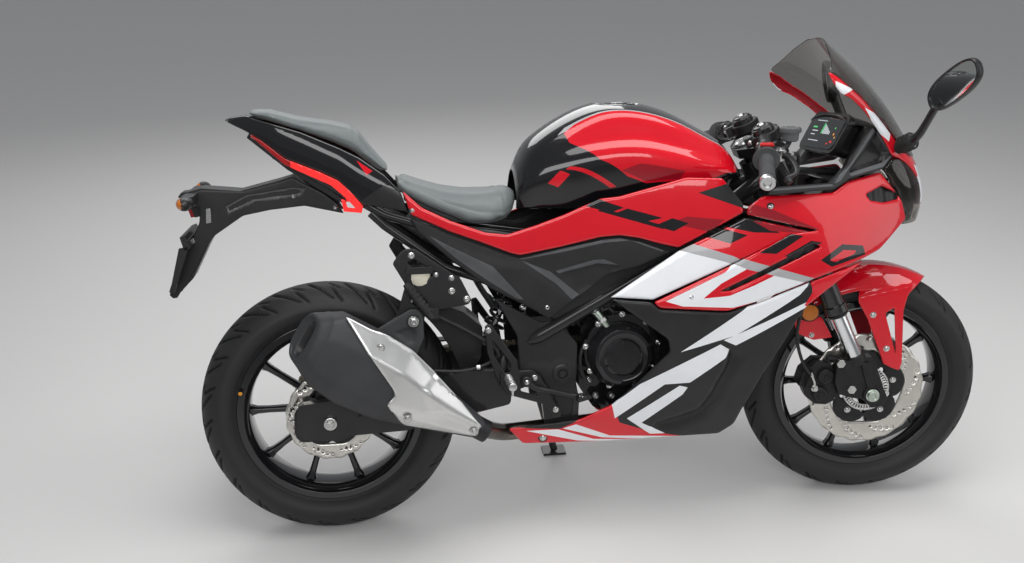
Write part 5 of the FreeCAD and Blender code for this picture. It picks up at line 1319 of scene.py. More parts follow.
dash_centre = Vector((1290, 0, 935))
dash = Piece("instrument", "chassis", satin_black, display_glass, red_glow, amber_light, green_light,
             white_segment)


def on_dash(deep, across, high):
    """A spot on the display's tilted front: forward, left and up from its middle."""
    return dash_centre + tilt @ Vector((deep, across, high))


def rounded_box(piece, near, far, half_width, half_height, radius, finish, taper=1.0):
    """A dash-shaped lump with rounded corners between two depths."""
    outline = []
    for cx, cz, start in ((1, 1, 0), (-1, 1, 90), (-1, -1, 180), (1, -1, 270)):
        for step in range(6):
            angle = math.radians(start + 18 * step)
            outline.append((cx * (half_width - radius) + radius * math.cos(angle),
                            cz * (half_height - radius) + radius * math.sin(angle)))
    piece.loft([[on_dash(deep, a * part, b * part) for a, b in outline]
                for deep, part in ((near, 1.0), (far, taper))], finish, capped=True)


rounded_box(dash, -38, -20, 97, 53, 22, 0, 0.97)
rounded_box(dash, -20, 26, 84, 46, 18, 0, 0.86)
rounded_box(dash, -40, -37.5, 87, 44, 16, 1)
for finish, across, high, wide, tall in (
    (2, -66, -24, 9, 5), (3, -62, -4, 5, 5), (3, -74, -12, 4, 4), (4, -56, 12, 5, 4), (2, -50, -30, 5, 4),
    (5, -34, -2, 5, 8), (5, -26, 0, 5, 12), (5, -18, 2, 5, 16), (5, -10, 4, 5, 20), (5, -2, 6, 5, 24),
    (4, 6, 8, 5, 28), (5, 30, -26, 54, 2), (5, 30, 28, 54, 2), (4, 52, 10, 22, 4), (5, 44, 0, 30, 2.4),
    (5, 48, -10, 22, 2.4),
):
    dash.bar((0.5, wide, tall), on_dash(-40.3, across, high), tilt, finish)
dash.done("instrument_panel", bevel=1.2)

hood = Piece("cockpit_hood", "chassis", satin_black)
rows = ((1268, 0.99, 997), (1300, 0.97, 994), (1345, 0.86, 980), (1392, 0.66, 958), (1418, 0.5, 938))
hood.loft([[(x, 104 * part * t, z - 20 * (abs(t) ** 3) * part) for t in np.linspace(-1, 1, 17)]
           for x, part, z in rows], closed=False)
hood.done(wall=3)


def cockpit_side(spot):
    """The closing panel's plane: it runs in towards the nose."""
    x, z = spot[:, 0], spot[:, 1]
    return np.stack((x, 176 - 0.30 * (x - 1200) - 0.10 * (z - 832) - 14 * np.clip((1215 - x) / 190, 0, 1),
                     z), axis=1)


sunken_field = pressed([(1331, 950), (1370, 908), (1352, 884), (1268, 864), (1252, 868)], -16, 5)
panel(
    "cockpit_panel", "chassis", cockpit_side,
    [(1028, 828), (1208, 830), (1250, 851), (1350, 868), (1384, 900), (1376, 915), (1334, 966), (1318, 972),
     (1288, 930), (1250, 884), (1200, 846), (1050, 846)],
    (satin_black, grey_plastic_and_highlight), fold=2.5, corner=4, step=6, wall=3, relief=sunken_field,
    # The grey strips along the rims, the top lip and the rib are painted highlights.
    painted=[(1, [(1318, 968), (1326, 960), (1224, 848), (1206, 844)]),
             (1, [(1030, 842), (1200, 843), (1206, 838), (1040, 837)]),
             (1, [(1336, 962), (1382, 908), (1376, 900), (1330, 954)]),
             (1, [(1376, 900), (1352, 874), (1256, 858), (1250, 864), (1350, 884)])],
    replaced=("cockpit_panels",),
)
inner_wall = Piece("cockpit_inner", "chassis", satin_black)
for side in (-1, 1):
    rim = [(1040, 842), (1200, 844), (1250, 882), (1290, 930), (1318, 970)]
    outer_line = [Vector(cockpit_side(np.array([spot], float))[0]) for spot in rim]
    inner_line = [Vector((1046, 134, 800)), Vector((1180, 128, 806)), Vector((1262, 100, 872)),
                  Vector((1288, 92, 925)), Vector((1308, 84, 968))]
    inner_wall.loft([[(p.x, side * p.y, p.z) for p in line] for line in (outer_line, inner_line)],
                    closed=False)
inner_wall.done(wall=2)
deck = Piece("cockpit_deck", "chassis", satin_black)
rows = ((1246, 112, 846), (1290, 108, 842), (1350, 92, 834), (1410, 66, 826))
deck.loft([[(x, half * t, z - 8 * (1 - t * t)) for t in np.linspace(-1, 1, 9)] for x, half, z in rows],
          closed=False)
deck.done(wall=2)
nodes["fairing_stay"].data.materials[0] = satin_black

# ---------------------------------------------------------------- front fender
# One injection-moulded red shell over the tyre, cut to a beak in front, with a creased leg each
# side that leaves a three-cornered opening; two bolts a side hold it to the fork's castings.
bolt_steel = surface("bright_bolt_steel", (0.50, 0.50, 0.49), (0.62, 0.62, 0.60), (0.18, 0.3), metal=1.0,
                     mottle=80, grain=2600)


def bolt(piece, place, axis, reach=7.0, finish=1):
    """A button-head socket screw on its flange."""
    piece.turned([(0, 0), (0, reach), (1.2, reach), (1.6, reach * 0.78), (3.6, reach * 0.66),
                  (4.6, reach * 0.45), (4.6, reach * 0.3), (2.2, reach * 0.28), (2.2, 0)], place, axis,
                  steps=20, finish=finish)


arch = Piece("fender_arch", "steering", red_enamel, place=steered)
rings = []
for angle in [-51 + 2.55 * i for i in range(32)]:
    rings.append([])
    narrow = max(0.0, (angle - 18) / 11.2)
    half = 74 * (1 - min(1.0, narrow) ** 1.7) + 0.4
    for i in range(25):
        t = -1 + i / 12
        y = half * t
        reach = 319 - 50 * abs(y / 74) ** 2.2 - 3 * max(0,
                                                        abs(y) - 60) / 14 + 3.5 * math.exp(
                                                            -((abs(y) - 26) / 7) ** 2)
        turn = math.radians(angle)
        rings[-1].append((1375 + reach * math.sin(turn), y, 302 + reach * math.cos(turn)))
arch.loft(rings, closed=False)
arch.done("front_fender", wall=3)


def fender_flank(spot):
    """The leg's outside: flat below its crease, leaning in to the arch above it."""
    x, z = spot[:, 0], spot[:, 1]
    return np.stack((x, 84 - np.maximum(0, z - (553 + 0.22 * (x - 1350))), z), axis=1)


panel(
    "fender_leg", "steering", fender_flank,
    [(1333, 550), (1336, 536), (1361, 493), (1411, 372), (1432, 361), (1452, 353), (1458, 373), (1450, 514),
     (1457, 550), (1467, 572), (1470, 590), (1440, 603), (1394, 604), (1352, 592)],
    # The leg's back takes the darker red, painted shade.
    (red_enamel, shaded_red), holes=[[(1405, 507), (1426, 521), (1440, 398)]], fold=3, corner=4, step=7,
    place=steered,
)
# The tab's back, like the leg's, is painted shade in a darker red.
panel("fender_tab", "steering", beside(80),
      [(1176, 490), (1246, 500), (1266, 466), (1278, 444), (1230, 438), (1189, 456)],
      (red_enamel, shaded_red), fold=3, corner=5, step=8, place=steered)
amber_lens = surface("amber_reflector", (0.46, 0.12, 0.004), (0.56, 0.16, 0.006), (0.1, 0.2), mottle=40,
                     grain=900, height=0.0004, coat=1.0)
trim = Piece("fender_bolts", "steering", satin_black, bolt_steel, amber_lens, place=steered)
for side in (-1, 1):
    out = (0, side, 0)
    for x, z in ((1374, 504), (1415, 414)):
        bolt(trim, (x, side * 83.5, z), out, 8)
    bolt(trim, (1224, side * 79.5, 452), out, 7)
    trim.turned([(0, 0), (0, 24), (7, 24), (9, 22), (9, 0)], (1214, side * 80, 514), out, steps=32)
    trim.turned([(8.5, 0), (8.5, 21), (10.5, 20), (11.5, 0)], (1214, side * 80, 514), out, steps=32,
                finish=2)
trim.done()

# ---------------------------------------------------------------- fork and yokes
# Upside-down fork: black anodised upper tubes clamped in two cast yokes, chromed sliders, and
# black cast feet that carry the axle, the caliper and the fender.
anodised = surface("black_anodised_tube", (0.012, 0.012, 0.013), (0.02, 0.02, 0.021), (0.18, 0.28),
                   mottle=30, grain=2200, height=0.00002, coat=0.4, streak=(1, 1, 0.15))
chrome = surface("hard_chrome", (0.68, 0.69, 0.71), (0.76, 0.77, 0.78), (0.05, 0.1), metal=1.0, mottle=40,
                 grain=1500)
cast_black = surface("painted_casting", (0.008, 0.008, 0.009), (0.015, 0.015, 0.016), (0.34, 0.5),
                     mottle=45, grain=1300, height=0.0002)
zinc = surface("yellow_green_zinc", (0.44, 0.50, 0.44), (0.56, 0.62, 0.55), (0.24, 0.36), metal=1.0,
               mottle=60, grain=1800)


def on_leg(height, side, out=0.0):
    """A point on a fork leg's centre line at a height above the floor."""
    return Vector((1375, side * (100 + out), 302)) + HEAD_LINE * ((height - 302) / HEAD_LINE.z)


fork = Piece("fork", "steering", anodised, chrome, cast_black, bolt_steel, zinc, place=steered)
for side in (-1, 1):
    fork.rod(19, 0, 145, on_leg(392, side), HEAD_LINE, steps=40, finish=1)
    fork.turned([(0, 20), (0, 26), (3, 29), (22, 29), (25, 26), (510, 26), (510, 23.5), (514, 22),
                 (516, 18), (516, 0)],
                on_leg(518, side), HEAD_LINE, steps=48)
    fork.turned([(0, 20.2), (-7, 20.2), (-9, 24), (-2, 28), (0, 28)], on_leg(518, side), HEAD_LINE,
                steps=40, finish=2)
    fork.turned([(516, 0), (516, 11), (521, 10), (521, 0)], on_leg(518, side), HEAD_LINE, steps=6, finish=3)
    fork.turned([(-8, 0), (-8, 22), (0, 24), (14, 23), (18, 20), (18, 0)], on_leg(390, side), HEAD_LINE,
                steps=36, finish=2)
    foot = [(1326, 396), (1368, 404), (1384, 372), (1404, 318), (1416, 292), (1404, 270), (1378, 266),
            (1352, 284), (1340, 330)]
    if side < 0:
        foot = foot[:-2] + [(1350, 290), (1316, 296), (1292, 305), (1280, 336), (1282, 383), (1301, 392)]
    fork.slab(foot, side * 86, side * 116, finish=2)
    fork.slab([(1340, 388), (1362, 390), (1394, 310), (1378, 292), (1366, 306)], side * 116, side * 122,
              finish=2)
    fork.turned([(0, 0), (0, 24), (7, 22), (7, 0)], (1375, side * 115, 302), (0, side, 0), steps=36,
                finish=2)
    fork.turned([(7, 0), (7, 17), (9, 17), (9, 14), (16, 14), (17, 12.5), (17, 7), (11, 6.5), (11, 0)],
                (1375, side * 115, 302), (0, side, 0), steps=6 if side > 0 else 24, finish=4)
for x, z in ((1276, 388), (1308, 318)):
    fork.turned([(0, 0), (0, 12), (6, 12), (7, 10.5), (7, 0)], (x + 14, -116, z), (0, -1, 0), steps=6,
                finish=3)
fork.done("fork_legs", bevel=1.6)
for name in ("lower_yoke", "upper_yoke"):
    nodes[name].data.materials[0] = cast_black
yokes = Piece("yoke_fittings", "steering", cast_black, bolt_steel, anodised, chrome, place=steered)
stem_top = HEAD_FOOT + HEAD_LINE * ((920 - HEAD_FOOT.z) / HEAD_LINE.z)
yokes.turned([(12, 0), (12, 26), (15, 27), (20, 25), (24, 19), (24, 9), (16, 8), (16, 0)], stem_top,
             HEAD_LINE, steps=32, finish=1)
yokes.collar(27, 33, 12, 14, stem_top, HEAD_LINE, steps=32)
key = stem_top + AHEAD_OF_HEAD * 66 + HEAD_LINE * 6
yokes.turned([(0, 0), (0, 26), (16, 24), (18, 19), (18, 0)], key, HEAD_LINE, steps=32)
yokes.turned([(18, 0), (18, 14), (19.5, 13), (19.5, 0)], key, HEAD_LINE, steps=32, finish=3)
yokes.done(bevel=0.8)

# ---------------------------------------------------------------- brakes
# Stainless wave discs, drilled in diagonal groups, on black carriers; the front one has the
# slotted speed ring inside it.  Black sliding calipers, the front one fed by the hose down the fork.
disc_steel = surface("ground_stainless", (0.56, 0.54, 0.50), (0.66, 0.64, 0.59), (0.26, 0.36), metal=1.0,
                     mottle=26, grain=2000)


def round_hole(reach, angle, size, count=8):
    """A circle of points at a polar place on a disc."""
    x, z = reach * math.sin(angle), reach * math.cos(angle)
    return [(x + size * math.sin(math.tau * i / count), z + size * math.cos(math.tau * i / count))
            for i in range(count)]


def polar(radius_at, count):
    """A closed outline from its radius at each angle."""
    turns = [math.tau * i / count for i in range(count)]
    return [(radius_at(a) * math.sin(a), radius_at(a) * math.cos(a)) for a in turns]


def wave_disc(name, body, centre, y, outer, ring, carrier, hub, arms, waves, place, replaced):
    """A drilled disc and its carrier, both flat plates cut to wavy outlines about the axle."""
    drilled = []
    for wave in range(waves):
        for step in range(5):
            reach = outer - 13 - step * (outer - ring - 24) / 4
            drilled.append(round_hole(reach, math.tau * (wave + 0.17 * step) / waves, 3.4))
    panel(name, body, beside(y - 2.4, centre), polar(lambda a: outer - 1.5 - 3.2 * math.cos(waves * a) ** 2,
                                                     150), (disc_steel,),
          holes=drilled + [polar(lambda a: ring - 2 + 3 * math.cos(arms * a), 60)], sides=(0,), fold=0,
          step=9, wall=4.6, place=place, facing=(0, -1, 0), flat=True, replaced=(replaced,))
    slots = [round_hole((carrier + hub) / 2 - 2, math.tau * (i + 0.5) / arms, 10, 10) for i in range(arms)]
    panel(name + "_carrier", body, beside(y - 5, centre),
          polar(lambda a: carrier + (ring - carrier + 3) * abs(math.cos(arms * a / 2)) ** 0.7, 90),
          (cast_black,), holes=slots + [polar(lambda a: hub, 32)], sides=(0,), fold=0, step=9, wall=6,
          place=place, facing=(0, -1, 0), flat=True)
    studs = Piece(name + "_bolts", body, satin_black, bolt_steel, place=place)
    for arm in range(arms):
        angle = math.tau * arm / arms
        bolt(studs, (centre.x + (carrier - 4) * math.sin(angle), y - 5,
                     centre.z + (carrier - 4) * math.cos(angle)), (0, -1, 0), 8)
        studs.collar(4, 7, 0, 5.6, (centre.x + ring * math.sin(angle), y + 3,
                                    centre.z + ring * math.cos(angle)),
                     (0, -1, 0), steps=20, finish=1)
    studs.done()


wave_disc("disc_front", "front_wheel", FRONT_AXLE, -66, 150, 99, 76, 44, 5, 10, steered, "front_disc")
speed_ring = [[((46 + 9 * far) * math.sin(a + w), (46 + 9 * far) * math.cos(a + w)) for far, w in
               ((0, -0.026), (0, 0.026), (1, 0.022), (1, -0.022))]
               for a in [math.tau * i / 44 for i in range(44)]]
panel("speed_ring", "front_wheel", beside(-74, FRONT_AXLE),
      polar(lambda a: 60, 88), (bolt_steel,), holes=speed_ring + [polar(lambda a: 42, 44)], sides=(0,),
      fold=0, step=12, wall=1.6, place=steered, facing=(0, -1, 0), flat=True)
wave_disc("disc_rear", "rear_wheel", REAR_AXLE, -84, 110, 74, 58, 36, 5, 8, parked, "rear_disc")

caliper = Piece("caliper_front", "steering", cast_black, bolt_steel, foot_rubber, place=steered)
body_line = [(1199, 332), (1212, 361), (1238, 385), (1273, 382), (1291, 357), (1297, 314), (1290, 276),
             (1270, 266), (1240, 268), (1214, 290)]
caliper.slab([(1222 + (x - 1222) * 0.97, 330 + (z - 330) * 0.97) for x, z in body_line], -72, -92)
caliper.slab(body_line[:4] + [(1262, 350), (1240, 300), (1222, 282)], -40, -58)
caliper.slab([(1196, 320), (1206, 356), (1222, 372), (1230, 360), (1214, 316)], -40, -92)
for x, z, size in ((1262, 346, 21), (1250, 300, 19)):
    caliper.turned([(0, 0), (0, size), (9, size), (12, size - 3), (12, size - 8), (10, size - 9), (10, 0)],
                   (x, -91, z), (0, -1, 0), steps=36)
    caliper.turned([(10, 0), (10, 6), (11.5, 5), (11.5, 0)], (x, -91, z), (0, -1, 0), steps=6)
caliper.slab([(1286, 352), (1300, 372), (1312, 362), (1310, 300), (1296, 296), (1288, 316)], -80, -100)
caliper.pipe([(1300, -92, 380), (1286, -92, 392), (1262, -92, 396)], 7, steps=14, finish=2)
caliper.turned([(0, 0), (0, 9), (2, 10), (6, 10), (8, 8), (8, 0)], (1236, -92, 314), (0, -1, 0), steps=20,
               finish=1)
caliper.rod(6.5, 8, 13, (1236, -92, 314), (0, -1, 0), steps=6, finish=1)
caliper.pipe([(1236, -97, 318), (1234, -98, 332), (1226, -100, 350)], 3.6, steps=12, finish=1)
caliper.collar(4, 5.2, -6, 6, Vector((1224, -100.6, 354)), (-0.5, -0.1, 0.86), steps=16, finish=1)
HOSE_ROUTE = [(1226, -100, 350), (1207, -108, 372), (1190, -114, 405), (1176, -122, 450), (1172, -134, 500),
              (1186, -144, 590), (1190, -148, 660), (1171, -149, 756), (1146, -129, 838), (1146, -134, 880),
              (1132, -176, 925), (1116, -186, 931)]
caliper.pipe(HOSE_ROUTE, 4.2, steps=12, finish=2, smooth=8)
caliper.done("front_caliper", bevel=2.2, segments=3)

rear_grip = Piece("caliper_rear", "chassis", cast_black, bolt_steel, foot_rubber)
rear_line = [(58, 398), (74, 440), (128, 430), (138, 386), (104, 366)]
rear_grip.slab(rear_line, -88.6, -103)
rear_grip.slab([(62, 402), (76, 438), (126, 428), (134, 390)], -66, -79.4)
rear_grip.slab([(66, 418), (76, 440), (126, 430), (130, 416)], -79.4, -88.6)
rear_grip.turned([(0, 0), (0, 17), (7, 17), (9, 14), (9, 0)], (100, -102, 402), (0, -1, 0), steps=32)
bolt(rear_grip, (78, -103, 418), (0, -1, 0), 7)
bolt(rear_grip, (122, -103, 396), (0, -1, 0), 7)
rear_grip.done("rear_caliper", bevel=2, segments=3)

# ---------------------------------------------------------------- handlebars and controls
# Steel clip-on bars clamped to the fork tubes, with ribbed grey rubber grips, turned alloy end
# weights and moulded switch cases; cast levers pivot in split clamps, the brake's with its fluid pot.
grip_rubber = surface("grip_rubber", (0.050, 0.051, 0.053), (0.072, 0.073, 0.075), (0.55, 0.7), mottle=30,
                      grain=1500, height=0.00025)
turned_alloy = surface("turned_alloy", (0.50, 0.50, 0.50), (0.60, 0.60, 0.60), (0.22, 0.34), metal=1.0,
                       mottle=40, grain=2400, height=0.00003)
red_button = surface("red_button", (0.45, 0.01, 0.01), (0.52, 0.014, 0.012), (0.3, 0.4), grain=1600,
                     height=0.00004)
for side, word, hand in ((-1, "right", "brake_lever"), (1, "left", "clutch_lever")):
    root, tip = Vector((1073.8, side * 100, 963)), Vector((1016, side * 352, 896))
    run = (tip - root).normalized()
    over = (Vector((0, 0, 1)) - run * run.z).normalized()
    fore = (Vector((1, 0, 0)) - run * run.x - over * over.x).normalized()
    aligned = Matrix((fore, run, over)).transposed()

    def on_bar(along, ahead=0.0, high=0.0):
        """A point beside the bar's centre line."""
        return root + run * along + fore * ahead + over * high

    bars = Piece("bars_" + word, "steering", cast_black, grip_rubber, turned_alloy, satin_black, bolt_steel,
                 red_button, place=steered)
    bars.turned([(-15, 26.1), (-15, 35), (-13, 37), (9, 37), (11, 35), (11, 26.1)], root - HEAD_LINE * 2,
                HEAD_LINE, steps=40)
    bars.pipe([on_bar(30), on_bar(46), on_bar(64)], (18, 16, 12.5), steps=20)
    bars.pipe([on_bar(40), on_bar(264)], 11, steps=20)
    bars.bar((20, 16, 24), root - AHEAD_OF_HEAD * 40, Matrix.Rotation(-RAKE, 3, "Y"))
    bolt(bars, root - AHEAD_OF_HEAD * 40 + Vector((0, side * 8, 0)), (0, side, 0), 6, 4)
    ribs = []
    for i in range(21):
        ribs += [(151 + 5 * i, 16.0), (151.7 + 5 * i, 17.4), (154.3 + 5 * i, 17.4), (155 + 5 * i, 16.0)]
    bars.turned([(145, 12), (145, 29), (147, 31), (149, 29), (150, 19)] + ribs
                + [(257, 18.6), (260, 18.6), (261, 12)], root, run, steps=40, finish=1)
    bars.turned([(262, 0), (262, 16), (264, 17.4), (277, 17.4), (279, 16), (279, 9), (273, 8.4), (273, 0)],
                root, run, steps=36, finish=2)
    rings = []
    for along, wide, tall in ((84, 15, 15), (86, 19, 20), (92, 21, 22), (105, 21.6, 22.6),
                              (105.6, 20.6, 21.6), (107, 20.6, 21.6), (107.6, 21.6, 22.6), (122, 21, 21.6),
                              (129, 18.5, 19.4), (132, 14, 14)):
        rings.append([])
        for step in range(28):
            ahead, high = squared(math.tau * step / 28, 3.4)
            rings[-1].append(on_bar(along, wide * ahead, tall * high))
    bars.loft(rings, 3, capped=True)
    bars.bar((32, 13, 5), on_bar(114, 1, 23.5), aligned, 5 if side < 0 else 3, 0.86)
    bars.bar((8, 11, 3), on_bar(114, 8, 26), aligned, 5 if side < 0 else 3, 0.8)
    bars.turned([(0, 0), (0, 7.4), (3, 7.4), (4.6, 6), (4.6, 0)], on_bar(112, -20, -4), -fore, steps=24,
                finish=3)
    bars.bar((4, 14, 9), on_bar(96, -21.5, 6), aligned, 3, 0.8)
    bars.turned([(0, 0), (0, 4), (2, 3.4), (2, 0)], on_bar(98, 4, -22), -over, steps=14, finish=4)
    bars.pipe([on_bar(86, 8, 6), on_bar(66, 26, 10), Vector((1126, side * 98, 934)),
               Vector((1150, side * 64, 882)), Vector((1158, side * 44, 830)),
               Vector((1150, side * 40, 776))], 3.4, steps=10, finish=3, smooth=6)
    bars.done(*(("handlebars",) if side < 0 else ()), bevel=0.9)

    pivot = root + run * 92 + Vector((26, 0, -6))
    lever = Piece("lever_" + word, "steering", satin_black, turned_alloy, bolt_steel, grey_plastic_and_highlight,
                  foot_rubber, place=steered)
    lever.turned([(-8, 11.2), (-8, 16.6), (-6, 18), (6, 18), (8, 16.6), (8, 11.2)], on_bar(74), run,
                 steps=32)
    lever.bar((30, 24, 20), pivot - run * 8 + Vector((-4, 0, 0)), aligned, 0, 0.84)
    lever.bar((24, 22, 9), pivot + run * 8 + Vector((6, 0, 8)), aligned, 1, 0.9)
    lever.bar((22, 20, 6), pivot + run * 8 + Vector((6, 0, -9)), aligned, 1, 0.9)
    lever.turned([(-14, 0), (-14, 7.6), (12, 7.6), (14, 6), (14, 3.4), (12, 3), (12, 0)],
                 pivot + run * 14 + Vector((8, 0, 0)), over, steps=6, finish=2)
    lever.pipe([pivot + run * 4 + Vector((4, 0, 0)), pivot + run * 26 + Vector((22, 0, 0)),
                pivot + run * 60 + Vector((35, 0, 0)), pivot + run * 112 + Vector((40, 0, -1)),
                tip + Vector((54, -side * 44, -2)), tip + Vector((53, -side * 24, -4)),
                tip + Vector((52, -side * 16, -4)), tip + Vector((52, -side * 9, -4))],
               (10, 8.4, 7.4, 6.6, 6.2, 8.2, 8.2, 3.5), steps=16, finish=0, smooth=5, squash=0.74)
    for height in (-7, 7):
        bolt(lever, on_bar(74, -17, height), -fore, 4.6, 2)
    if side < 0:
        pot = pivot + Vector((36, 26, 38))
        lever.turned([(-16, 0), (-16, 15), (-13, 18.6), (4, 20), (4, 22.6), (6, 23.6), (15, 23.6), (17, 22),
                      (17, 0)], pot, (0, 0, 1),
                     steps=48, finish=3)
        for i in range(28):
            turn = Matrix.Rotation(math.tau * i / 28, 3, "Z")
            lever.bar((1.6, 2.6, 8.4), pot + turn @ Vector((23.9, 0, 10.4)), turn, 3)
        for spot in ((13, 0, 0), (-13, 0, 0)):
            lever.turned([(17, 0), (17, 2.6), (18.2, 2.2), (18.2, 0)], pot + Vector(spot), (0, 0, 1),
                         steps=12, finish=2)
        lever.pipe([pivot + Vector((14, 8, 4)), pivot + Vector((26, 16, 12)), pot + Vector((0, 0, -14))], 6,
                   steps=12, finish=4, smooth=4)
        lever.collar(4, 7.5, -3, 3, Vector((1112, -186, 931)), (0, 0, 1), steps=20, finish=2)
    lever.done(hand, bevel=1.2)

# ---------------------------------------------------------------- bodywork screws
# Button-head screws in black plastic cups: two on each fairing, one on the belly, two on each
# side cover.
cover_screws = Piece("cover_screws", "chassis", satin_black, bolt_steel)
for side in (-1, 1):
    for skin, x, z, sunk, size in ((side_skin, 522, 573, 3, 7.5), (fairing_skin, 1043, 798, 0, 6),
                                   (fairing_skin, 851, 595, 4, 8.5), (fairing_skin, 512, 240, 0, 8.5),
                                   (side_skin, 214, 812, 1, 6)):
        if side > 0 and z < 300:
            continue
        y = float(skin(np.array([float(x)]), np.array([float(z)]))[0]) - sunk
        cover_screws.turned([(-6, 0), (-6, size + 3.6), (0.6, size + 3.2), (0.6, size)], (x, side * y, z),
                            (0, side, 0), steps=28)
        cover_screws.turned([(0, 0), (0, size), (1.2, size), (1.8, size * 0.8), (3.6, size * 0.66),
                             (4.4, size * 0.44), (4.4, size * 0.3), (2, size * 0.28), (2, 0)],
                             (x, side * y, z), (0, side, 0), steps=24, finish=1)
cover_screws.done()

# ---------------------------------------------------------------- exhaust
# A stainless header runs under the engine to a silencer of welded shells in matt heat-proof paint,
# its outlet a slot in the end cap; a satin stainless shield with pressed creases is screwed over it.
muffler_paint = surface("muffler_paint", (0.030, 0.031, 0.033), (0.043, 0.044, 0.047), (0.44, 0.58),
                        mottle=9, grain=1500, height=0.00008)
satin_stainless = surface("satin_stainless", (0.60, 0.60, 0.59), (0.70, 0.70, 0.69), (0.27, 0.38),
                          metal=1.0, mottle=7, grain=2400, height=0.00003)
heat_steel = surface("heat_tinted_steel", (0.10, 0.085, 0.07), (0.19, 0.17, 0.15), (0.24, 0.4), metal=1.0,
                     mottle=12, grain=1200, height=0.00003)
CAN_FRONT = Vector((348, -190, 300))
CAN_RUN = (Vector((-66, -198, 557)) - CAN_FRONT).normalized()
CAN_UP = Vector((0, 1, 0)).cross(CAN_RUN).normalized()
CAN_ROWS = np.array(((0, 24, 24, 52), (150, 57, 70, 92), (235, 88, 92, 108), (330, 94, 100, 112),
                     (420, 92, 88, 106), (486, 58, 60, 84)))


def can_ring(distance, wide=1.0, tall=1.0, slant=0.0):
    """One cross-section of the silencer: eight sides with rounded corners, slanted at the end."""
    up, down, width = [np.interp(distance, CAN_ROWS[:, 0], CAN_ROWS[:, i]) for i in (1, 2, 3)]
    half, ring = width / 2, []
    corners = [Vector(corner) for corner in ((half, up * 0.5), (half * 0.56, up), (-half * 0.56, up),
                                             (-half, up * 0.5), (-half, -down * 0.55), (-half * 0.5, -down),
                                             (half * 0.5, -down), (half, -down * 0.55))]
    for i, corner in enumerate(corners):
        before, after = corners[i - 1] - corner, corners[(i + 1) % 8] - corner
        start = corner + before.normalized() * min(15, 0.42 * before.length)
        stop = corner + after.normalized() * min(15, 0.42 * after.length)
        for t in (0, 0.25, 0.5, 0.75, 1):
            spot = start * (1 - t) ** 2 + corner * 2 * t * (1 - t) + stop * t**2
            run = distance - slant * (half - spot.x * wide)
            ring.append(CAN_FRONT + CAN_RUN * run + Vector((0, spot.x * wide, 0)) + CAN_UP * spot.y * tall)
    return ring


can = Piece("silencer", "chassis", muffler_paint, satin_black, bolt_steel)
rows = [(d, 1, 1) for d in (0, 20, 60, 100, 150, 180, 210, 235, 265, 300, 330, 360, 390, 420, 446)]
rows = [(*row, 0.3 * max(0, row[0] - 390) / 56) for row in rows]
rows += [(449, 1.014, 1.012, 0.32), (454, 1.014, 1.012, 0.36), (457, 1, 1, 0.38), (478, 1, 1, 0.5),
         (484, 0.97, 0.975, 0.52), (486, 0.92, 0.94, 0.52), (486, 0.80, 0.86, 0.52),
         (483, 0.74, 0.83, 0.52), (483, 0.40, 0.74, 0.52), (480, 0.36, 0.72, 0.52)]
can.loft([can_ring(*row) for row in rows])
outlet_floor = can_ring(440, 0.34, 0.70, 0.52)
can.loft([can_ring(*rows[-1]), outlet_floor], 1)
can.add(outlet_floor, [tuple(range(len(outlet_floor)))], 1)
can.turned([(-22, 20), (-22, 25), (-20, 27), (6, 27), (8, 25), (8, 20)], CAN_FRONT, CAN_RUN, steps=40,
           finish=1)
can.done("muffler", bevel=0, angle=40)
nodes["exhaust_header"].data.materials[0] = heat_steel


def shield_face(spot):
    """The silencer's outer side, 6 mm out, over its side view."""
    over_x, over_z = spot[:, 0] - CAN_FRONT.x, spot[:, 1] - CAN_FRONT.z
    run = over_x * CAN_RUN.x + over_z * CAN_RUN.z
    high = over_x * CAN_UP.x + over_z * CAN_UP.z
    up, down, width = [np.interp(run, CAN_ROWS[:, 0], CAN_ROWS[:, i]) for i in (1, 2, 3)]
    drawn = (0.44 * np.clip(high / (0.5 * up) - 1, 0, 1.1)
             + 0.5 * np.clip(-high / (0.45 * down) - 0.55 / 0.45, 0, 1.1))
    half = width / 2 * (1 - drawn) + 6
    return np.stack((spot[:, 0], CAN_FRONT.y + CAN_RUN.y * run - half, spot[:, 1]), axis=1)


def shield_creases(x, z):
    """The pressed step above the lower lip, and the raised hip over the pipe's bend."""
    lip = np.interp(x, (137, 211, 269, 343), (391, 363, 360, 317))
    hip = np.interp(z, (360, 381, 419, 444, 500), (224, 221, 213, 240, 300))
    return (-3.5 * np.clip((lip - z) / 12, 0, 1)
            + 4 * np.clip((x - hip) / 16, 0, 1) * np.clip((z - lip) / 6 + 1, 0, 1))


panel("silencer_shield", "chassis", shield_face,
      [(49, 597), (60, 593), (101, 568), (144, 546), (196, 510), (243, 457), (300, 385), (343, 326),
       (352, 314), (330, 284), (170, 326), (160, 336), (133, 390), (137, 398), (152, 412), (148, 426),
       (104, 500)],
      (satin_stainless, bolt_steel), sides=(0,), facing=(0, -1, 0), fold=5, corner=7, step=7, wall=1.6,
      relief=shield_creases, fold_depth=0.7, replaced=("muffler_shield",))
shield_screws = Piece("shield_screws", "chassis", satin_black, bolt_steel)
for x, z, sunk in ((124, 524, 0), (178, 355, 3), (332, 305, 0)):
    spot = Vector(shield_face(np.array([[x, z]], float))[0]) - Vector((0, 0.5 + sunk, 0))
    shield_screws.collar(6, 10, -1, 1, spot, (0, -1, 0), steps=28, finish=1)
    bolt(shield_screws, spot, (0, -1, 0), 7.5)
shield_screws.done()

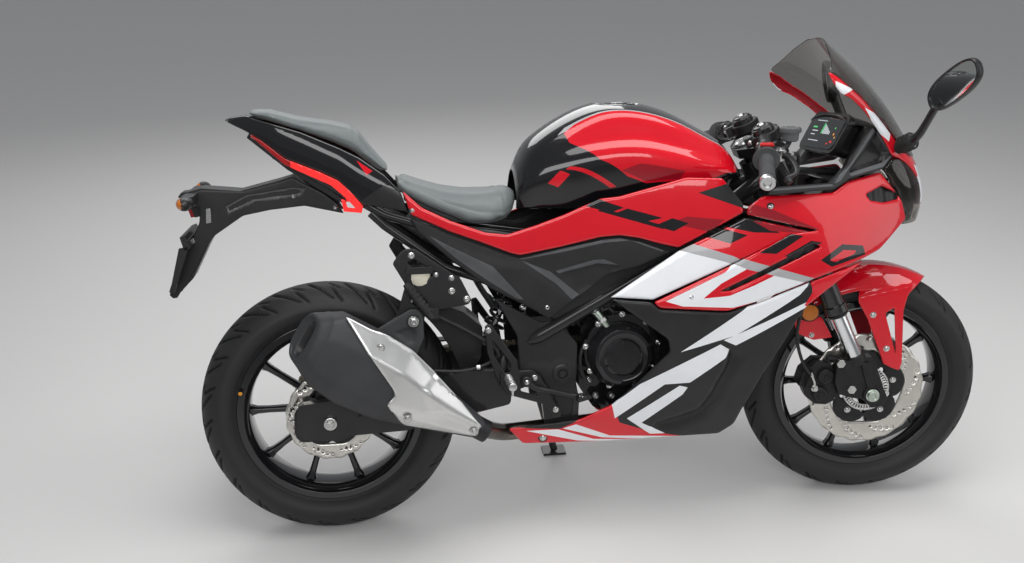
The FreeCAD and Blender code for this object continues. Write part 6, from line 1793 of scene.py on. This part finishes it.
# ---------------------------------------------------------------- engine
# Liquid-cooled twin: cast aluminium cases painted gloss black, round covers held by socket screws,
# rubber water hoses to the radiator, a plated filler neck and a breather hose.
engine_black = surface("engine_enamel", (0.008, 0.008, 0.009), (0.014, 0.014, 0.015), (0.16, 0.28),
                       mottle=30, grain=900, height=0.00004, coat=0.7)
hose_rubber = surface("hose_rubber", (0.013, 0.013, 0.013), (0.022, 0.022, 0.021), (0.38, 0.52), mottle=30,
                      grain=1300, height=0.00008)
fin_alloy = surface("radiator_fins", (0.05, 0.05, 0.052), (0.10, 0.10, 0.10), (0.4, 0.55), metal=0.7,
                    mottle=30, grain=1200, height=0.0012, streak=(0.2, 0.2, 6))
for name in ("crankcase", "cylinder_head"):
    nodes[name].data.materials[0] = engine_black
nodes["radiator"].data.materials[0] = fin_alloy


def repeated(name, body, finish, unit, track, count, every=1, first=0):
    """Copies of a small part at even steps round a closed line, made one mesh by Geometry Nodes."""
    template = bpy.data.objects.new(name + "_one", unit)
    line = bpy.data.meshes.new(name)
    line.from_pydata(track, [(i, (i + 1) % len(track)) for i in range(len(track))], [])
    carrier = bpy.data.objects.new(name, line)
    for thing in (template, carrier):
        bpy.context.scene.collection.objects.link(thing)
    tree = bpy.data.node_groups.new(name, "GeometryNodeTree")
    values = {"Copies": ("Int", count), "Every": ("Int", every), "First": ("Int", first),
              "Part": ("Object", template), "Finish": ("Material", finish)}
    tree.interface.new_socket(name="Geometry", in_out="INPUT", socket_type="NodeSocketGeometry")
    sockets = {title: tree.interface.new_socket(name=title, in_out="INPUT",
                                                socket_type="NodeSocket" + kind).identifier
               for title, (kind, _) in values.items()}
    tree.interface.new_socket(name="Geometry", in_out="OUTPUT", socket_type="NodeSocketGeometry")

    def step(kind, *settings, **inputs):
        """A node whose inputs are values, or (node, output) pairs to link."""
        node = tree.nodes.new(kind)
        for setting, value in settings:
            setattr(node, setting, value)
        for socket, value in inputs.items():
            socket = node.inputs[int(socket[1]) if socket in ("n0", "n1") else socket]
            if isinstance(value[0], bpy.types.Node):
                tree.links.new(value[0].outputs[value[1]], socket)
            else:
                socket.default_value = value[0] if len(value) == 1 else value
        return node

    enter = step("NodeGroupInput")
    curve = step("GeometryNodeMeshToCurve", Mesh=(enter, "Geometry"))
    even = step("GeometryNodeResampleCurve", ("mode", "COUNT"), Curve=(curve, "Curve"),
                Count=(enter, "Copies"))
    along = step("GeometryNodeInputTangent")
    turn = step("FunctionNodeAlignRotationToVector", ("axis", "X"), Vector=(along, "Tangent"))
    settle = step("FunctionNodeAlignRotationToVector", ("axis", "Y"), ("pivot_axis", "X"),
                  Rotation=(turn, "Rotation"), Vector=(0, 1, 0))
    order = step("GeometryNodeInputIndex")
    shift = step("ShaderNodeMath", ("operation", "ADD"), n0=(order, "Index"), n1=(enter, "First"))
    part = step("ShaderNodeMath", ("operation", "MODULO"), n0=(shift, 0), n1=(enter, "Every"))
    chosen = step("ShaderNodeMath", ("operation", "LESS_THAN"), n0=(part, 0), n1=(0.5,))
    source = step("GeometryNodeObjectInfo", Object=(enter, "Part"))
    copies = step("GeometryNodeInstanceOnPoints", Points=(even, "Curve"), Instance=(source, "Geometry"),
                  Selection=(chosen, 0), Rotation=(settle, "Rotation"))
    real = step("GeometryNodeRealizeInstances", Geometry=(copies, "Instances"))
    painted = step("GeometryNodeSetMaterial", Geometry=(real, "Geometry"), Material=(enter, "Finish"))
    step("NodeGroupOutput", Geometry=(painted, "Geometry"))
    maker = carrier.modifiers.new("copies", "NODES")
    maker.node_group = tree
    for title, (_, value) in values.items():
        maker[sockets[title]] = value
    ready = carrier.evaluated_get(bpy.context.evaluated_depsgraph_get())
    data = bpy.data.meshes.new_from_object(ready)
    carrier.modifiers.remove(maker)
    carrier.data = data
    bpy.data.objects.remove(template)
    data.transform(parked)
    data.shade_smooth()
    data.set_sharp_from_angle(angle=math.radians(35))
    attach(carrier, body)
    return carrier


def one_part(name, finish, fill):
    """A small part's mesh about its own middle, for repeating."""
    made = Piece(name, "chassis")
    fill(made)
    bmesh.ops.remove_doubles(made.mesh, verts=made.mesh.verts, dist=1e-3)
    bmesh.ops.recalc_face_normals(made.mesh, faces=made.mesh.faces)
    data = bpy.data.meshes.new(name)
    made.mesh.to_mesh(data)
    made.mesh.free()
    data.materials.append(finish)
    return data


def ring_line(centre, radius, y, count=36):
    """A circle of places in a plane across the machine."""
    turns = [math.tau * i / count for i in range(count)]
    return [(centre[0] + radius * math.sin(a), y, centre[1] + radius * math.cos(a)) for a in turns]


def case_screw(way):
    """A cap screw with a socket, its axis along Y."""
    return one_part("case_screw", bolt_steel, lambda made: made.turned(
        [(0, 0), (0, 7.4), (1.4, 7.4), (1.4, 5.2), (6.6, 5.2), (7.4, 4.4), (7.4, 2.8), (4.4, 2.6),
         (4.4, 0)], (0, 0, 0), (0, way, 0), steps=12))


# The clutch cover's edge is scalloped round its screws.
clutch_ring = [(712 + x, 446 + z) for x, z in polar(lambda a: 93 + 7 * max(0, math.cos(9 * a)) ** 6, 108)]
clutch = Piece("clutch_case", "chassis", engine_black, bolt_steel, zinc, hose_rubber)
clutch.slab(clutch_ring, -100.2, -112)
clutch.turned([(8, 0), (8, 84), (18, 83), (24, 80), (30, 74), (38, 71), (42, 68), (43, 60), (41.5, 57),
               (41.5, 47), (43, 45), (45, 42), (45, 0)], (708, -100, 438), (0, -1, 0), steps=72)
clutch.slab([(650, 470), (664, 486), (684, 478), (690, 440), (672, 424), (648, 438)], -112, -128)
clutch.turned([(10, 0), (10, 19), (30, 18), (32, 16), (32, 0)], (656, -100, 455), (0, -1, 0), steps=32)
clutch.turned([(32, 0), (32, 12), (37, 11.4), (37, 0)], (656, -100, 455), (0, -1, 0), steps=6)
clutch.bar((34, 3, 7), (735, -143.4, 436), None, 0)
for angle in range(0, 360, 60):
    a = math.radians(angle)
    clutch.turned([(38, 0), (38, 5), (45.5, 4.6), (45.5, 0)],
                  (708 + 34 * math.sin(a), -100, 438 + 34 * math.cos(a)), (0, -1, 0), steps=12, finish=0)
clutch.pipe([(648, -104, 548), (660, -110, 532), (674, -114, 512), (684, -112, 496)], (12, 10, 9, 9),
            steps=20, finish=2)
clutch.collar(9, 14, -4, 4, (664, -111, 526), Vector((0.5, -0.2, -0.85)), steps=6, finish=1)
clutch.pipe([(820, -104, 500), (846, -108, 512), (868, -104, 530), (880, -96, 566)], 12, steps=18, finish=3,
            smooth=4)
clutch.pipe([(626, -104, 476), (610, -106, 440), (612, -106, 400), (628, -104, 366)], 5, steps=12, finish=3,
            smooth=4)
for x, z in ((850, 500), (868, 478), (880, 452), (846, 380), (824, 352), (650, 330), (632, 372),
             (690, 328)):
    bolt(clutch, (x, -100, z), (0, -1, 0), 7)
    clutch.turned([(-2, 0), (-2, 12), (0, 11), (0, 0)], (x, -100, z), (0, -1, 0), steps=20)
clutch.done("clutch_cover", bevel=1.4)
repeated("clutch_screws", "chassis", bolt_steel, case_screw(-1), ring_line((712, 446), 92, -112), 9)

generator = Piece("left_cases", "chassis", engine_black, bolt_steel)
generator.turned([(0.2, 0), (0.2, 84), (9, 84), (11, 80), (18, 77), (27, 68), (33, 54), (36, 40), (36, 30),
                  (33, 28), (33, 0)],
                 (792, 100, 430), (0, 1, 0), steps=72)
generator.slab([(594, 456), (592, 372), (628, 344), (684, 356), (690, 442), (652, 472)], 101.5, 112)
generator.turned([(9, 0), (9, 22), (15, 20), (15, 0)], (640, 103, 404), (0, 1, 0), steps=36)
for x, z in ((606, 446), (606, 382), (634, 360), (672, 370), (674, 434), (650, 456)):
    bolt(generator, (x, 112, z), (0, 1, 0), 6)
generator.done("left_engine_covers", bevel=1.6)
repeated("generator_screws", "chassis", bolt_steel, case_screw(1), ring_line((792, 430), 80, 108.5), 8)

plumbing = Piece("engine_plumbing", "chassis", hose_rubber, bolt_steel, satin_black, engine_black)
plumbing.pipe([(880, -66, 560), (912, -92, 590), (948, -104, 628), (990, -112, 660)], 14, steps=20,
              smooth=5)
plumbing.pipe([(850, 84, 470), (905, 104, 450), (960, 112, 460), (990, 116, 480)], 13, steps=20, smooth=5)
for centre, axis in (((892, -76, 570), (0.7, -0.5, 0.6)), ((978, -110, 652), (0.8, -0.2, 0.6)),
                     ((866, 88, 464), (0.9, 0.3, -0.3))):
    plumbing.collar(13, 15.6, -5, 5, centre, Vector(axis), steps=28, finish=1)
for x, y in ((786, -48), (786, 48)):
    plumbing.turned([(0, 0), (0, 15), (16, 14), (20, 11), (20, 0)], (870, y, 708), Vector((0.53, 0, 0.85)),
                    steps=24, finish=2)
for i in range(4):
    plumbing.bar((3, 150, 3), Vector((798, 0, 584)) + Vector((0.53, 0, 0.85)) * (66 + 20 * i)
                 + Vector((0.85, 0, -0.53)) * 82, None, 3)
plumbing.done(bevel=0)

# ---------------------------------------------------------------- frame, swinging arm and shock
# Steel-tube frame and seat rails in satin black paint, a pressed swinging arm with chain adjusters,
# one spring-and-damper unit in the middle, and a textured plastic guard over each pivot plate.
frame_paint = surface("frame_paint", (0.013, 0.013, 0.014), (0.022, 0.022, 0.023), (0.26, 0.4), mottle=12,
                      grain=900, height=0.00006, coat=0.5)
for name in ("main_frame", "subframe", "swingarm", "side_stand"):
    nodes[name].data.materials[0] = frame_paint
nodes["front_axle"].data.materials[0] = zinc
nodes["rear_axle"].data.materials[0] = bolt_steel


# The guard has a shallow dish down its rear half, and a step round the pivot.
guard_dish = pressed([(418, 572), (512, 520), (524, 470), (540, 418), (470, 420), (462, 500)], -3, 12)
for side, foot in ((-1, [(586, 292), (557, 290), (536, 352)]), (1, [(592, 352), (536, 352)])):
    panel("pivot_guard", "chassis", beside(121.4),
          [(390, 601), (512, 530), (528, 534), (560, 520), (600, 474), (598, 400)] + foot
          + [(505, 404), (457, 411), (452, 500), (404, 588)], (matt_black,), sides=(side,), fold=4,
          corner=6, step=8, wall=2.4, relief=lambda x, z: guard_dish(x, z) + 3
          * np.clip(1 - (np.hypot(x - 561, z - 401) - 30) / 6, 0, 1))
fittings = Piece("frame_fittings", "chassis", frame_paint, bolt_steel, satin_black)
for side in (-1, 1):
    fittings.turned([(0, 0), (0, 25), (3, 26), (8, 24), (10, 20), (10, 13), (6, 12), (6, 0)],
                    (561, side * 118, 401), (0, side, 0), steps=40, finish=2)
    fittings.turned([(6, 0), (6, 9), (10.5, 8.6), (10.5, 0)], (561, side * 118, 401), (0, side, 0), steps=6,
                    finish=2)
    bolt(fittings, (470, side * 104, 566), (0, side, 0), 8)
    fittings.turned([(-60, 18), (-60, 18.6), (0, 18.6), (20, 16), (40, 9), (52, 0)], (515, side * 113, 500),
                    (-300, side * -9, -168), steps=28)
    for x, y, z in ((700, 118, 604), (640, 117, 572)):
        fittings.rod(10, 0, 16, (x, side * (y - 8), z - 14), (0, side, 0), steps=20)
        bolt(fittings, (x, side * (y + 8), z - 14), (0, side, 0), 7)
fittings.done(bevel=0.8)


def arm_swell(x, z):
    """The arm's end swells to an oval round the axle."""
    oval = np.clip(1.5 - np.hypot((x - 6) / 58, (z - 314) / 27), 0, 0.5)
    dish = np.clip(1.4 - np.hypot((x - 2) / 30, (z - 314) / 20), 0, 0.4)
    return 10 * oval - 3 * dish


panel("arm_end", "chassis", beside(126.6),
      [(-78, 352), (-83, 338), (-84, 282), (-70, 267), (-20, 268), (22, 264), (72, 290), (164, 290),
       (162, 352), (60, 360), (20, 356)],
      (satin_black,), fold=4, corner=8, step=8, wall=2.4, relief=arm_swell)
arm_bits = Piece("arm_fittings", "chassis", satin_black, zinc, bolt_steel, hose_rubber)
for side in (-1, 1):
    hub = (0, side * 126, 315)
    arm_bits.collar(9, 19, 3, 5.6, hub, (0, side, 0), steps=36, finish=2)
    arm_bits.turned([(5, 0), (5, 15.6), (7, 16), (15, 16), (16.4, 14.6), (16.4, 9.4), (14, 9), (14, 0)],
                    hub, (0, side, 0), steps=6 if side > 0 else 40, finish=2)
    arm_bits.bar((16, 3.2, 12), (-2, side * 145, 315), None, 2)
    arm_bits.bar((14, 24, 44), (-78, side * 113, 314), None, 0, 0.9)
    arm_bits.turned([(-96, 0), (-96, 5), (-90, 5), (-90, 7.6), (-84, 7.6), (-84, 0)], (0, side * 113, 316),
                    (1, 0, 0), steps=6, finish=2)
arm_bits.pipe([(104, -96, 432), (150, -124, 436), (240, -128, 428), (330, -128, 424), (400, -124, 450),
               (404, -122, 500)], 4.4, steps=12,
              finish=3, smooth=6)
for x, z in ((206, 424), (356, 430)):
    arm_bits.collar(4, 7.5, -5, 5, (x, -128, z), (1, 0, 0), steps=16, finish=2)
arm_bits.done(bevel=1.0)

SHOCK_FOOT, SHOCK_TOP = Vector((398, 0, 470)), Vector((508, 0, 690))
shock_run = (SHOCK_TOP - SHOCK_FOOT).normalized()
spring_paint = surface("spring_paint", (0.016, 0.016, 0.017), (0.026, 0.026, 0.027), (0.2, 0.32), mottle=30,
                       grain=900, height=0.00004, coat=0.6)
shock = Piece("spring_unit", "chassis", spring_paint, bolt_steel, satin_black, chrome)
side_a = shock_run.cross(Vector((0, 1, 0)))
coil = []
for i in range(6 * 20 + 1):
    angle = math.tau * i / 20
    coil.append(SHOCK_FOOT + shock_run * (38 + 144 * i / 120) + side_a * 22.4 * math.cos(angle)
                + Vector((0, 22.4 * math.sin(angle), 0)))
shock.pipe(coil, 4.6, steps=10)
shock.turned([(4, 0), (4, 15), (30, 16), (32, 27), (36, 27.5), (37, 20), (37, 0)], SHOCK_FOOT, shock_run,
             steps=32, finish=2)
shock.rod(8, 37, 140, SHOCK_FOOT, shock_run, steps=20, finish=3)
shock.turned([(120, 0), (120, 17), (186, 17), (187, 26), (190, 27.5), (200, 27.5), (202, 24), (214, 22),
              (216, 15), (236, 14), (236, 0)],
             SHOCK_FOOT, shock_run, steps=32, finish=2)
shock.rod(13, -15, 15, SHOCK_FOOT + shock_run * 8, (0, 1, 0), steps=24, finish=1)
shock.done("rear_shock")

# ---------------------------------------------------------------- pegs, hangers and pedals
# Cast aluminium brackets in black: open rearset plates with turned pegs, thin passenger hangers
# with folded rubber pegs, the silencer's rubber-bushed bracket, pedals, and the rear brake's pot.
panel("rearset_plate", "chassis", beside(146),
      [(372, 536), (386, 540), (447, 447), (451, 421), (482, 421), (500, 408), (556, 306), (548, 297),
       (536, 298), (508, 334), (424, 362), (405, 388), (394, 416), (376, 470)],
      (satin_black,), holes=[[(390, 500), (432, 440), (430, 418), (419, 416), (393, 462)],
                             [(458, 398), (478, 399), (500, 354), (455, 370)]],
      fold=3.5, corner=5, step=6, wall=8, replaced=("rearset",))
pegs = Piece("rider_pegs", "chassis", satin_black, turned_alloy, foot_rubber, bolt_steel)
for side in (-1, 1):
    out = (0, side, 0)
    pegs.turned([(0, 0), (0, 9), (4, 11), (8, 9.4)]
                + [(12 + 6 * i + k, 10.8 if k in (1, 4) else 9.6) for i in range(11) for k in (0, 1, 4, 5)]
                + [(80, 10.8), (84, 9.6), (85, 7), (85, 0)], (424, side * 146, 408), out, steps=24,
                finish=1)
    pegs.bar((30, 22, 26), (420, side * 149, 402), None, 0, 0.86)
    pegs.pipe([(424, side * 222, 398), (424, side * 222, 384)], (4, 2.6), steps=10, finish=1)
    for x, z in ((489, 401), (540, 318), (380, 524)):
        bolt(pegs, (x, side * 146, z), out, 7.4, 3)
    pegs.rod(9.6, -28, 0, (489, side * 138, 401), out, steps=20)
    pegs.rod(9.6, -28, 0, (540, side * 138, 318), out, steps=20)
    pegs.pipe([(468, side * 154, 396), (492, side * 156, 378), (530, side * 157, 368),
               (572, side * 157, 356), (600, side * 158, 352)],
              (9, 7, 6, 6, 6), steps=14, smooth=4, squash=0.8)
    pegs.turned([(-4, 0), (-4, 13), (8, 13), (10, 11), (10, 0)], (468, side * 152, 396), out, steps=28)
    bolt(pegs, (468, side * 162, 396), out, 6, 3)
    if side < 0:
        pegs.bar((34, 32, 10), (602, -170, 354), Matrix.Rotation(math.radians(-14), 3, "Y"), 0, 0.92)
        for i in range(4):
            pegs.bar((3, 30, 3), (591 + 7 * i, -170, 360.5 - 1.7 * i),
                     Matrix.Rotation(math.radians(-14), 3, "Y"), 1)
    else:
        pegs.turned([(-4, 0), (-4, 6), (0, 8)] + [(2 + 5 * i + k, 8.4 if k == 1 else 7.4) for i in range(5)
                                                  for k in (0, 1, 3)] + [(28, 6), (28, 0)],
                    (600, 158, 352), out, steps=20, finish=2)
        pegs.pipe([(540, 152, 366), (556, 148, 400), (588, 140, 424)], 4, steps=10, finish=3)
pegs.done("foot_levers", bevel=1.0)

for side in (-1, 1):
    rear_web = [(229, 514), (210, 468), (150, 520), (120, 537), (168, 566)] if side < 0 else [(216, 548)]
    panel("passenger_hanger", "chassis", beside(125.5),
          [(176, 712), (190, 724), (214, 724), (320, 648), (345, 594), (336, 584), (254, 574), (232, 560)]
          + rear_web + [(190, 640), (162, 690)], (satin_black,), sides=(side,), fold=3, corner=6, step=6,
          wall=7, holes=[[(196, 692), (212, 700), (262, 664), (238, 646)],
                         [(206, 622), (240, 596), (226, 580), (200, 596)]],
          replaced=("pillion_peg_hangers",) if side < 0 else ())
bracket_grey = surface("bracket_grey", (0.042, 0.043, 0.045), (0.058, 0.059, 0.061), (0.42, 0.56),
                       mottle=20, grain=1300, height=0.0001)
panel("silencer_bracket", "chassis", beside(135),
      [(112, 534), (198, 582), (216, 583), (229, 568), (229, 510), (206, 462), (150, 500)], (bracket_grey,),
      sides=(-1,), fold=4, corner=8, step=6, wall=5,
      relief=pressed([(160, 528), (196, 540), (212, 528), (206, 500), (188, 498)], -4, 4))
back_pegs = Piece("passenger_pegs", "chassis", satin_black, foot_rubber, bolt_steel, turned_alloy)
for side in (-1, 1):
    start, stop = Vector((190, side * 138, 644)), Vector((250, side * 138, 560))
    back_pegs.pipe([start, start.lerp(stop, 0.2), start.lerp(stop, 0.8), stop], (8, 11, 11, 9), steps=12,
                   finish=1, squash=0.8)
    for i in range(7):
        spot = start.lerp(stop, 0.14 + 0.11 * i)
        back_pegs.collar(8, 12.4, -2, 2, spot, (stop - start).normalized(), steps=12, finish=1)
    back_pegs.bar((22, 20, 24), (254, side * 134, 570), None, 0, 0.9)
    for x, z in ((298, 619), (333, 598), (206, 708)):
        bolt(back_pegs, (x, side * 125.5, z), (0, side, 0), 8, 2)
    back_pegs.rod(9, -22, 0, (298, side * 119, 650), (0, side, 0), steps=20)
    bolt(back_pegs, (298, side * 125, 650), (0, side, 0), 7, 2)
back_pegs.rod(16, -6, 3, (205, -135, 553), (0, -1, 0), steps=32, finish=1)
back_pegs.rod(13, 3, 5, (205, -135, 553), (0, -1, 0), steps=32, finish=2)
back_pegs.turned([(5, 0), (5, 9), (12, 9), (13, 7.6), (13, 4), (9, 4), (9, 0)], (205, -135, 553),
                 (0, -1, 0), steps=6, finish=2)
back_pegs.done(bevel=0.8)
fluid_plastic = surface("fluid_pot_plastic", (0.56, 0.53, 0.42), (0.66, 0.63, 0.53), (0.3, 0.42), mottle=20,
                        grain=900, height=0.00004)
pot = Piece("rear_brake_pot", "chassis", fluid_plastic, satin_black, hose_rubber, bolt_steel)
rings = []
for z, x, half, deep in ((664, 224, 27, 16), (652, 223, 27, 16), (640, 224, 25, 15), (630, 224, 16, 12),
                         (624, 224, 9, 8), (614, 224, 6, 6)):
    rings.append([])
    for step in range(20):
        along, across = squared(math.tau * step / 20, 3)
        rings[-1].append((x + half * along, -112 + deep * across, z))
pot.loft(rings, capped=True)
pot.slab([(192, 676), (196, 680), (252, 680), (256, 676), (256, 664), (192, 664)], -94, -130, 1)
pot.pipe([(224, -112, 618), (230, -112, 596), (262, -114, 560), (330, -116, 520), (392, -122, 480),
          (408, -126, 452)], 5.4, steps=12, finish=2,
         smooth=6)
pot.turned([(-30, 0), (-30, 11), (18, 12), (24, 9), (30, 9), (30, 0)], (414, -128, 430),
           Vector((0.2, 0, 1)), steps=24, finish=1)
pot.rod(4, -44, -30, (414, -128, 430), Vector((0.2, 0, 1)), steps=12, finish=3)
bolt(pot, (262, -128, 660), (0, -1, 0), 6, 3)
pot.done(bevel=0.8)

# ---------------------------------------------------------------- chain and sprockets
# Roller chain of 106 plated links: peened figure-eight plates, outer and inner by turns, on a
# hardened steel sprocket with five bolts.
chain_steel = surface("plated_chain_steel", (0.30, 0.27, 0.20), (0.40, 0.37, 0.29), (0.22, 0.36), metal=1.0,
                      mottle=60, grain=2000, height=0.00002)
sprocket_steel = surface("hardened_steel", (0.20, 0.20, 0.20), (0.29, 0.29, 0.28), (0.26, 0.4), metal=1.0,
                         mottle=50, grain=1800, height=0.00003)
FRONT_SPROCKET, CHAIN_Y, PITCH = Vector((636, 0, 400)), 90, 15.78


def chain_line():
    """The chain's closed line: two arcs round the sprockets and the two runs that touch them."""
    apart = math.hypot(FRONT_SPROCKET.x, FRONT_SPROCKET.z - 315)
    along, opening = math.atan2(FRONT_SPROCKET.z - 315, FRONT_SPROCKET.x), math.acos((88 - 34) / apart)
    turn = [along + opening + (math.tau - 2 * opening) * i / 40 for i in range(41)]
    line = [(88 * math.cos(a), CHAIN_Y, 315 + 88 * math.sin(a)) for a in turn]
    turn = [along - opening + 2 * opening * i / 24 for i in range(25)]
    return line + [(636 + 34 * math.cos(a), CHAIN_Y, 400 + 34 * math.sin(a)) for a in turn]


def link_plates(inner):
    """One link about its own middle: two waisted plates and its rollers or its pins."""
    def fill(made):
        """The link's plates, then its rollers or pins."""
        shape = []
        for end in (1, -1):
            for i in range(7):
                a = math.radians(-90 + 30 * i)
                shape.append((end * (PITCH / 2 + 6.4 * math.cos(a)), end * 6.4 * math.sin(a)))
            shape.append((0, end * 4.6))
        near, far = (3.8, 5.2) if inner else (5.5, 7.2)
        for side in (-1, 1):
            made.slab(shape, side * near, side * far)
        for end in (-PITCH / 2, PITCH / 2):
            reach, radius = (3.9, 4.8) if inner else (8.4, 2.4)
            made.turned([(-reach, 0), (-reach, radius), (reach, radius), (reach, 0)], (end, 0, 0), steps=8,
                        closed=False)
    return one_part("inner_link" if inner else "outer_link", chain_steel, fill)


route = chain_line()
repeated("chain_inner_links", "chassis", chain_steel, link_plates(True), route, 106, every=2)
outer_links = repeated("chain_outer_links", "chassis", chain_steel, link_plates(False), route, 106, every=2,
                       first=1)
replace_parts(outer_links, "drive_chain")
nodes["rear_sprocket"].data.materials[0] = sprocket_steel
carrier_nuts = one_part("sprocket_nut", zinc,
                        lambda made: made.turned([(0, 0), (0, 9), (1.5, 9), (1.5, 7.4), (8, 7.4), (9, 6),
                                                  (9, 0)], (0, 0, 0),
                                                                        (0, 1, 0), steps=6))
repeated("sprocket_nuts", "rear_wheel", zinc, carrier_nuts, ring_line((0, 315), 54, 93.2, 60), 5)

# ---------------------------------------------------------------- number-plate hanger and rear indicators
# Moulded black plastic hanger on a steel strip, with a clear lamp over the blank plate carrier, a
# red reflector, spring-steel clips and an amber indicator on a rubber stalk each side.
nodes["plate_hanger"].data.materials[0] = satin_black
# A reddish grey lighter than the hanger's black: painted reflection.
painted_reflection_grey = surface("hanger_painted_reflection_grey", (0.060, 0.056, 0.056), (0.084, 0.079, 0.079), (0.3, 0.42),
                      mottle=14, grain=1500, height=0.00006, coat=0.2)
# One long band is sunken along the hanger's side; its lighter, reddish grey is a painted reflection of the
# red tail.
hanger_band = [(-212, 812), (-216, 828), (-168, 852), (-60, 866), (-30, 862), (-44, 848), (-150, 838)]
panel("hanger_side", "chassis", beside(37.5),
      [(56, 800), (-36, 822), (-117, 815), (-179, 804), (-250, 758), (-289, 698), (-345, 614), (-356, 616),
       (-330, 706), (-302, 750), (-280, 792), (-276, 828), (-300, 842), (-322, 856), (-270, 868),
       (-178, 861), (-84, 882), (-60, 890), (10, 850), (44, 822)],
      (satin_black, painted_reflection_grey), fold=3, corner=5, step=7, wall=3, relief=pressed(hanger_band, -4, 5),
      painted=[(1, hanger_band)])
clear_lens = surface("clear_lamp_lens", (0.72, 0.73, 0.74), (0.80, 0.81, 0.82), (0.06, 0.12), mottle=60,
                     grain=900, height=0.0004, coat=1.0)
bits = Piece("hanger_fittings", "chassis", satin_black, clear_lens, red_lens, bolt_steel, zinc)
bits.slab([(-326, 852), (-318, 862), (-262, 868), (-256, 856), (-276, 846), (-316, 846)], -24, 24)
bits.slab([(-312, 845), (-300, 838), (-284, 838), (-278, 846)], -16, 16, 1)
bits.slab([(-300, 828), (-278, 830), (-272, 806), (-292, 802)], -20, 20)
bits.slab([(-309, 829), (-299, 830), (-291, 803), (-301, 802)], -17, 17, 2)
for side in (-1, 1):
    bits.slab([(-262, 824), (-252, 824), (-252, 792), (-264, 790)], side * 38, side * 41, 3)
    bits.slab([(-318, 752), (-296, 756), (-292, 746), (-314, 742)], side * 30, side * 44, 3)
    bits.slab([(-322, 742), (-300, 746), (-340, 640), (-350, 640)], side * 86, side * 95)
    bolt(bits, (-60, side * 40, 846), (0, side, 0), 5, 3)
    bolt(bits, (36, side * 40, 816), (0, side, 0), 5, 3)
bits.slab([(-318, 768), (-306, 772), (-296, 742), (-310, 736)], -95, 95)
bits.done(bevel=1.0)
stalk_rubber = surface("stalk_rubber", (0.016, 0.016, 0.016), (0.026, 0.026, 0.026), (0.5, 0.7), grain=1100,
                       height=0.0002)
for side, word in ((-1, "right"), (1, "left")):
    flasher = Piece("indicator_" + word, "chassis", satin_black, amber_lens, stalk_rubber)
    flasher.turned([(0, 0), (0, 10), (3, 11), (5, 9), (9, 9.4), (11, 8), (15, 8.4), (17, 7), (20, 7),
                    (20, 0)], (-292, side * 115, 852),
                   (0, side, 0), steps=28, finish=2)
    rings = []
    for out, wide, tall in ((18, 7, 6), (20, 13, 11), (26, 17.5, 15), (44, 18.5, 15.5), (60, 15, 13),
                            (70, 9, 8), (74, 3, 3)):
        turns = [math.tau * i / 32 for i in range(32)]
        rings.append([(-291 + wide * math.cos(a), side * (115 + out), 852 + tall * math.sin(a))
                      for a in turns])
    flasher.loft([ring[22:] + ring[:11] for ring in rings], closed=False)
    flasher.loft([ring[10:23] for ring in rings], 1, closed=False)
    for ring in (rings[0], rings[-1]):
        flasher.add(ring, [tuple(range(len(ring)))])
    flasher.done(*(("rear_indicators",) if side < 0 else ()))
